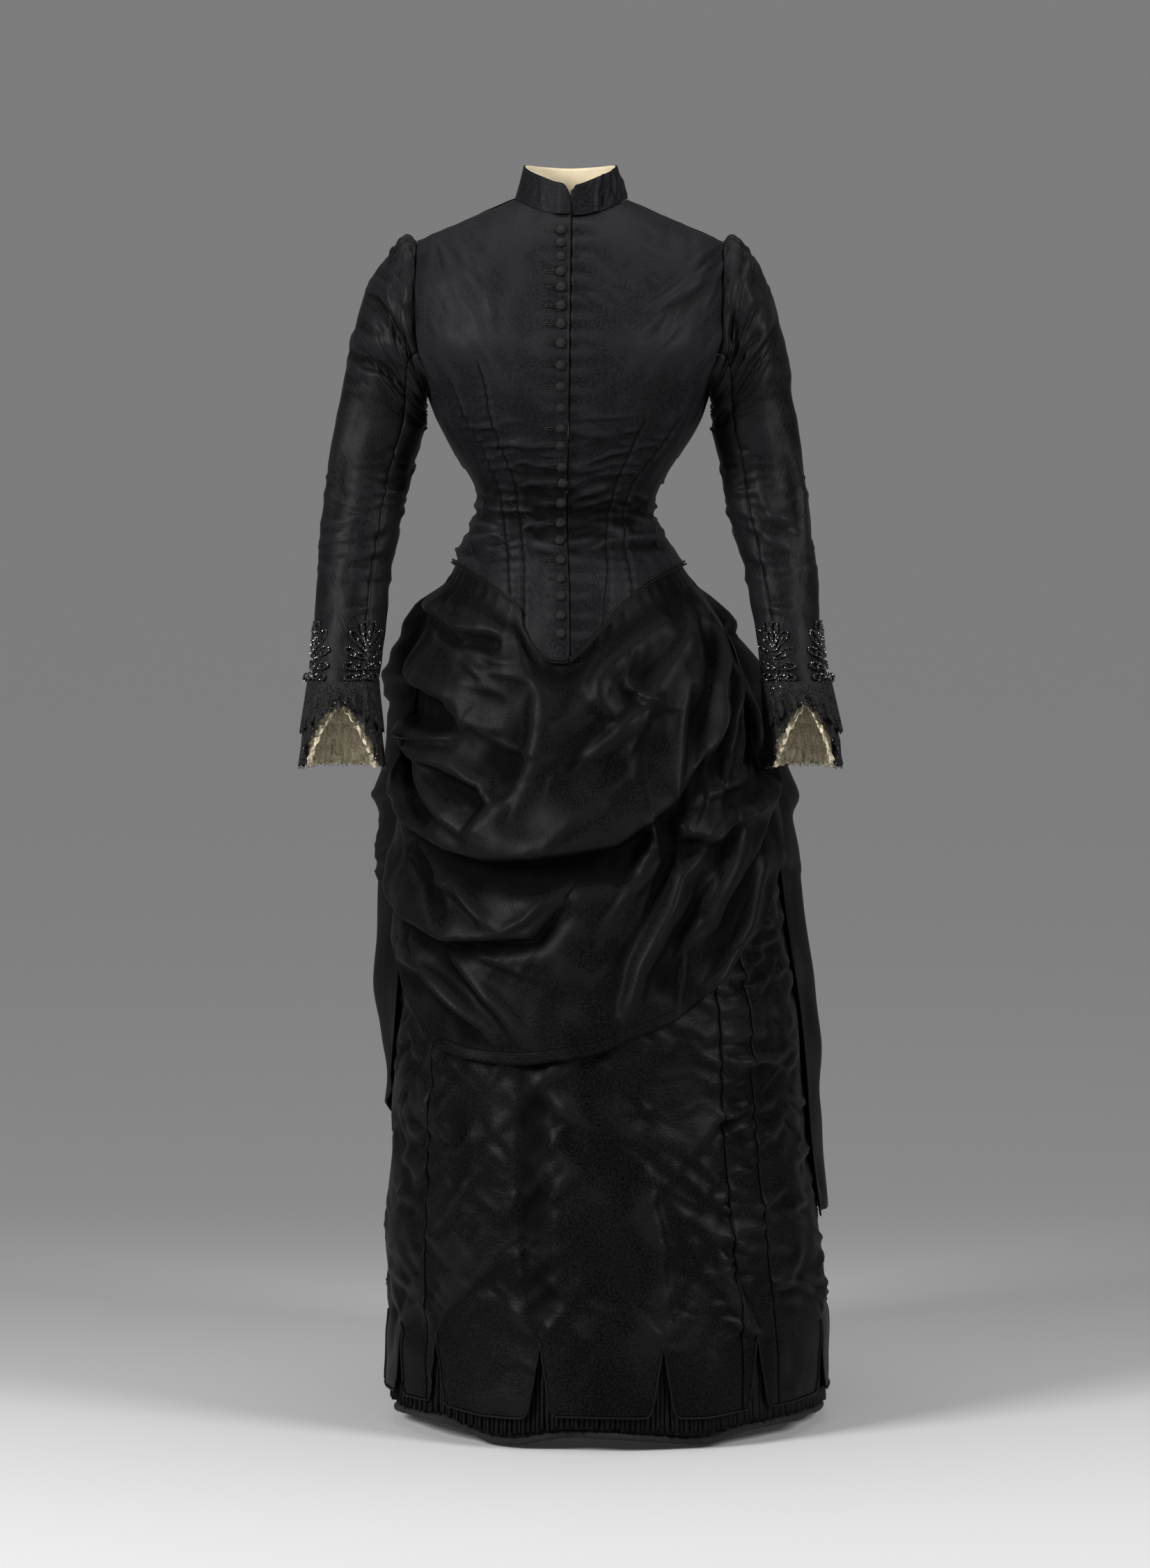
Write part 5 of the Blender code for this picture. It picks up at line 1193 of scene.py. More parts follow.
class Finish(Enum):
    """Every finish of the dress."""

    SATIN = Silk("satin_shiny", (0.0008, 0.0008, 0.0008), (0.0062, 0.0060, 0.0058), 0.43, 0.0002,
                 (0.030, 0.016), 0.055)
    DRAPED = Silk("satin_draped", (0.0009, 0.0009, 0.0010), (0.0050, 0.0050, 0.0054), 0.45, 0.0001,
                  (0.050, 0.040), 0.045)
    BODICE = Silk("satin_bodice", (0.0026, 0.0028, 0.0034), (0.0098, 0.0101, 0.0112), 0.52, 0.0002,
                  (0.022, 0.014), 0.060)
    SLEEVE = Silk("satin_sleeve", (0.0014, 0.0015, 0.0018), (0.0076, 0.0078, 0.0086), 0.46, 0.0002,
                  (0.028, 0.020), 0.058)
    PIPING = Silk("satin_piping", (0.0022, 0.0022, 0.0026), (0.0062, 0.0062, 0.0068), 0.45, 0.0001,
                  (0.010, 0.010), 0.06)
    LINING = PlainCloth("cotton_lining", (0.50, 0.42, 0.28), (0.66, 0.58, 0.42), 0.80, 0.00015, 900.0)
    COTTON = PlainCloth("cotton_black", (0.003, 0.003, 0.003), (0.008, 0.008, 0.008), 0.85, 0.0002,
                        700.0, 0.0)
    BRAID = PlainCloth("wool_braid", (0.006, 0.006, 0.006), (0.020, 0.0195, 0.019), 0.95, 0.0009,
                       900.0, 0.02)
    BLACK_LACE = Lace("lace_black", (0.0040, 0.0039, 0.0038), (0.011, 0.0105, 0.010), 0.85, 0.0030)
    CREAM_LACE = Lace("lace_cream", (0.74, 0.67, 0.50), (0.52, 0.45, 0.31), 0.45, 0.0024)
    JET = Jet("jet_beads", (0.003, 0.003, 0.004), (0.022, 0.022, 0.026))
    BUTTON = Thread("button_thread", (0.0016, 0.0016, 0.0019), (0.0075, 0.0076, 0.0086), 0.0011)
    BUTTONHOLE = Thread("buttonhole_thread", (0.006, 0.0045, 0.0038), (0.028, 0.020, 0.016), 0.0006)


# The record's material slot of each finish
SLOTS = {
    Finish.SATIN: "satin", Finish.DRAPED: "satin", Finish.BODICE: "twill", Finish.SLEEVE: "satin",
    Finish.PIPING: "satin", Finish.LINING: "lining", Finish.COTTON: "cotton",
    Finish.BRAID: "braid", Finish.BLACK_LACE: "crepe", Finish.CREAM_LACE: "lace",
    Finish.JET: "jet", Finish.BUTTON: "button", Finish.BUTTONHOLE: "button",
}


class Wardrobe:
    """The materials, each made once."""

    def __init__(self) -> None:
        self.made: dict[Finish, bpy.types.Material] = {}

    def __getitem__(self, finish: Finish) -> bpy.types.Material:
        """The material of a finish."""
        if finish not in self.made:
            self.made[finish] = finish.value.make()
        return self.made[finish]


def fine(count: int) -> int:
    return count


# Pieces


def sewn_lines(angle: np.ndarray, height: np.ndarray, scale: np.ndarray,
               lines: Iterable[Sequence[tuple[float, float]]]) -> np.ndarray:
    """Stitch attribute for lines sewn in the cloth: signed distance, edge distance, farness."""
    best = np.full(np.broadcast(angle, height).shape, 1.0)
    signed = best.copy()
    for line in lines:
        distance, side, _ = line_places(angle, height, scale, line)
        nearer = distance < best
        best = np.where(nearer, distance, best)
        signed = np.where(nearer, np.where(side == 0.0, 1.0, side) * distance, signed)
    return np.stack([np.clip(signed, -0.008, 0.008), np.ones_like(best),
                     soft_step(best, 0.005, 0.009)], axis=-1)


def spread(start: np.ndarray, end: np.ndarray, share: np.ndarray) -> np.ndarray:
    """Values between two edges, given for each row."""
    return start[:, None] + (end - start)[:, None] * share[None, :]


@dataclass
class Bodice:
    """Fronts with two darts each, side bodies and backs, in duller satin."""

    maker: Maker
    thick: float = 0.0013
    seam: float = 0.0003
    seam_turn: float = 0.07
    degree: float = 0.0022
    first_button: float = 0.8354
    button_pitch: float = 0.0192
    stronger: float = 1.3
    front_columns: int = 74
    back_columns: int = 46
    side_columns: int = 22
    low_rows: int = 96
    high_rows: int = 60
    crumple: Ripple = field(default_factory=lambda: Ripple(11))
    wrinkles: tuple[Wrinkles, ...] = scattered(
        # seed, count, across, up, long, wide, lean, ridge
        (21, 26, (-0.060, -0.010), (0.920, 1.060), (0.020, 0.050), (0.0018, 0.0034), (-8, 10), 0.0017),
        (22, 26, (0.008, 0.055), (0.920, 1.060), (0.020, 0.050), (0.0018, 0.0034), (0, 18), 0.0017),
        (23, 34, (-0.105, -0.055), (0.925, 1.050), (0.012, 0.026), (0.0016, 0.0028), (-12, 12), 0.0018),
        (24, 34, (0.050, 0.100), (0.925, 1.050), (0.012, 0.026), (0.0016, 0.0028), (-12, 12), 0.0018),
        (25, 16, (-0.200, -0.090), (0.915, 0.985), (0.030, 0.070), (0.0030, 0.0050), (-12, 12), 0.0024),
        (26, 16, (0.090, 0.200), (0.915, 0.985), (0.030, 0.070), (0.0030, 0.0050), (-12, 12), 0.0024),
        (27, 22, (0.050, 0.140), (1.130, 1.230), (0.020, 0.050), (0.0020, 0.0040), (35, 65), 0.0013),
        (28, 16, (-0.140, -0.050), (1.130, 1.230), (0.020, 0.045), (0.0020, 0.0040), (-80, -55), 0.0008),
        (29, 14, (-0.015, 0.060), (1.180, 1.262), (0.012, 0.030), (0.0018, 0.0030), (-60, -20), 0.0012),
        (30, 60, (0.205, 0.396), (0.880, 1.020), (0.020, 0.060), (0.0025, 0.0045), (-15, 15), 0.0020),
        (31, 60, (-0.396, -0.205), (0.880, 1.020), (0.020, 0.060), (0.0025, 0.0045), (-15, 15), 0.0020),
    )
    folds: tuple[Fold, ...] = (
        Fold(0.0030, 0.009, 0.006, ((26.0, 1.169), (40.0, 1.188), (53.5, 1.206))),
        Fold(0.0010, 0.010, 0.009, ((1.5, 1.044), (20.0, 1.037))),
        Fold(0.0020, 0.006, 0.005, ((-26.5, 1.025), (-4.5, 1.031))),
        Fold(0.0022, 0.005, 0.004, ((-30.0, 0.988), (-6.5, 0.993))),
        Fold(0.0024, 0.005, 0.004, ((4.0, 0.975), (25.0, 0.986))),
        Fold(0.0022, 0.005, 0.004, ((5.0, 0.963), (27.0, 0.974))),
        Fold(0.0040, 0.007, 0.006, ((-86.0, 0.948), (-42.0, 0.944))),
        Fold(0.0035, 0.007, 0.006, ((-82.0, 0.930), (-40.0, 0.936))),
        Fold(0.0035, 0.007, 0.006, ((49.0, 0.945), (84.0, 0.937))),
    )

    def armhole_angle(self, along: np.ndarray) -> np.ndarray:
        """Angle of the front armhole at a distance up the cloth."""
        turns = np.linspace(160.0, 0.0, 60)
        return np.interp(along, ARMHOLE.read("along", turns), ARMHOLE.read("angle", turns))

    def relief(self, side: float, angle: np.ndarray, along: np.ndarray,
               arc: np.ndarray) -> np.ndarray:
        """Drag lines of the cloth over the waist, bust and shoulders."""
        across = angle * self.degree
        total = 0.0016 * self.crumple.read(across / 0.045, along / 0.050)
        total += 0.0006 * self.crumple.read(across / 0.016 + 9.0, along / 0.030)
        front = np.abs(angle) < 90.0
        for wrinkles in self.wrinkles:
            total += self.stronger * wrinkles.relief(across, along)
        scale = np.full(np.shape(angle), 0.0018)
        total += self.stronger * front * fold_relief(angle, along, scale, self.folds)
        opening = np.abs(angle - side * 1.5) * arc
        pucker = np.cos(2.0 * math.pi * (along - self.first_button) / self.button_pitch)
        near_opening = hill(opening, 0.0, 0.016) * front * (along > 0.82)
        total += near_opening * (0.0006 if side < 0 else 0.0011) * pucker
        if side < 0:
            total += 0.0013 * np.exp(-(opening / 0.022) ** 4) * front
        else:
            total -= 0.0006 * hill(opening, 0.0, 0.010) * front
        for line in DARTS[int(side)]:
            distance, where, _ = line_places(angle, along, arc, line)
            taut = 1.0 - soft_step(along, line[0][1] - 0.02, line[0][1])
            lapped = 0.0007 * hill(distance, 0.0040, 0.0035) * (where > 0)
            total += front * taut * (lapped - 0.0008 * hill(distance, 0.0, 0.0020))
            puckers = np.cos(2.0 * math.pi * along / 0.011 + 3.0 * side)
            total += 0.0005 * front * taut * hill(distance, 0.0, 0.009) * puckers
        return total

    def skin(self, side: float, angle: np.ndarray, along: np.ndarray, opens: bool) -> Skin:
        """A panel's sheet from its grid of places."""
        turned = side * angle
        points = BodiceForm.surface(turned, along)
        normal = BodiceForm.normal(turned, along)
        near = BodiceForm.surface(turned + 0.5, along) - BodiceForm.surface(turned - 0.5, along)
        arc = np.maximum(np.linalg.norm(near, axis=-1), 2e-4)
        stitch = sewn_lines(turned, along, arc, DARTS[int(side)])
        if opens:
            from_edge = np.linalg.norm(points - points[:, :1], axis=-1)
            stitch[..., 1] = np.where(from_edge < 0.02, from_edge - 0.0022, 1.0)
        return Skin(points, normal, stitch=stitch).raised(self.relief(side, turned, along, arc))

    def panel(self, name: str, side: float, inner: Callable, outer: Callable, columns: int,
              back: bool) -> None:
        """A front or back from its lower edge to the neckline and shoulder."""
        share = np.linspace(0.0, 1.0, fine(columns)) ** (1.0 if back else 1.15)
        corner = BodiceForm.corner(side, back)
        levels = np.linspace(0.0, 1.0, fine(self.high_rows))
        rows_low = np.linspace(0.0, 1.0, fine(self.low_rows), endpoint=False)
        low, high = np.full(len(share), 0.88), np.full(len(share), SHOULDER_TOP)
        for _ in range(7):
            lower = [low + (BodiceForm.underarm - low) * part for part in rows_low]
            upper = [BodiceForm.underarm + (high - BodiceForm.underarm) * part for part in levels]
            along = np.array(lower + upper)
            start, end = inner(along[:, 0]), outer(along[:, -1])
            wanted = ((180.0 - corner if back else corner) - start[-1]) / (end[-1] - start[-1])
            nearest = int(np.argmin(np.abs(share - wanted)))
            share[nearest] = wanted
            angle = spread(start, end, share)
            low = BODICE_EDGE.read("height", side * angle[0])
            high = BodiceForm.top(side * angle[-1])
            high[-1] = SHOULDER_TOP
        self.maker.cloth(name + "_cloth", self.skin(side, angle, along, not back), self.thick,
                         Finish.BODICE, [name], "stretched")

    def side_body(self, name: str, side: float) -> None:
        """The narrow panel under the arm."""
        share = np.linspace(0.0, 1.0, fine(self.side_columns))
        turns = 160.0 + 40.0 * share
        folded = np.where(turns <= 180.0, turns, 360.0 - turns)
        top_angle = ARMHOLE.read("angle", folded)
        top_angle = np.where(turns <= 180.0, top_angle, 180.0 - top_angle)
        top_angle[-1] = BACK_SEAM.read("angle", BodiceForm.underarm)
        top = ARMHOLE.read("along", folded)
        bottom = np.full(len(share), 0.90)
        parts = np.linspace(0.0, 1.0, fine(self.low_rows))
        for _ in range(5):
            along = np.array([bottom + (top - bottom) * part for part in parts])
            angle = spread(FRONT_SEAM.read("angle", along[:, 0]),
                           BACK_SEAM.read("angle", along[:, -1]), share)
            close = soft_step(along, 1.03, 1.08)
            angle = angle * (1.0 - close) + top_angle[None, :] * close
            bottom = BODICE_EDGE.read("height", side * angle[0])
        gap = self.seam_turn * (1.0 - 2.0 * share)
        skin = self.skin(side, angle + gap[None, :], along, False)
        self.maker.cloth(name + "_cloth", skin, self.thick, Finish.BODICE, [name], "stretched")

    def build(self) -> None:
        """All six panels."""
        def front_outer(along: np.ndarray) -> np.ndarray:
            """Side seam, then the armhole."""
            return np.where(along < BodiceForm.underarm + 1e-6, FRONT_SEAM.read("angle", along),
                            self.armhole_angle(along)) - self.seam_turn

        def back_outer(along: np.ndarray) -> np.ndarray:
            """Side seam behind, then the armhole."""
            low, arm = BACK_SEAM.read("angle", along), 180.0 - self.armhole_angle(along)
            return low + (arm - low) * soft_step(along, 1.084, 1.094) + self.seam_turn

        for side, word in ((-1.0, "right"), (1.0, "left")):
            def front_inner(along: np.ndarray, side: float = side) -> np.ndarray:
                """The opening."""
                across = OPENING.read("across", along) + side * self.seam / 2.0
                return side * BodiceForm.angle_of(across, along)

            def back_inner(along: np.ndarray, side: float = side) -> np.ndarray:
                """The centre back seam."""
                across = BODICE.read("centre", along) + side * self.seam / 2.0
                return 180.0 - side * BodiceForm.angle_of(across, along)

            self.panel("bodice_front_" + word, side, front_inner, front_outer, self.front_columns, False)
            self.panel("bodice_back_" + word, side, back_inner, back_outer, self.back_columns, True)
            self.side_body("bodice_side_" + word, side)


@dataclass
class LowerEdge:
    """Doubled corded piping along the bodice's lower edge."""

    maker: Maker
    radius: float = 0.0012
    step: float = 0.0026

    def build(self) -> None:
        """Two cords on each side."""
        for word, low, high in (("right", -179.5, -2.6), ("left", -2.2, 179.5)):
            angle = np.linspace(low, high, fine(220))
            paths = []
            for number in range(2):
                along = BODICE_EDGE.read("height", angle) - 0.0008 + self.step * number
                paths.append(BodiceForm.surface(angle, along)
                             + BodiceForm.normal(angle, along) * (0.0014 + 0.0002 * number))
            self.maker.cord("bodice_piping_%s_cords" % word, paths, self.radius, 8,
                            Finish.PIPING, ["bodice_piping_" + word])


@dataclass
class Collar:
    """The standing band: smooth on the lapping side, gathered on the other."""

    maker: Maker
    thick: float = 0.0014
    crumple: Ripple = field(default_factory=lambda: Ripple(23))
    wrinkles: tuple[Wrinkles, ...] = scattered(
        # seed, count, across, up, long, wide, lean, ridge
        (41, 30, (0.018, 0.110), (0.004, 0.040), (0.016, 0.036), (0.0016, 0.0030), (45, 85), 0.0024),
        (42, 16, (0.270, 0.315), (0.004, 0.038), (0.014, 0.030), (0.0016, 0.0030), (65, 110), 0.0003),
        (43, 40, (0.110, 0.240), (0.004, 0.040), (0.016, 0.036), (0.0016, 0.0030), (60, 120), 0.0016),
    )

    def band(self, start: float, end: float, sink: float, columns: int, rows: int) -> Skin:
        """The band between two turns round the neck, in degrees."""
        angle = np.linspace(start, end, fine(columns))
        turn = np.radians(angle)
        base = BodiceForm.neckline(turn)
        low = base[:, 2] + (0.0010 if sink else 0.0004)
        high = COLLAR_TOP.read("height", np.minimum(angle, 360.0 - angle))
        lapping = soft_step(end - angle, 0.0, 8.0 if sink else 12.0)
        plain = soft_step(angle - start, 0.0, 9.0)
        high = high - 0.012 * (1.0 - lapping) ** 2 - 0.005 * (1.0 - plain) ** 2
        high = high - (0.0004 if sink else 0.0)
        share = np.linspace(0.0, 1.0, fine(rows))[:, None]
        depth = np.where(np.cos(turn) > 0.0, 0.0570, 0.0600)
        top = np.stack([0.0035 + 0.0490 * np.sin(turn), -depth * np.cos(turn), high], axis=-1)
        foot = np.stack([base[:, 0], base[:, 1], low], axis=-1)
        away = np.stack([np.sin(turn), -np.cos(turn), 0.0 * turn], axis=-1)
        points = foot[None] + (top - foot)[None] * share[..., None] - away[None] * sink
        skin = Skin(points, away[None] + 0.0 * points)
        around = angle[None, :] + 0.0 * share
        gathered = soft_step(180.0 - np.abs(around - 95.0), 80.0, 130.0) * soft_step(around, 4.0, 30.0)
        amount = 0.0022 * gathered + 0.0007
        up = share * 0.042 + 0.0 * around
        relief = amount * 0.8 * self.crumple.read(around * 0.075, up / 0.05)
        for wrinkles in self.wrinkles:
            relief = relief + wrinkles.relief(around * 0.00092, up)
        relief = relief * (0.25 + 0.75 * np.sin(math.pi * np.clip(share, 0.02, 1.0)) ** 0.5)
        lap = 0.0022 * soft_step(around, 338.0, 350.0) - 0.0012 * soft_step(30.0 - around, 0.0, 20.0)
        skin.stitch = np.full(points.shape, 1.0)
        skin.stitch[..., 1] = up - 0.0385
        return skin.raised((relief + lap) * (1.0 if sink == 0.0 else 0.3))

    def build(self) -> None:
        """The band and its lining."""
        self.maker.cloth("collar_cloth", self.band(0.3, 359.7, 0.0, 260, 26), self.thick,
                         Finish.BODICE, ["collar"], "stretched")
        self.maker.cloth("collar_lining_cloth", self.band(0.6, 359.2, 0.0019, 160, 14), 0.0011,
                         Finish.LINING, ["collar_lining"], "stretched")


@dataclass
class Buttons:
    """Covered buttons and their worked buttonholes down the front."""

    maker: Maker
    radius: float = 0.0055
    height: float = 0.0046
    rise: float = 0.0016

    def place(self, height: float, angle: float) -> tuple[np.ndarray, np.ndarray, np.ndarray, np.ndarray]:
        """Centre on the cloth with its directions out, across and up."""
        across = BodiceForm.surface(np.array(angle), np.array(height))[0]
        along = BodiceForm.along_of(across, height)
        centre = BodiceForm.surface(np.array(angle), along)
        normal = BodiceForm.normal(np.array(angle), along)
        side = unit(np.cross(np.array([0.0, 0.0, 1.0]), normal))
        return centre, normal, side, np.cross(normal, side)

    def knob(self, name: str, node: str, frame_of: tuple[np.ndarray, ...]) -> None:
        """One domed button with its ribs of thread."""
        centre, normal, side, up = frame_of
        rounds, spokes = 9, 40
        share = np.linspace(0.0, 1.0, rounds)
        turn = np.arange(spokes) * 2.0 * math.pi / spokes
        reach = self.radius * np.sin(share * 1.75)
        tall = self.height * (0.5 + 0.5 * np.cos(share * 2.35))
        ribs = 1.0 + 0.07 * np.cos(10.0 * turn[None, :] + 5.0 * share[:, None]) * np.sin(
            math.pi * share[:, None]) + 0.02 * np.cos(26.0 * share[:, None])
        reach, tall = reach[:, None] * ribs, tall[:, None] * (0.94 + 0.06 * ribs)
        points = centre + normal * (self.rise + tall[..., None]) \
            + side * (reach * np.cos(turn)[None, :])[..., None] \
            + up * (reach * np.sin(turn)[None, :])[..., None]
        faces = [tuple(reversed(f)) for f in Maker.quads(rounds, spokes, True, 0)]
        faces.append(tuple((rounds - 1) * spokes + s for s in reversed(range(spokes))))
        self.maker.add(name, points.reshape(-1, 3), faces, Finish.BUTTON, [node])

    def build(self) -> None:
        """Every button from the neck down, and the buttonholes as one piece."""
        holes = []
        for number, row in enumerate(reversed(BUTTON_PLACES.rows()), start=1):
            spot = self.place(row["height"], row["angle"])
            self.knob("button_%02d_cover" % number, "button_%02d" % number, spot)
            half = (0.0125 + 0.002 * math.sin(number * 2.1)) / 2.0
            turn = np.linspace(0.0, 2.0 * math.pi, 28, endpoint=False)
            across = spot[0][0] - 0.0035 - half + half * np.clip(1.25 * np.cos(turn), -1, 1)
            height = row["height"] + 0.0011 * np.sin(turn) * (1.0 + 0.3 * np.cos(number * turn))
            angle = BodiceForm.angle_of(across, height)
            along = BodiceForm.along_of(across, height)
            holes.append(BodiceForm.surface(angle, along) + BodiceForm.normal(angle, along) * 0.0019)
        self.maker.cord("buttonholes", holes, 0.00050, 6, Finish.BUTTONHOLE, closed=True)


@dataclass
class Sleeves:
    """Two-piece sleeves, gathered at the head and dragged at the armpit and elbow."""

    maker: Maker
    thick: float = 0.0013
    degree: float = 0.00074
    rows: int = 190
    upper_columns: int = 84
    under_columns: int = 32
    crumple: Ripple = field(default_factory=lambda: Ripple(37))

    # Folds by turn in degrees and metres down the sleeve from the armhole, on each side
    folds: dict[int, tuple[Fold, ...]] = field(default_factory=lambda: {
        -1: (
            Fold(-0.0060, 0.009, 0.009, ((34, 0.148), (68, 0.118), (95, 0.083), (115, 0.045)), 0),
            Fold(0.0045, 0.012, 0.010, ((20, 0.128), (62, 0.095), (86, 0.054), (107, 0.013)), 0),
            Fold(-0.0055, 0.008, 0.009, ((7, 0.230), (52, 0.227), (87, 0.201), (115, 0.185)), 0),
            Fold(0.0040, 0.011, 0.009, ((2, 0.212), (65, 0.183), (108, 0.112)), 0),
            Fold(0.0020, 0.006, 0.005, ((9, 0.409), (83, 0.410))),
            Fold(0.0020, 0.006, 0.005, ((12, 0.422), (86, 0.424))),
            Fold(0.0025, 0.006, 0.006, ((118, 0.371), (153, 0.377))),
            Fold(0.0025, 0.006, 0.006, ((131, 0.412), (106, 0.419))),
            Fold(0.0025, 0.007, 0.006, ((139, 0.436), (100, 0.441))),
            Fold(0.0020, 0.007, 0.006, ((142, 0.460), (94, 0.463))),
            Fold(0.0020, 0.020, 0.016, ((45, 0.263), (31, 0.342), (13, 0.413))),
        ),
        1: (
            Fold(0.0040, 0.007, 0.007, ((25, 0.050), (39, 0.072), (55, 0.060))),
            Fold(0.0055, 0.009, 0.008, ((64, 0.137), (57, 0.170), (72, 0.172), (90, 0.157), (111, 0.162))),
            Fold(-0.0060, 0.009, 0.009, ((92, 0.030), (95, 0.086), (107, 0.108), (132, 0.070)), 0),
            Fold(0.0040, 0.010, 0.009, ((76, 0.029), (74, 0.080), (66, 0.128)), 0.5),
            Fold(0.0035, 0.009, 0.007, ((61, 0.023), (62, 0.096), (37, 0.175))),
            Fold(0.0025, 0.007, 0.006, ((141, 0.393), (106, 0.404))),
            Fold(0.0040, 0.009, 0.008, ((101, 0.372), (89, 0.403), (55, 0.412))),
            Fold(0.0035, 0.009, 0.007, ((108, 0.422), (69, 0.436))),
            Fold(0.0035, 0.011, 0.009, ((44, 0.340), (27, 0.377), (42, 0.432))),
            Fold(0.0025, 0.006, 0.006, ((131, 0.412), (106, 0.416))),
            Fold(0.0025, 0.007, 0.006, ((140, 0.441), (102, 0.451))),
        ),
    })
    wrinkles: tuple[Wrinkles, ...] = scattered(
        # seed, count, across, up, long, wide, lean, ridge
        (51, 24, (0.050, 0.110), (0.28, 0.50), (0.012, 0.030), (0.0020, 0.0035), (-20, 20), 0.0016),
        (52, 22, (0.000, 0.070), (0.36, 0.46), (0.016, 0.036), (0.0020, 0.0040), (-15, 15), 0.0014),
        (53, 20, (0.060, 0.130), (0.06, 0.26), (0.020, 0.050), (0.0025, 0.0050), (10, 50), 0.0022),
        (54, 26, (0.130, 0.170), (0.05, 0.50), (0.020, 0.050), (0.0025, 0.0050), (-40, 40), 0.0024),
        (55, 30, (-0.090, -0.010), (0.05, 0.50), (0.020, 0.050), (0.0025, 0.0045), (-50, 50), 0.0018),
        (56, 16, (-0.050, 0.060), (0.01, 0.07), (0.014, 0.030), (0.0025, 0.0040), (60, 120), 0.0022),
    )

    def relief(self, side: float, turn: np.ndarray, along: np.ndarray) -> np.ndarray:
        """Gathers and folds of a sleeve."""
        around = np.mod(turn + 130.0, 360.0) - 130.0
        down = along * SleeveForm.fall
        scale = self.degree + 0.0 * around
        total = fold_relief(around, down, scale, self.folds[int(side)])
        total = total * (1.0 - soft_step(around, 200.0, 228.0)) * soft_step(around, -130.0, -100.0)
        shoulder = hill(around, 10.0, 70.0)
        drift = 40.0 * np.sin(np.radians(around * 3.0 + 50.0 * side))
        gathers = np.cos(np.radians(around * 15.0 + drift))
        total += 0.0022 * gathers * shoulder * hill(down, 0.0, 0.030)
        total += 0.0035 * shoulder * hill(down, 0.028, 0.022)
        total += 0.0024 * self.crumple.read(around * 0.016 + 4.0 * side, down / 0.055)
        total += 0.0007 * self.crumple.read(around * 0.05 + 5.0, down / 0.022)
        for wrinkles in self.wrinkles:
            total += 1.3 * wrinkles.relief(around * self.degree, down)
        near_seam = np.minimum(np.abs(around - 120.0), np.abs(around + 120.0)) * self.degree
        total -= 0.0009 * hill(near_seam, 0.0, 0.0025)
        return total * soft_step(down, 0.0, 0.012) * (1.0 - 0.8 * soft_step(down, 0.555, 0.58))

    def build(self) -> None:
        """Upper and under sleeve on each side."""
        for side, word in ((-1.0, "right"), (1.0, "left")):
            for part, first, last, columns in (("upper", -119.8, 119.8, self.upper_columns),
                                               ("under", 120.2, 239.8, self.under_columns)):
                turn = np.linspace(first, last, fine(columns))[None, :]
                along = np.linspace(0.0, 2.0, fine(self.rows))[:, None]
                points, inward = SleeveForm.surface(side, turn, along)
                skin = Skin(points, -inward)
                skin = skin.raised(self.relief(side, turn + 0.0 * along, along + 0.0 * turn))
                name = "sleeve_%s_%s" % (part, word)
                self.maker.cloth(name + "_cloth", skin, self.thick, Finish.SLEEVE, [name], "hung")


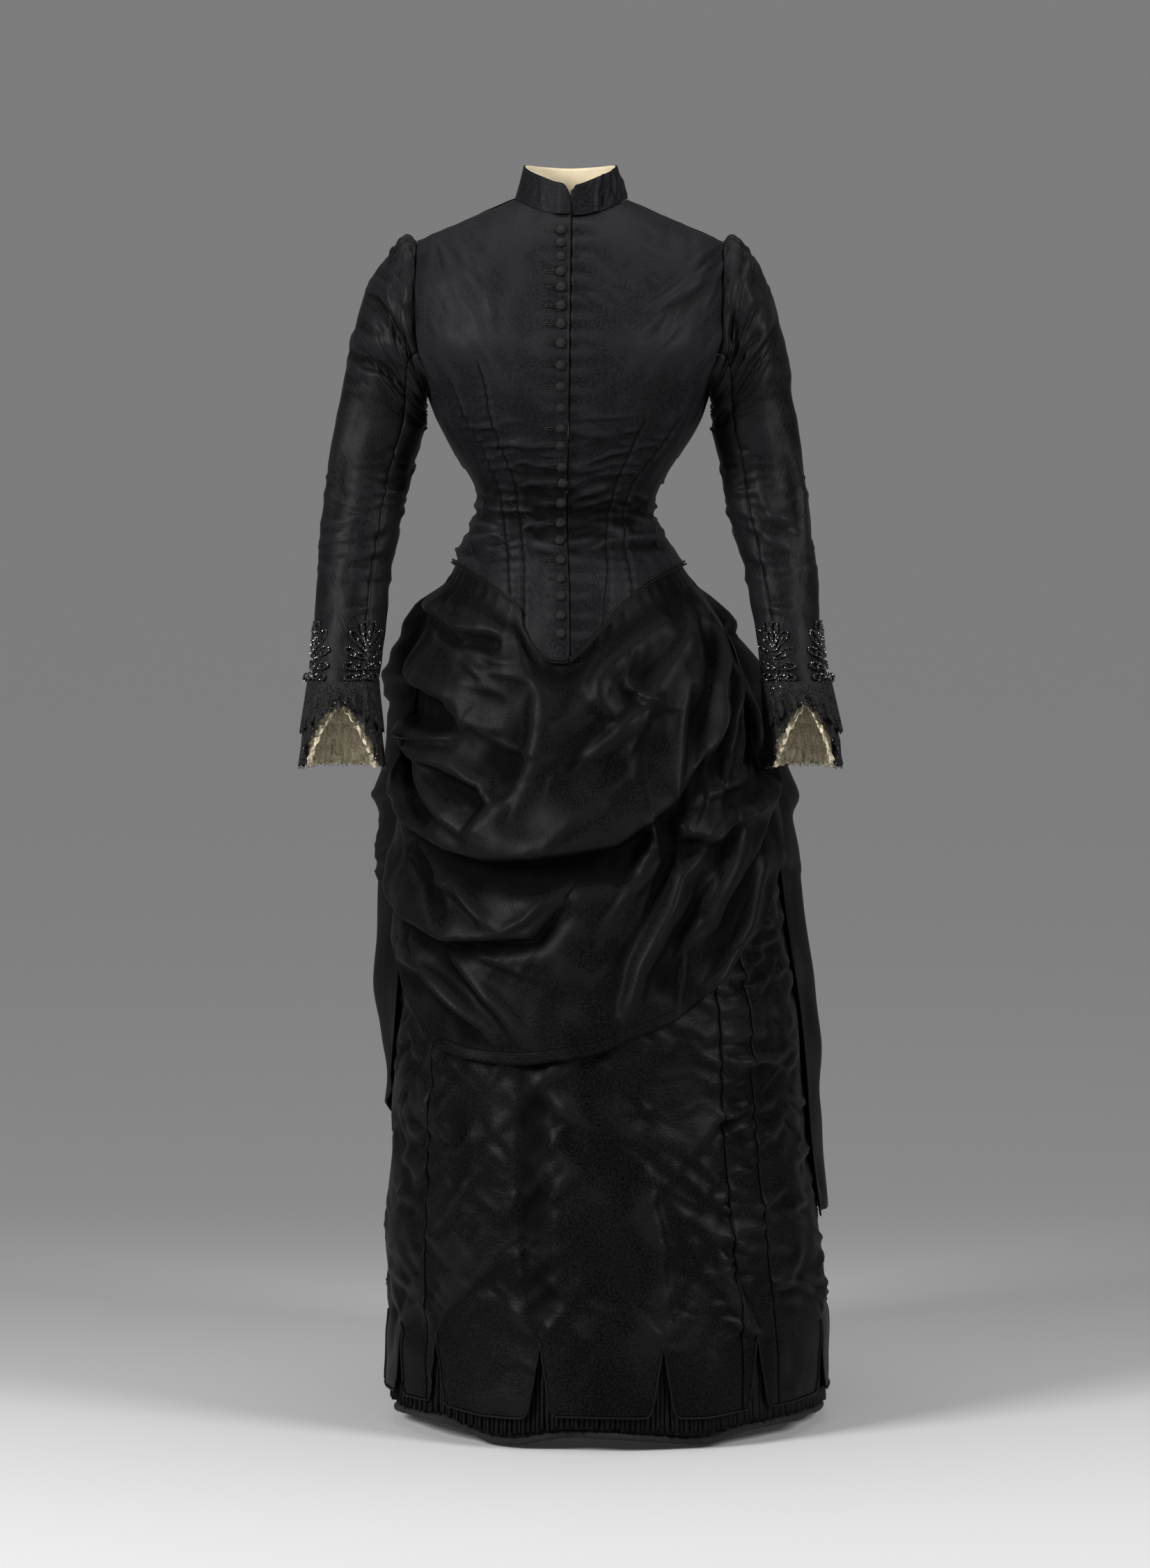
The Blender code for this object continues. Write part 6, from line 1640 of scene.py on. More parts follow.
@dataclass
class Cuffs:
    """Black lace frill, cream lace inside it and beaded scrolls at each wrist."""

    maker: Maker
    wrist: float = 0.774
    fall: float = 0.082
    notch_turn: float = 88.0
    notch_reach: float = 72.0
    notch_rise: float = 0.075
    shifts: dict[int, float] = field(default_factory=lambda: {1: 0.008, -1: -0.001})
    flares: dict[int, float] = field(default_factory=lambda: {1: 0.0010, -1: 0.0065})
    bead: float = 0.00082
    degree: float = 0.00066
    fan_height: float = 0.796
    crumple: Ripple = field(default_factory=lambda: Ripple(51))

    # Loops of a fan: place up its stem, lean in degrees, length and half width in metres
    loops = tuple((up, sign * lean, long, wide) for up, lean, long, wide in (
        (0.024, 12, 0.026, 0.0054), (0.020, 42, 0.027, 0.0050), (0.012, 66, 0.025, 0.0046),
        (0.002, 82, 0.023, 0.0044), (-0.007, 92, 0.021, 0.0042), (-0.016, 100, 0.019, 0.0040),
        (-0.025, 108, 0.016, 0.0036),
    ) for sign in (-1.0, 1.0))

    @staticmethod
    def turns(count: int) -> np.ndarray:
        """A row of degrees all round a wrist."""
        columns = fine(count)
        return (np.arange(columns) * 360.0 / columns)[None, :]

    @staticmethod
    def sway(turn: np.ndarray, side: float) -> np.ndarray:
        """The frill's main waves at its lower edge."""
        around = np.radians(turn)
        return np.sin(13.0 * around + 1.5 * np.sin(3.0 * around + side))

    def notch(self, turn: np.ndarray) -> np.ndarray:
        """How much the frill is drawn up towards the point of its opening, from 0 to 1."""
        off = np.abs(np.mod(turn - self.notch_turn + 180.0, 360.0) - 180.0)
        return np.clip(1.0 - off / self.notch_reach, 0.0, 1.0) ** 0.85

    def ring(self, side: float, turn: np.ndarray, share: np.ndarray,
             flare: np.ndarray) -> tuple[np.ndarray, np.ndarray]:
        """Places round the cuff: share is 0 where it is sewn on and 1 at its lower edge."""
        level = self.wrist + 0.0 * (turn + share)
        end, inward = SleeveForm.ring(side, turn + 0.0 * share, level)
        moved = end - inward * flare[..., None]
        moved[..., 0] += self.shifts[int(side)] * share
        moved[..., 1] -= 0.008 * share
        return moved, inward

    def frill(self, side: float, word: str) -> None:
        """The ruffled black lace with its ragged edge."""
        turn = self.turns(240)
        share = np.linspace(0.0, 1.0, fine(24))[:, None]
        notch = self.notch(turn)
        around = np.radians(turn)
        sway = self.sway(turn, side) + 0.5 * np.sin(29.0 * around + 2.0 * share)
        ragged = 0.0030 * np.abs(np.sin(24.0 * around))
        ragged = ragged + 0.0022 * self.crumple.read(turn * 0.5, share * 0.0 + side)
        flare = self.flares[int(side)] * share + 0.0033 * sway * share ** 0.8 + 0.0012
        points, inward = self.ring(side, turn, share, flare + 0.0 * share)
        drop = self.fall - self.notch_rise * notch - 0.0022 + ragged
        points[..., 2] = self.wrist + 0.003 - drop * share
        skin = Skin(points, -inward, True)
        skin = skin.raised(0.0010 * self.crumple.read(turn * 0.06, share * 5.0))
        self.maker.cloth("cuff_frill_%s_lace" % word, skin, 0.0006, Finish.BLACK_LACE,
                         ["cuff_frill_" + word], "gathered")
        flare = self.flares[int(side)] * share * 0.6 + 0.0028
        flare = flare + 0.0030 * np.sin(17.0 * around + 2.0) * share
        points, inward = self.ring(side, turn + 5.0, share, flare)
        points[..., 2] = self.wrist + 0.010 - (0.050 - 0.030 * notch + 1.6 * ragged) * share
        self.maker.cloth("cuff_frill_%s_upper_lace" % word, Skin(points, -inward, True), 0.0006,
                         Finish.BLACK_LACE, (), "gathered")

    def cream(self, side: float, word: str) -> None:
        """The ruched cream lace that stands inside the frill."""
        turn = self.turns(220)
        share = np.linspace(0.10, 1.0, fine(26))[:, None]
        notch = self.notch(turn)
        around = np.radians(turn)
        ruche = np.sin(31.0 * around + 2.0 * np.sin(5.0 * around)) * (0.0006 + 0.0018 * share)
        flare = -0.0046 + self.flares[int(side)] * share * 0.8 + ruche
        points, inward = self.ring(side, turn, share, flare)
        beyond = 0.0085 * soft_step(notch, 0.02, 0.35) - 0.003
        points[..., 2] = self.wrist - (self.fall - self.notch_rise * notch + beyond) * share \
            + 0.0018 * np.sin(43.0 * around) * share
        skin = Skin(points, -inward, True)
        skin = skin.raised(0.0022 * self.crumple.read(turn * 0.15, share * 14.0))
        self.maker.cloth("cuff_lace_%s_ruche" % word, skin, 0.0007, Finish.CREAM_LACE,
                         ["cuff_lace_" + word], "gathered")

    def loop(self, base: float, lean: float, long: float, wide: float, count: int) -> np.ndarray:
        """Places across and up a fan, round one of its loops."""
        turn = np.linspace(0.0, 2.0 * math.pi, count, endpoint=False)
        run = 0.5 * long * (1.0 - np.cos(turn))
        off = wide * np.sin(turn) * (0.40 + 0.60 * run / long)
        tilt = math.radians(lean)
        return np.stack([run * math.sin(tilt) + off * math.cos(tilt),
                         base + run * math.cos(tilt) - off * math.sin(tilt)], axis=-1)

    def on_fan(self, side: float, middle: float,
               spot: np.ndarray) -> tuple[np.ndarray, np.ndarray]:
        """Points on the sleeve at places across and up a fan, and the directions inwards."""
        return SleeveForm.ring(side, middle + spot[:, 0] / self.degree, self.fan_height + spot[:, 1])

    def scrolls(self, side: float, word: str) -> None:
        """Beaded loops in two fans at each wrist."""
        for label, middle in (("front", 122.0), ("back", 26.0)):
            rng = np.random.default_rng(int(middle) + 100 + int(10 * side))
            places = []
            for up, lean, long, wide in self.loops:
                for inset in (1.0, 0.60):
                    count = int(2.3 * long * inset / (1.9 * self.bead)) + 4
                    spot = self.loop(up, lean, long * inset, wide * inset, count)
                    places.append(spot + rng.normal(0.0, 0.0004, spot.shape))
            stem = [rng.normal(0.0, 0.0030, 90), rng.uniform(-0.034, 0.024, 90)]
            places.append(np.stack(stem, axis=-1))
            spot = np.vstack(places)
            size = self.bead * rng.uniform(0.8, 1.25, len(spot))
            base, inward = self.on_fan(side, middle, spot)
            points = base - inward * (0.0022 + rng.uniform(0.2, 1.6, len(spot)) * size)[:, None]
            name = "cuff_beads_%s_%s" % (label, word)
            self.maker.beads(name + "_scrolls", points, size, Finish.JET, [name])
            paths = []
            for up, lean, long, wide in self.loops:
                spot = self.loop(up, lean, long, wide, fine(40))
                base, inward = self.on_fan(side, middle, spot)
                paths.append(base - inward * 0.0018)
            self.maker.cord(name + "_cord", paths, 0.0009, 6, Finish.BUTTON, closed=True)

    def fringe(self, side: float, word: str) -> None:
        """Beads along the frill's lower edge and a beaded ball at the outer side."""
        count, ball_size = 60, 0.0048
        turn = np.linspace(0.0, 360.0, 150, endpoint=False)
        rng = np.random.default_rng(7)
        notch = self.notch(turn)
        share = np.ones_like(turn)
        flare = self.flares[int(side)] + 0.0033 * self.sway(turn, side) + 0.0016
        points, _ = self.ring(side, turn, share, flare)
        points[:, 2] = self.wrist + 0.004 - (self.fall - self.notch_rise * notch) \
            - rng.uniform(0.0, 0.004, len(turn))
        size = self.bead * rng.uniform(0.6, 0.95, len(turn))
        ball_turn, ball_up = rng.uniform(0.0, 2.0 * math.pi, count), rng.uniform(-1.0, 1.0, count)
        flat = np.sqrt(1.0 - ball_up ** 2)
        ball = np.stack([flat * np.cos(ball_turn), flat * np.sin(ball_turn), ball_up], axis=-1)
        base, inward = SleeveForm.ring(side, np.array([-8.0]), np.array([0.786]))
        ball = base - inward * 0.0045 + ball * ball_size
        self.maker.beads("cuff_fringe_%s_beads" % word, np.vstack([points, ball]),
                         np.concatenate([size, np.full(count, 0.0012)]), Finish.JET)

    def build(self) -> None:
        """Both cuffs."""
        for side, word in ((-1.0, "right"), (1.0, "left")):
            self.frill(side, word)
            self.cream(side, word)
            self.scrolls(side, word)
            self.fringe(side, word)


@dataclass
class Apron:
    """The overskirt's front, drawn up at both hips."""

    maker: Maker
    thick: float = 0.0016
    degree: float = 0.0030
    columns: int = 232
    rows: int = 184
    half_turn: float = 88.8
    crumple: Ripple = field(default_factory=lambda: Ripple(61))
    wrinkles: tuple[Wrinkles, ...] = scattered(
        # seed, count, across, up, long, wide, lean, ridge
        (1, 26, (-0.26, -0.06), (0.48, 0.86), (0.03, 0.07), (0.003, 0.006), (-45, -5), 0.0022),
        (2, 22, (0.05, 0.25), (0.48, 0.86), (0.04, 0.08), (0.003, 0.006), (50, 85), 0.0022),
        (3, 18, (-0.10, 0.10), (0.42, 0.78), (0.03, 0.06), (0.003, 0.005), (20, 70), 0.0012),
    )

    def relief(self, angle: np.ndarray, height: np.ndarray) -> np.ndarray:
        """Crisp folds and small wrinkles over the main folds."""
        across = angle * self.degree
        scale = SkirtForm.arc(angle, height)
        total = 1.35 * fold_relief(angle, height, scale, APRON_DETAILS.values())
        total += 0.0035 * self.crumple.read(across / 0.060, height / 0.045)
        total += 0.0012 * self.crumple.read(across / 0.022 + 9.0, height / 0.030)
        for wrinkles in self.wrinkles:
            total += wrinkles.relief(across, height)
        below = BODICE_EDGE.read("height", angle) - height
        return total * soft_step(below, 0.010, 0.04)

    def build(self) -> None:
        """The apron."""
        angle = np.linspace(-self.half_turn, self.half_turn, fine(self.columns))
        hem = APRON_HEM.read("height", angle)
        share = np.linspace(0.0, 1.0, fine(self.rows))
        height = hem[None, :] + (SKIRT_TOP - hem)[None, :] * share[:, None]
        angle = angle[None, :] + 0.0 * height
        out = apron_out(angle, height) + self.relief(angle, height)
        floor = 0.0030 + 0.0005 * np.sin(angle * 0.9)
        out = floor + 0.5 * (out - floor + np.sqrt((out - floor) ** 2 + 2e-6))
        points, away = SkirtForm.surface(angle, height, out)
        skin = Skin(points, away, stitch=hem_stitch(height, hem))
        self.maker.cloth("apron_drape_cloth", skin, self.thick, Finish.DRAPED, ["apron_drape"],
                         "draped")


@dataclass
class BackDrape:
    """The overskirt's back, looped up over the bustle."""

    maker: Maker
    thick: float = 0.0016
    degree: float = 0.0045
    half_turn: float = 95.0
    columns: int = 184
    rows: int = 140
    crumple: Ripple = field(default_factory=lambda: Ripple(71))
    wrinkles: tuple[Wrinkles, ...] = scattered(
        # seed, count, across, up, long, wide, lean, ridge
        (4, 60, (0.42, 0.80), (0.56, 0.88), (0.05, 0.10), (0.004, 0.008), (-25, 25), 0.0035),
        (5, 46, (0.40, 1.20), (0.20, 0.60), (0.05, 0.11), (0.004, 0.007), (60, 120), 0.0025),
        (6, 60, (0.80, 1.22), (0.56, 0.88), (0.05, 0.10), (0.004, 0.008), (-25, 25), 0.0035),
    )

    def build(self) -> None:
        """The draped back."""
        part = np.linspace(-1.0, 1.0, fine(self.columns))
        share = np.linspace(0.0, 1.0, fine(self.rows))
        hem = DRAPE_HEM.read("height", 180.0 + self.half_turn * part)
        height = hem[None, :] + (SKIRT_TOP - hem)[None, :] * share[:, None]
        reach = self.half_turn - 4.4 * soft_step(height, 0.80, 0.86)
        angle = 180.0 + reach * part[None, :]
        points, away = SkirtForm.surface(angle, height, drape_out(angle, height))
        across = angle * self.degree
        free = soft_step(self.half_turn - np.abs(angle - 180.0), 2.0, 14.0)
        relief = 0.0045 * self.crumple.read(across / 0.09, height / 0.08)
        relief = relief + 0.0018 * self.crumple.read(across / 0.03 + 5.0, height / 0.06)
        for wrinkles in self.wrinkles:
            relief = relief + wrinkles.relief(across, height)
        relief = relief * soft_step(0.95 - height, 0.06, 0.12) * (0.15 + 0.85 * free)
        skin = Skin(points, away, stitch=hem_stitch(height, hem)).raised(relief)
        self.maker.cloth("back_drape_cloth", skin, self.thick, Finish.DRAPED, ["back_drape"],
                         "draped")


@dataclass
class Skirt:
    """The satin skirt, cut into piped tabs at the hem."""

    maker: Maker
    thick: float = 0.0014
    degree: float = 0.0041
    length: float = 0.945
    seams: tuple[tuple[str, float, float], ...] = (
        ("skirt_front", -54.0, 36.0), ("skirt_gore_left", 36.0, 48.0), ("skirt_side_left", 48.0, 104.0),
        ("skirt_back_left", 104.0, 180.0), ("skirt_back_right", 180.0, 256.0),
        ("skirt_side_right", 256.0, 306.0))
    slits: tuple[float, ...] = (-68.0, -49.5, -17.7, 13.6, 41.0, 72.0, 98.0, 118.5, 139.5, 161.5,
                                184.0, 206.0, 227.5, 249.0, 270.5)
    hem: float = 0.032
    corner: float = 0.012
    slit_top: float = 0.112
    half_slit: float = 0.0105
    cell: float = 0.0036
    crumple: Ripple = field(default_factory=lambda: Ripple(83))
    wrinkles: tuple[Wrinkles, ...] = scattered(
        # seed, count, across, up, long, wide, lean, ridge
        (11, 44, (-0.26, -0.04), (0.12, 0.46), (0.040, 0.090), (0.005, 0.011), (30, 52), 0.0020),
        (12, 40, (-0.26, -0.04), (0.12, 0.46), (0.035, 0.080), (0.005, 0.010), (-50, -28), 0.0018),
        (13, 34, (-0.05, 0.14), (0.12, 0.48), (0.035, 0.090), (0.005, 0.011), (-48, -22), 0.0016),
        (14, 26, (-0.05, 0.14), (0.12, 0.48), (0.030, 0.080), (0.005, 0.010), (25, 55), 0.0014),
        (15, 62, (0.125, 0.22), (0.12, 0.60), (0.016, 0.044), (0.0032, 0.0056), (-24, 12), 0.0046),
        (16, 60, (0.20, 0.34), (0.12, 0.60), (0.020, 0.060), (0.0035, 0.0066), (-25, 25), 0.0040),
        (17, 44, (-0.34, -0.22), (0.12, 0.50), (0.022, 0.060), (0.0040, 0.0080), (-30, 60), 0.0028),
        (20, 130, (-0.24, 0.14), (0.06, 0.48), (0.014, 0.036), (0.0022, 0.0045), (-55, 55), 0.0012),
        (18, 130, (0.34, 0.74), (0.12, 0.46), (0.02, 0.06), (0.0025, 0.005), (-60, 60), 0.0020),
        (19, 130, (-0.74, -0.34), (0.12, 0.46), (0.02, 0.06), (0.0025, 0.005), (-60, 60), 0.0020),
    )
    folds: tuple[Fold, ...] = (
        Fold(-0.0048, 0.014, 0.018, ((-17.0, 0.150), (-18.5, 0.250), (-19.5, 0.440)), 0),
        Fold(0.0030, 0.020, 0.010, ((13.0, 0.110), (15.0, 0.200), (12.0, 0.300))),
        Fold(0.0040, 0.010, 0.008, ((41.0, 0.112), (36.0, 0.150), (31.0, 0.215))),
        Fold(0.0014, 0.014, 0.012, ((-17.7, 0.114), (-24.0, 0.135), (-34.0, 0.150))),
        Fold(0.0030, 0.010, 0.008, ((-49.5, 0.120), (-42.0, 0.150), (-30.0, 0.190))),
    )

    @staticmethod
    def from_line(angle: np.ndarray, line: float) -> np.ndarray:
        """Degrees from an upright line the shorter way round, from -180 to 180."""
        return np.mod(angle - line + 180.0, 360.0) - 180.0

    def relief(self, angle: np.ndarray, height: np.ndarray) -> np.ndarray:
        """Wrinkles of worn satin: short level ones by the side seams, slanting ones elsewhere."""
        folded = self.from_line(angle, 0.0)
        across = folded * self.degree
        total = 0.0030 * self.crumple.read(folded * 0.058, height / 0.080)
        total += 0.0012 * self.crumple.read(folded * 0.14 + 5.0, height / 0.035)
        for wrinkles in self.wrinkles:
            total += 1.3 * wrinkles.relief(across, height)
        total += fold_relief(folded, height, np.full(folded.shape, 0.0039), self.folds)
        for slit in self.slits:
            off = self.from_line(angle, slit) * self.degree
            rise = height - self.slit_top
            ray = hill(np.abs(off), 0.8 * rise, 0.006) * soft_step(rise, -0.002, 0.012)
            total += 0.0022 * ray * hill(np.maximum(rise, 0.0), 0.0, 0.05)
        for _, seam, _ in self.seams:
            total -= 0.0008 * hill(self.from_line(angle, seam) * self.degree, 0.0, 0.002)
        return total * (1.0 - soft_step(height, 0.56, 0.66))

    def tab_edge(self, distance: np.ndarray, width: np.ndarray, left: bool,
                 right: bool) -> tuple[np.ndarray, np.ndarray]:
        """How far a tab's lower edge shifts and rises near its corners."""
        shift, rise = 0.0 * distance, 0.0 * distance
        for there, from_edge, sign in ((left, distance, 1.0), (right, width - distance, -1.0)):
            if there:
                shift = shift + sign * self.half_slit * (1.0 - from_edge / width)
                inside = np.clip(self.corner - from_edge, 0.0, self.corner)
                rise = rise + self.corner - np.sqrt(self.corner ** 2 - inside ** 2)
        return shift, rise

    def panel(self, name: str, start: float, end: float) -> list[np.ndarray]:
        """One gore with its tabs; gives the outlines of the tabs for their piping."""
        cell = self.cell * (1.0 if abs(start) < 90.0 else 1.35) * 1.0
        turned = [slit + turn for slit in self.slits for turn in (-360.0, 0.0, 360.0)]
        slits = sorted(slit for slit in turned if start < slit < end)
        marks = [start] + slits + [end]
        seen = 0.60 if max(abs(start), abs(end - 360.0 * (end > 200.0))) < 120.0 else 0.48
        high = np.concatenate([np.linspace(SKIRT_TOP, seen, 20, endpoint=False),
                               np.linspace(seen, self.slit_top, int((seen - self.slit_top) / cell))])
        low = np.linspace(1.0, 0.0, max(4, int(0.09 / cell)))[1:]
        ids, angles, heights, count, outlines = [], [], [], 0, []
        for number in range(len(marks) - 1):
            left, right = number > 0, number < len(marks) - 2
            first = marks[number] + (0.0 if left else 0.04)
            last = marks[number + 1] - (0.0 if right else 0.04)
            scale = float(SkirtForm.arc(np.array((first + last) / 2.0), np.array(0.05)))
            width = (last - first) * scale
            share = np.linspace(0.0, 1.0, max(4, int(width / cell)))
            place = width * (share - np.sin(2.0 * math.pi * share) / (2.0 * math.pi) * 0.45)
            shift, rise = self.tab_edge(place, np.array(width), left, right)
            edge_angle = first + (place + shift) / scale
            edge = self.hem + 0.4 * hem_lift(edge_angle) + rise
            top_angle = first + place / scale
            tab_angle = edge_angle[None, :] + (top_angle - edge_angle)[None, :] * low[:, None]
            tab_height = edge[None, :] + (self.slit_top - edge)[None, :] * low[:, None]
            column_angle = np.vstack([top_angle[None, :] + 0.0 * high[:, None], tab_angle])
            column_height = np.vstack([high[:, None] + 0.0 * top_angle[None, :], tab_height])
            size = column_angle.size
            block = np.arange(size).reshape(column_angle.shape) + count
            if left:
                block[:len(high), 0] = ids[-1][:len(high), -1]
            ids.append(block)
            angles.append(column_angle.ravel())
            heights.append(column_height.ravel())
            count += size
            edges = np.stack([column_angle, column_height], axis=-1)
            outline = [edges[-1]]
            if left:
                outline.insert(0, edges[len(high) - 1:, 0])
            if right:
                outline.append(edges[len(high) - 1:, -1][::-1])
            outlines.append(np.vstack(outline))
        angle, height = np.concatenate(angles), np.concatenate(heights)
        base, away = SkirtForm.surface(angle, height, -0.0020 * soft_step(height, 0.80, 0.90))
        relief = self.relief(angle, height)
        outer = base + away * relief[:, None]
        lie = np.clip(np.stack([relief / 0.0035, relief / 0.0060, 0.0 * relief], axis=-1), -1.0, 1.0)
        faces = []
        for block in ids:
            corners = np.stack([block[:-1, :-1], block[1:, :-1], block[1:, 1:], block[:-1, 1:]], axis=-1)
            faces += [tuple(f) for f in corners.reshape(-1, 4).tolist()]
        directed = {(f[i], f[(i + 1) % 4]) for f in faces for i in range(4)}
        rims = [(b, a, a + count, b + count) for a, b in sorted(directed) if (b, a) not in directed]
        back = [tuple(i + count for i in reversed(f)) for f in faces]
        grain = np.stack([angle * self.degree, height, 0.0 * height], axis=-1)
        from_end = np.minimum(np.abs(angle - start), np.abs(angle - end)) * self.degree
        stitch = np.stack([np.clip(from_end, 0.0, 0.01), np.ones_like(angle), 0.0 * angle], axis=-1)
        piece = self.maker.add(name + "_cloth", np.vstack([outer, outer - away * self.thick]),
                               faces + back + rims, Finish.SATIN, [name],
                               grain=np.vstack([grain, grain]), stitch=np.vstack([stitch, stitch]),
                               lie=np.vstack([lie, lie]))
        used = np.unique(np.concatenate([block.ravel() for block in ids]))
        across = float((angle[used].max() - angle[used].min()) * self.degree)
        corners = np.array(faces)
        first = outer[corners[:, 2]] - outer[corners[:, 0]]
        second = outer[corners[:, 3]] - outer[corners[:, 1]]
        return outlines

    def build(self) -> None:
        """All gores and the piping of their tabs."""
        paths = []
        for name, start, end in self.seams:
            for outline in self.panel(name, start, end):
                points, away = SkirtForm.surface(outline[:, 0], outline[:, 1])
                relief = self.relief(outline[:, 0], outline[:, 1])
                paths.append(points + away * (relief + 0.0004)[:, None])
        self.maker.cord("tab_piping", paths, 0.00120, 6, Finish.PIPING)


@dataclass
class Hem:
    """Knife-pleated flounce, foundation band and wool braid under the tabs."""

    maker: Maker
    pleats: int = 280
    braid_radius: float = 0.0041

    # One knife pleat: share of its pitch, and how far out
    profile = ((0.0, 0.0), (0.05, 0.0014), (0.45, 0.0027), (0.80, 0.0031), (0.93, 0.0024),
               (0.97, 0.0006))

    def flounce(self) -> None:
        """Four lengths of narrow knife pleats."""
        each = self.pleats // 4
        for number, word in enumerate(("left_front", "left_back", "right_back", "right_front")):
            first, last = number * 90.0 + 0.05, number * 90.0 + 89.95
            dense = np.linspace(first, last, 600)
            steps = SkirtForm.arc(dense[:-1], 0.06 + 0.0 * dense[:-1]) * np.diff(dense)
            lengths = np.concatenate([[0.0], np.cumsum(steps)])
            pitch = lengths[-1] / each
            places = np.array([p * pitch + at * pitch for p in range(each) for at, _ in self.profile])
            lifts = np.tile([out for _, out in self.profile], each)
            which = np.repeat(np.arange(each), len(self.profile)) + 7 * number
            angle = np.interp(places, lengths, dense)
            share = np.linspace(0.0, 1.0, 9)[:, None]
            top, bottom = 0.122, 0.0125 + 0.9 * hem_lift(angle)
            wobble = 0.0012 * np.sin(which * 2.3) + 0.0009 * np.sin(which * 5.7)
            height = top + (bottom - top + wobble)[None, :] * share
            lean = 0.16 * np.sin(which * 1.7)[None, :] * share ** 2
            out = -0.0068 + (-0.0080 + 0.0068) * share + lifts[None, :] * (0.7 + 0.5 * share)
            out = out + 0.0008 * np.sin(which * 3.1)[None, :] * share
            points, away = SkirtForm.surface(angle[None, :] + lean, height, out)
            self.maker.cloth("flounce_%s_pleats" % word, Skin(points, away), 0.0006,
                             Finish.PIPING, ["flounce_" + word], "folded")

    @staticmethod
    def wave(angle: np.ndarray) -> np.ndarray:
        """How the stiff hem sways in and out."""
        turn = np.radians(angle)
        return 0.0022 * np.sin(13.0 * turn + 0.6) + 0.0010 * np.sin(23.0 * turn + 1.9)

    def foundation(self) -> None:
        """Band behind the flounce."""
        table = Table("share level rise out sway", [
            (0.0 / 3.0, 0.128, 0.0, -0.0088, 0.0), (1.0 / 3.0, 0.075, 0.3, -0.0110, 0.0),
            (2.0 / 3.0, 0.022, 0.6, -0.0125, 0.0), (3.0 / 3.0, 0.0070, 1.0, -0.0122, 1.0)])
        for word, first, last in (("left", 0.05, 179.95), ("right", 180.05, 359.95)):
            angle = np.linspace(first, last, fine(120))[None, :]
            share = np.linspace(0.0, 1.0, fine(14))[:, None]
            height = table.read("level", share) + table.read("rise", share) * hem_lift(angle)
            out = table.read("out", share) + table.read("sway", share) * self.wave(angle)
            points, away = SkirtForm.surface(angle + 0.0 * height, height, out)
            self.maker.cloth("foundation_band_%s_cloth" % word, Skin(points, away), 0.0014,
                             Finish.COTTON, ["foundation_band_" + word], "hung")

    def braid(self) -> None:
        """Thick wool braid round the lowest edge."""
        count = fine(600)
        angle = np.arange(count) * 360.0 / count
        path, _ = SkirtForm.surface(angle, 0.0034 + hem_lift(angle), -0.0125 + self.wave(angle))
        self.maker.cord("hem_braid_wool", [path], self.braid_radius, 10,
                        Finish.BRAID, ["hem_braid"], closed=True,
                        swell=lambda n: 0.93 + 0.04 * np.sin(n * 0.9) + 0.03 * np.sin(n * 2.7))

    def build(self) -> None:
        """All three."""
        self.flounce()
        self.foundation()
        self.braid()


# Studio


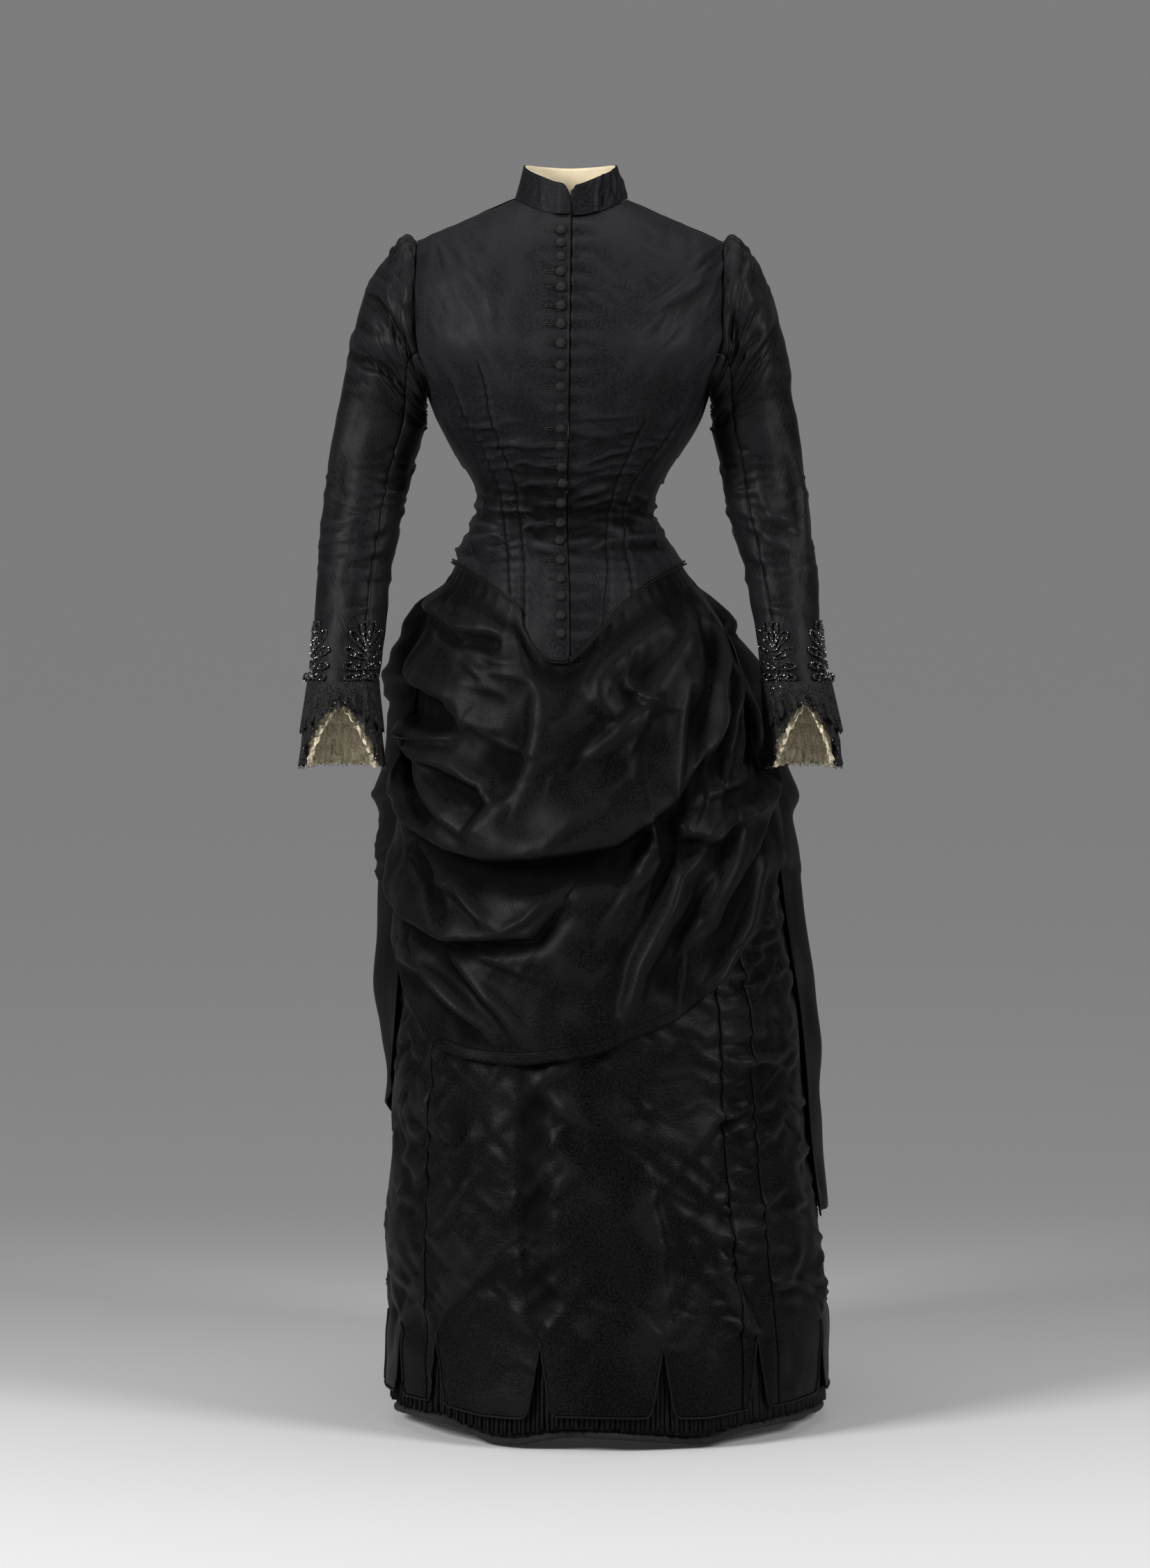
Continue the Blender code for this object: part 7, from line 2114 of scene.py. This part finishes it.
@dataclass
class Studio:
    """Pale floor running back to a far grey wall with a faint glow, soft lights and the camera."""

    floor: float = -1.2402
    wall: float = 16.0
    bend: float = 5.0
    reach: float = 16.0
    lens: float = 124.1
    distance: float = 5.706
    eye: float = -0.194
    tilt: float = 3.759
    paper: tuple[float, float, float] = (0.52, 0.52, 0.52)
    shade: tuple[float, float, float] = (0.050, 0.050, 0.050)
    glow: tuple[float, float, float] = (0.195, 0.196, 0.196)

    # Name, place, aim, size and watts of each soft box
    boxes = (
        ("key", (-3.2, -2.6, 1.5), (0.0, 0.0, -0.4), (1.3, 1.9), 290.0),
        ("fill", (3.2, -2.2, 1.4), (0.0, 0.0, -0.4), (1.2, 1.9), 170.0),
        ("top", (0.0, 0.5, 3.0), (0.0, 0.5, -1.0), (3.4, 2.4), 70.0),
    )

    def sweep(self) -> None:
        """Floor and wall as one curved sheet."""
        profile = [(-self.reach, self.floor), (self.wall - self.bend, self.floor)]
        for step in range(1, 25):
            turn = math.radians(90.0 * step / 24)
            profile.append((self.wall - self.bend + self.bend * math.sin(turn),
                            self.floor + self.bend * (1.0 - math.cos(turn))))
        profile.append((self.wall, 9.0))
        points = [(x, y, z) for x in (-self.reach, self.reach) for y, z in profile]
        count = len(profile)
        faces = [(i, i + 1, count + i + 1, count + i) for i in range(count - 1)]
        mesh = bpy.data.meshes.new("studio_sweep")
        mesh.from_pydata(points, [], faces)
        mesh.polygons.foreach_set("use_smooth", np.ones(len(faces), dtype=bool))
        paint = Paint("studio_paper")
        place = paint.place()
        back = paint.node("ShaderNodeSeparateXYZ", None, {0: place}, out=1)
        share = paint.node("ShaderNodeMapRange", {"interpolation_type": "SMOOTHSTEP"}, {
            "Value": back, "From Min": -0.7, "From Max": 1.7, "To Min": 0.0, "To Max": 1.0})
        base = paint.mix(share, colour(*self.paper), colour(*self.shade))
        glow = paint.mix(share, colour(0.0, 0.0, 0.0), colour(*self.glow))
        mesh.materials.append(paint.finish({"Base Color": base, "Emission Color": glow}, roughness=0.9,
                                           specular_ior_level=0.1, emission_strength=1.0))
        sheet = bpy.data.objects.new("studio_sweep", mesh)
        bpy.context.scene.collection.objects.link(sheet)

    def light(self, name: str, place: Sequence[float], aim: Sequence[float], size: Sequence[float],
              power: float) -> None:
        """One soft box."""
        lamp = bpy.data.lights.new(name, "AREA")
        lamp.shape = "RECTANGLE"
        lamp.size, lamp.size_y = size
        lamp.energy = power
        holder = bpy.data.objects.new(name, lamp)
        holder.location = place
        holder.rotation_mode = "QUATERNION"
        holder.rotation_quaternion = (Vector(aim) - Vector(place)).to_track_quat("-Z", "Y")
        bpy.context.scene.collection.objects.link(holder)

    def camera(self) -> None:
        """Camera at the photograph's height and distance."""
        data = bpy.data.cameras.new("camera")
        data.sensor_width, data.lens = 36.0, self.lens
        data.clip_end = 60.0
        holder = bpy.data.objects.new("camera", data)
        holder.location = (0.0084, -self.distance, self.eye)
        holder.rotation_euler = (math.radians(90.0 - self.tilt), 0.0, 0.0)
        bpy.context.scene.collection.objects.link(holder)
        bpy.context.scene.camera = holder

    def build(self) -> None:
        """Everything round the dress."""
        self.sweep()
        for box in self.boxes:
            self.light(*box)
        world = bpy.data.worlds.new("studio")
        world.use_nodes = True
        sky = world.node_tree.nodes["Background"]
        sky.inputs["Color"].default_value = colour(0.5, 0.5, 0.51)
        sky.inputs["Strength"].default_value = 0.03
        bpy.context.scene.world = world
        bpy.context.scene.view_settings.view_transform = "Standard"
        self.camera()


def main() -> None:
    """Builds every sub-assembly in order and reports it."""
    logging.basicConfig(level=logging.INFO, format="%(name)s: %(message)s")
    maker = Maker(Wardrobe())
    for kind in (Bodice, LowerEdge, Collar, Buttons, Sleeves, Cuffs, Apron, BackDrape, Skirt, Hem):
        kind(maker).build()
        log.info("%s is in place", kind.__name__)
    Studio().build()
    log.info("%d pieces", len(maker.made))


if __name__ == "__main__":
    main()
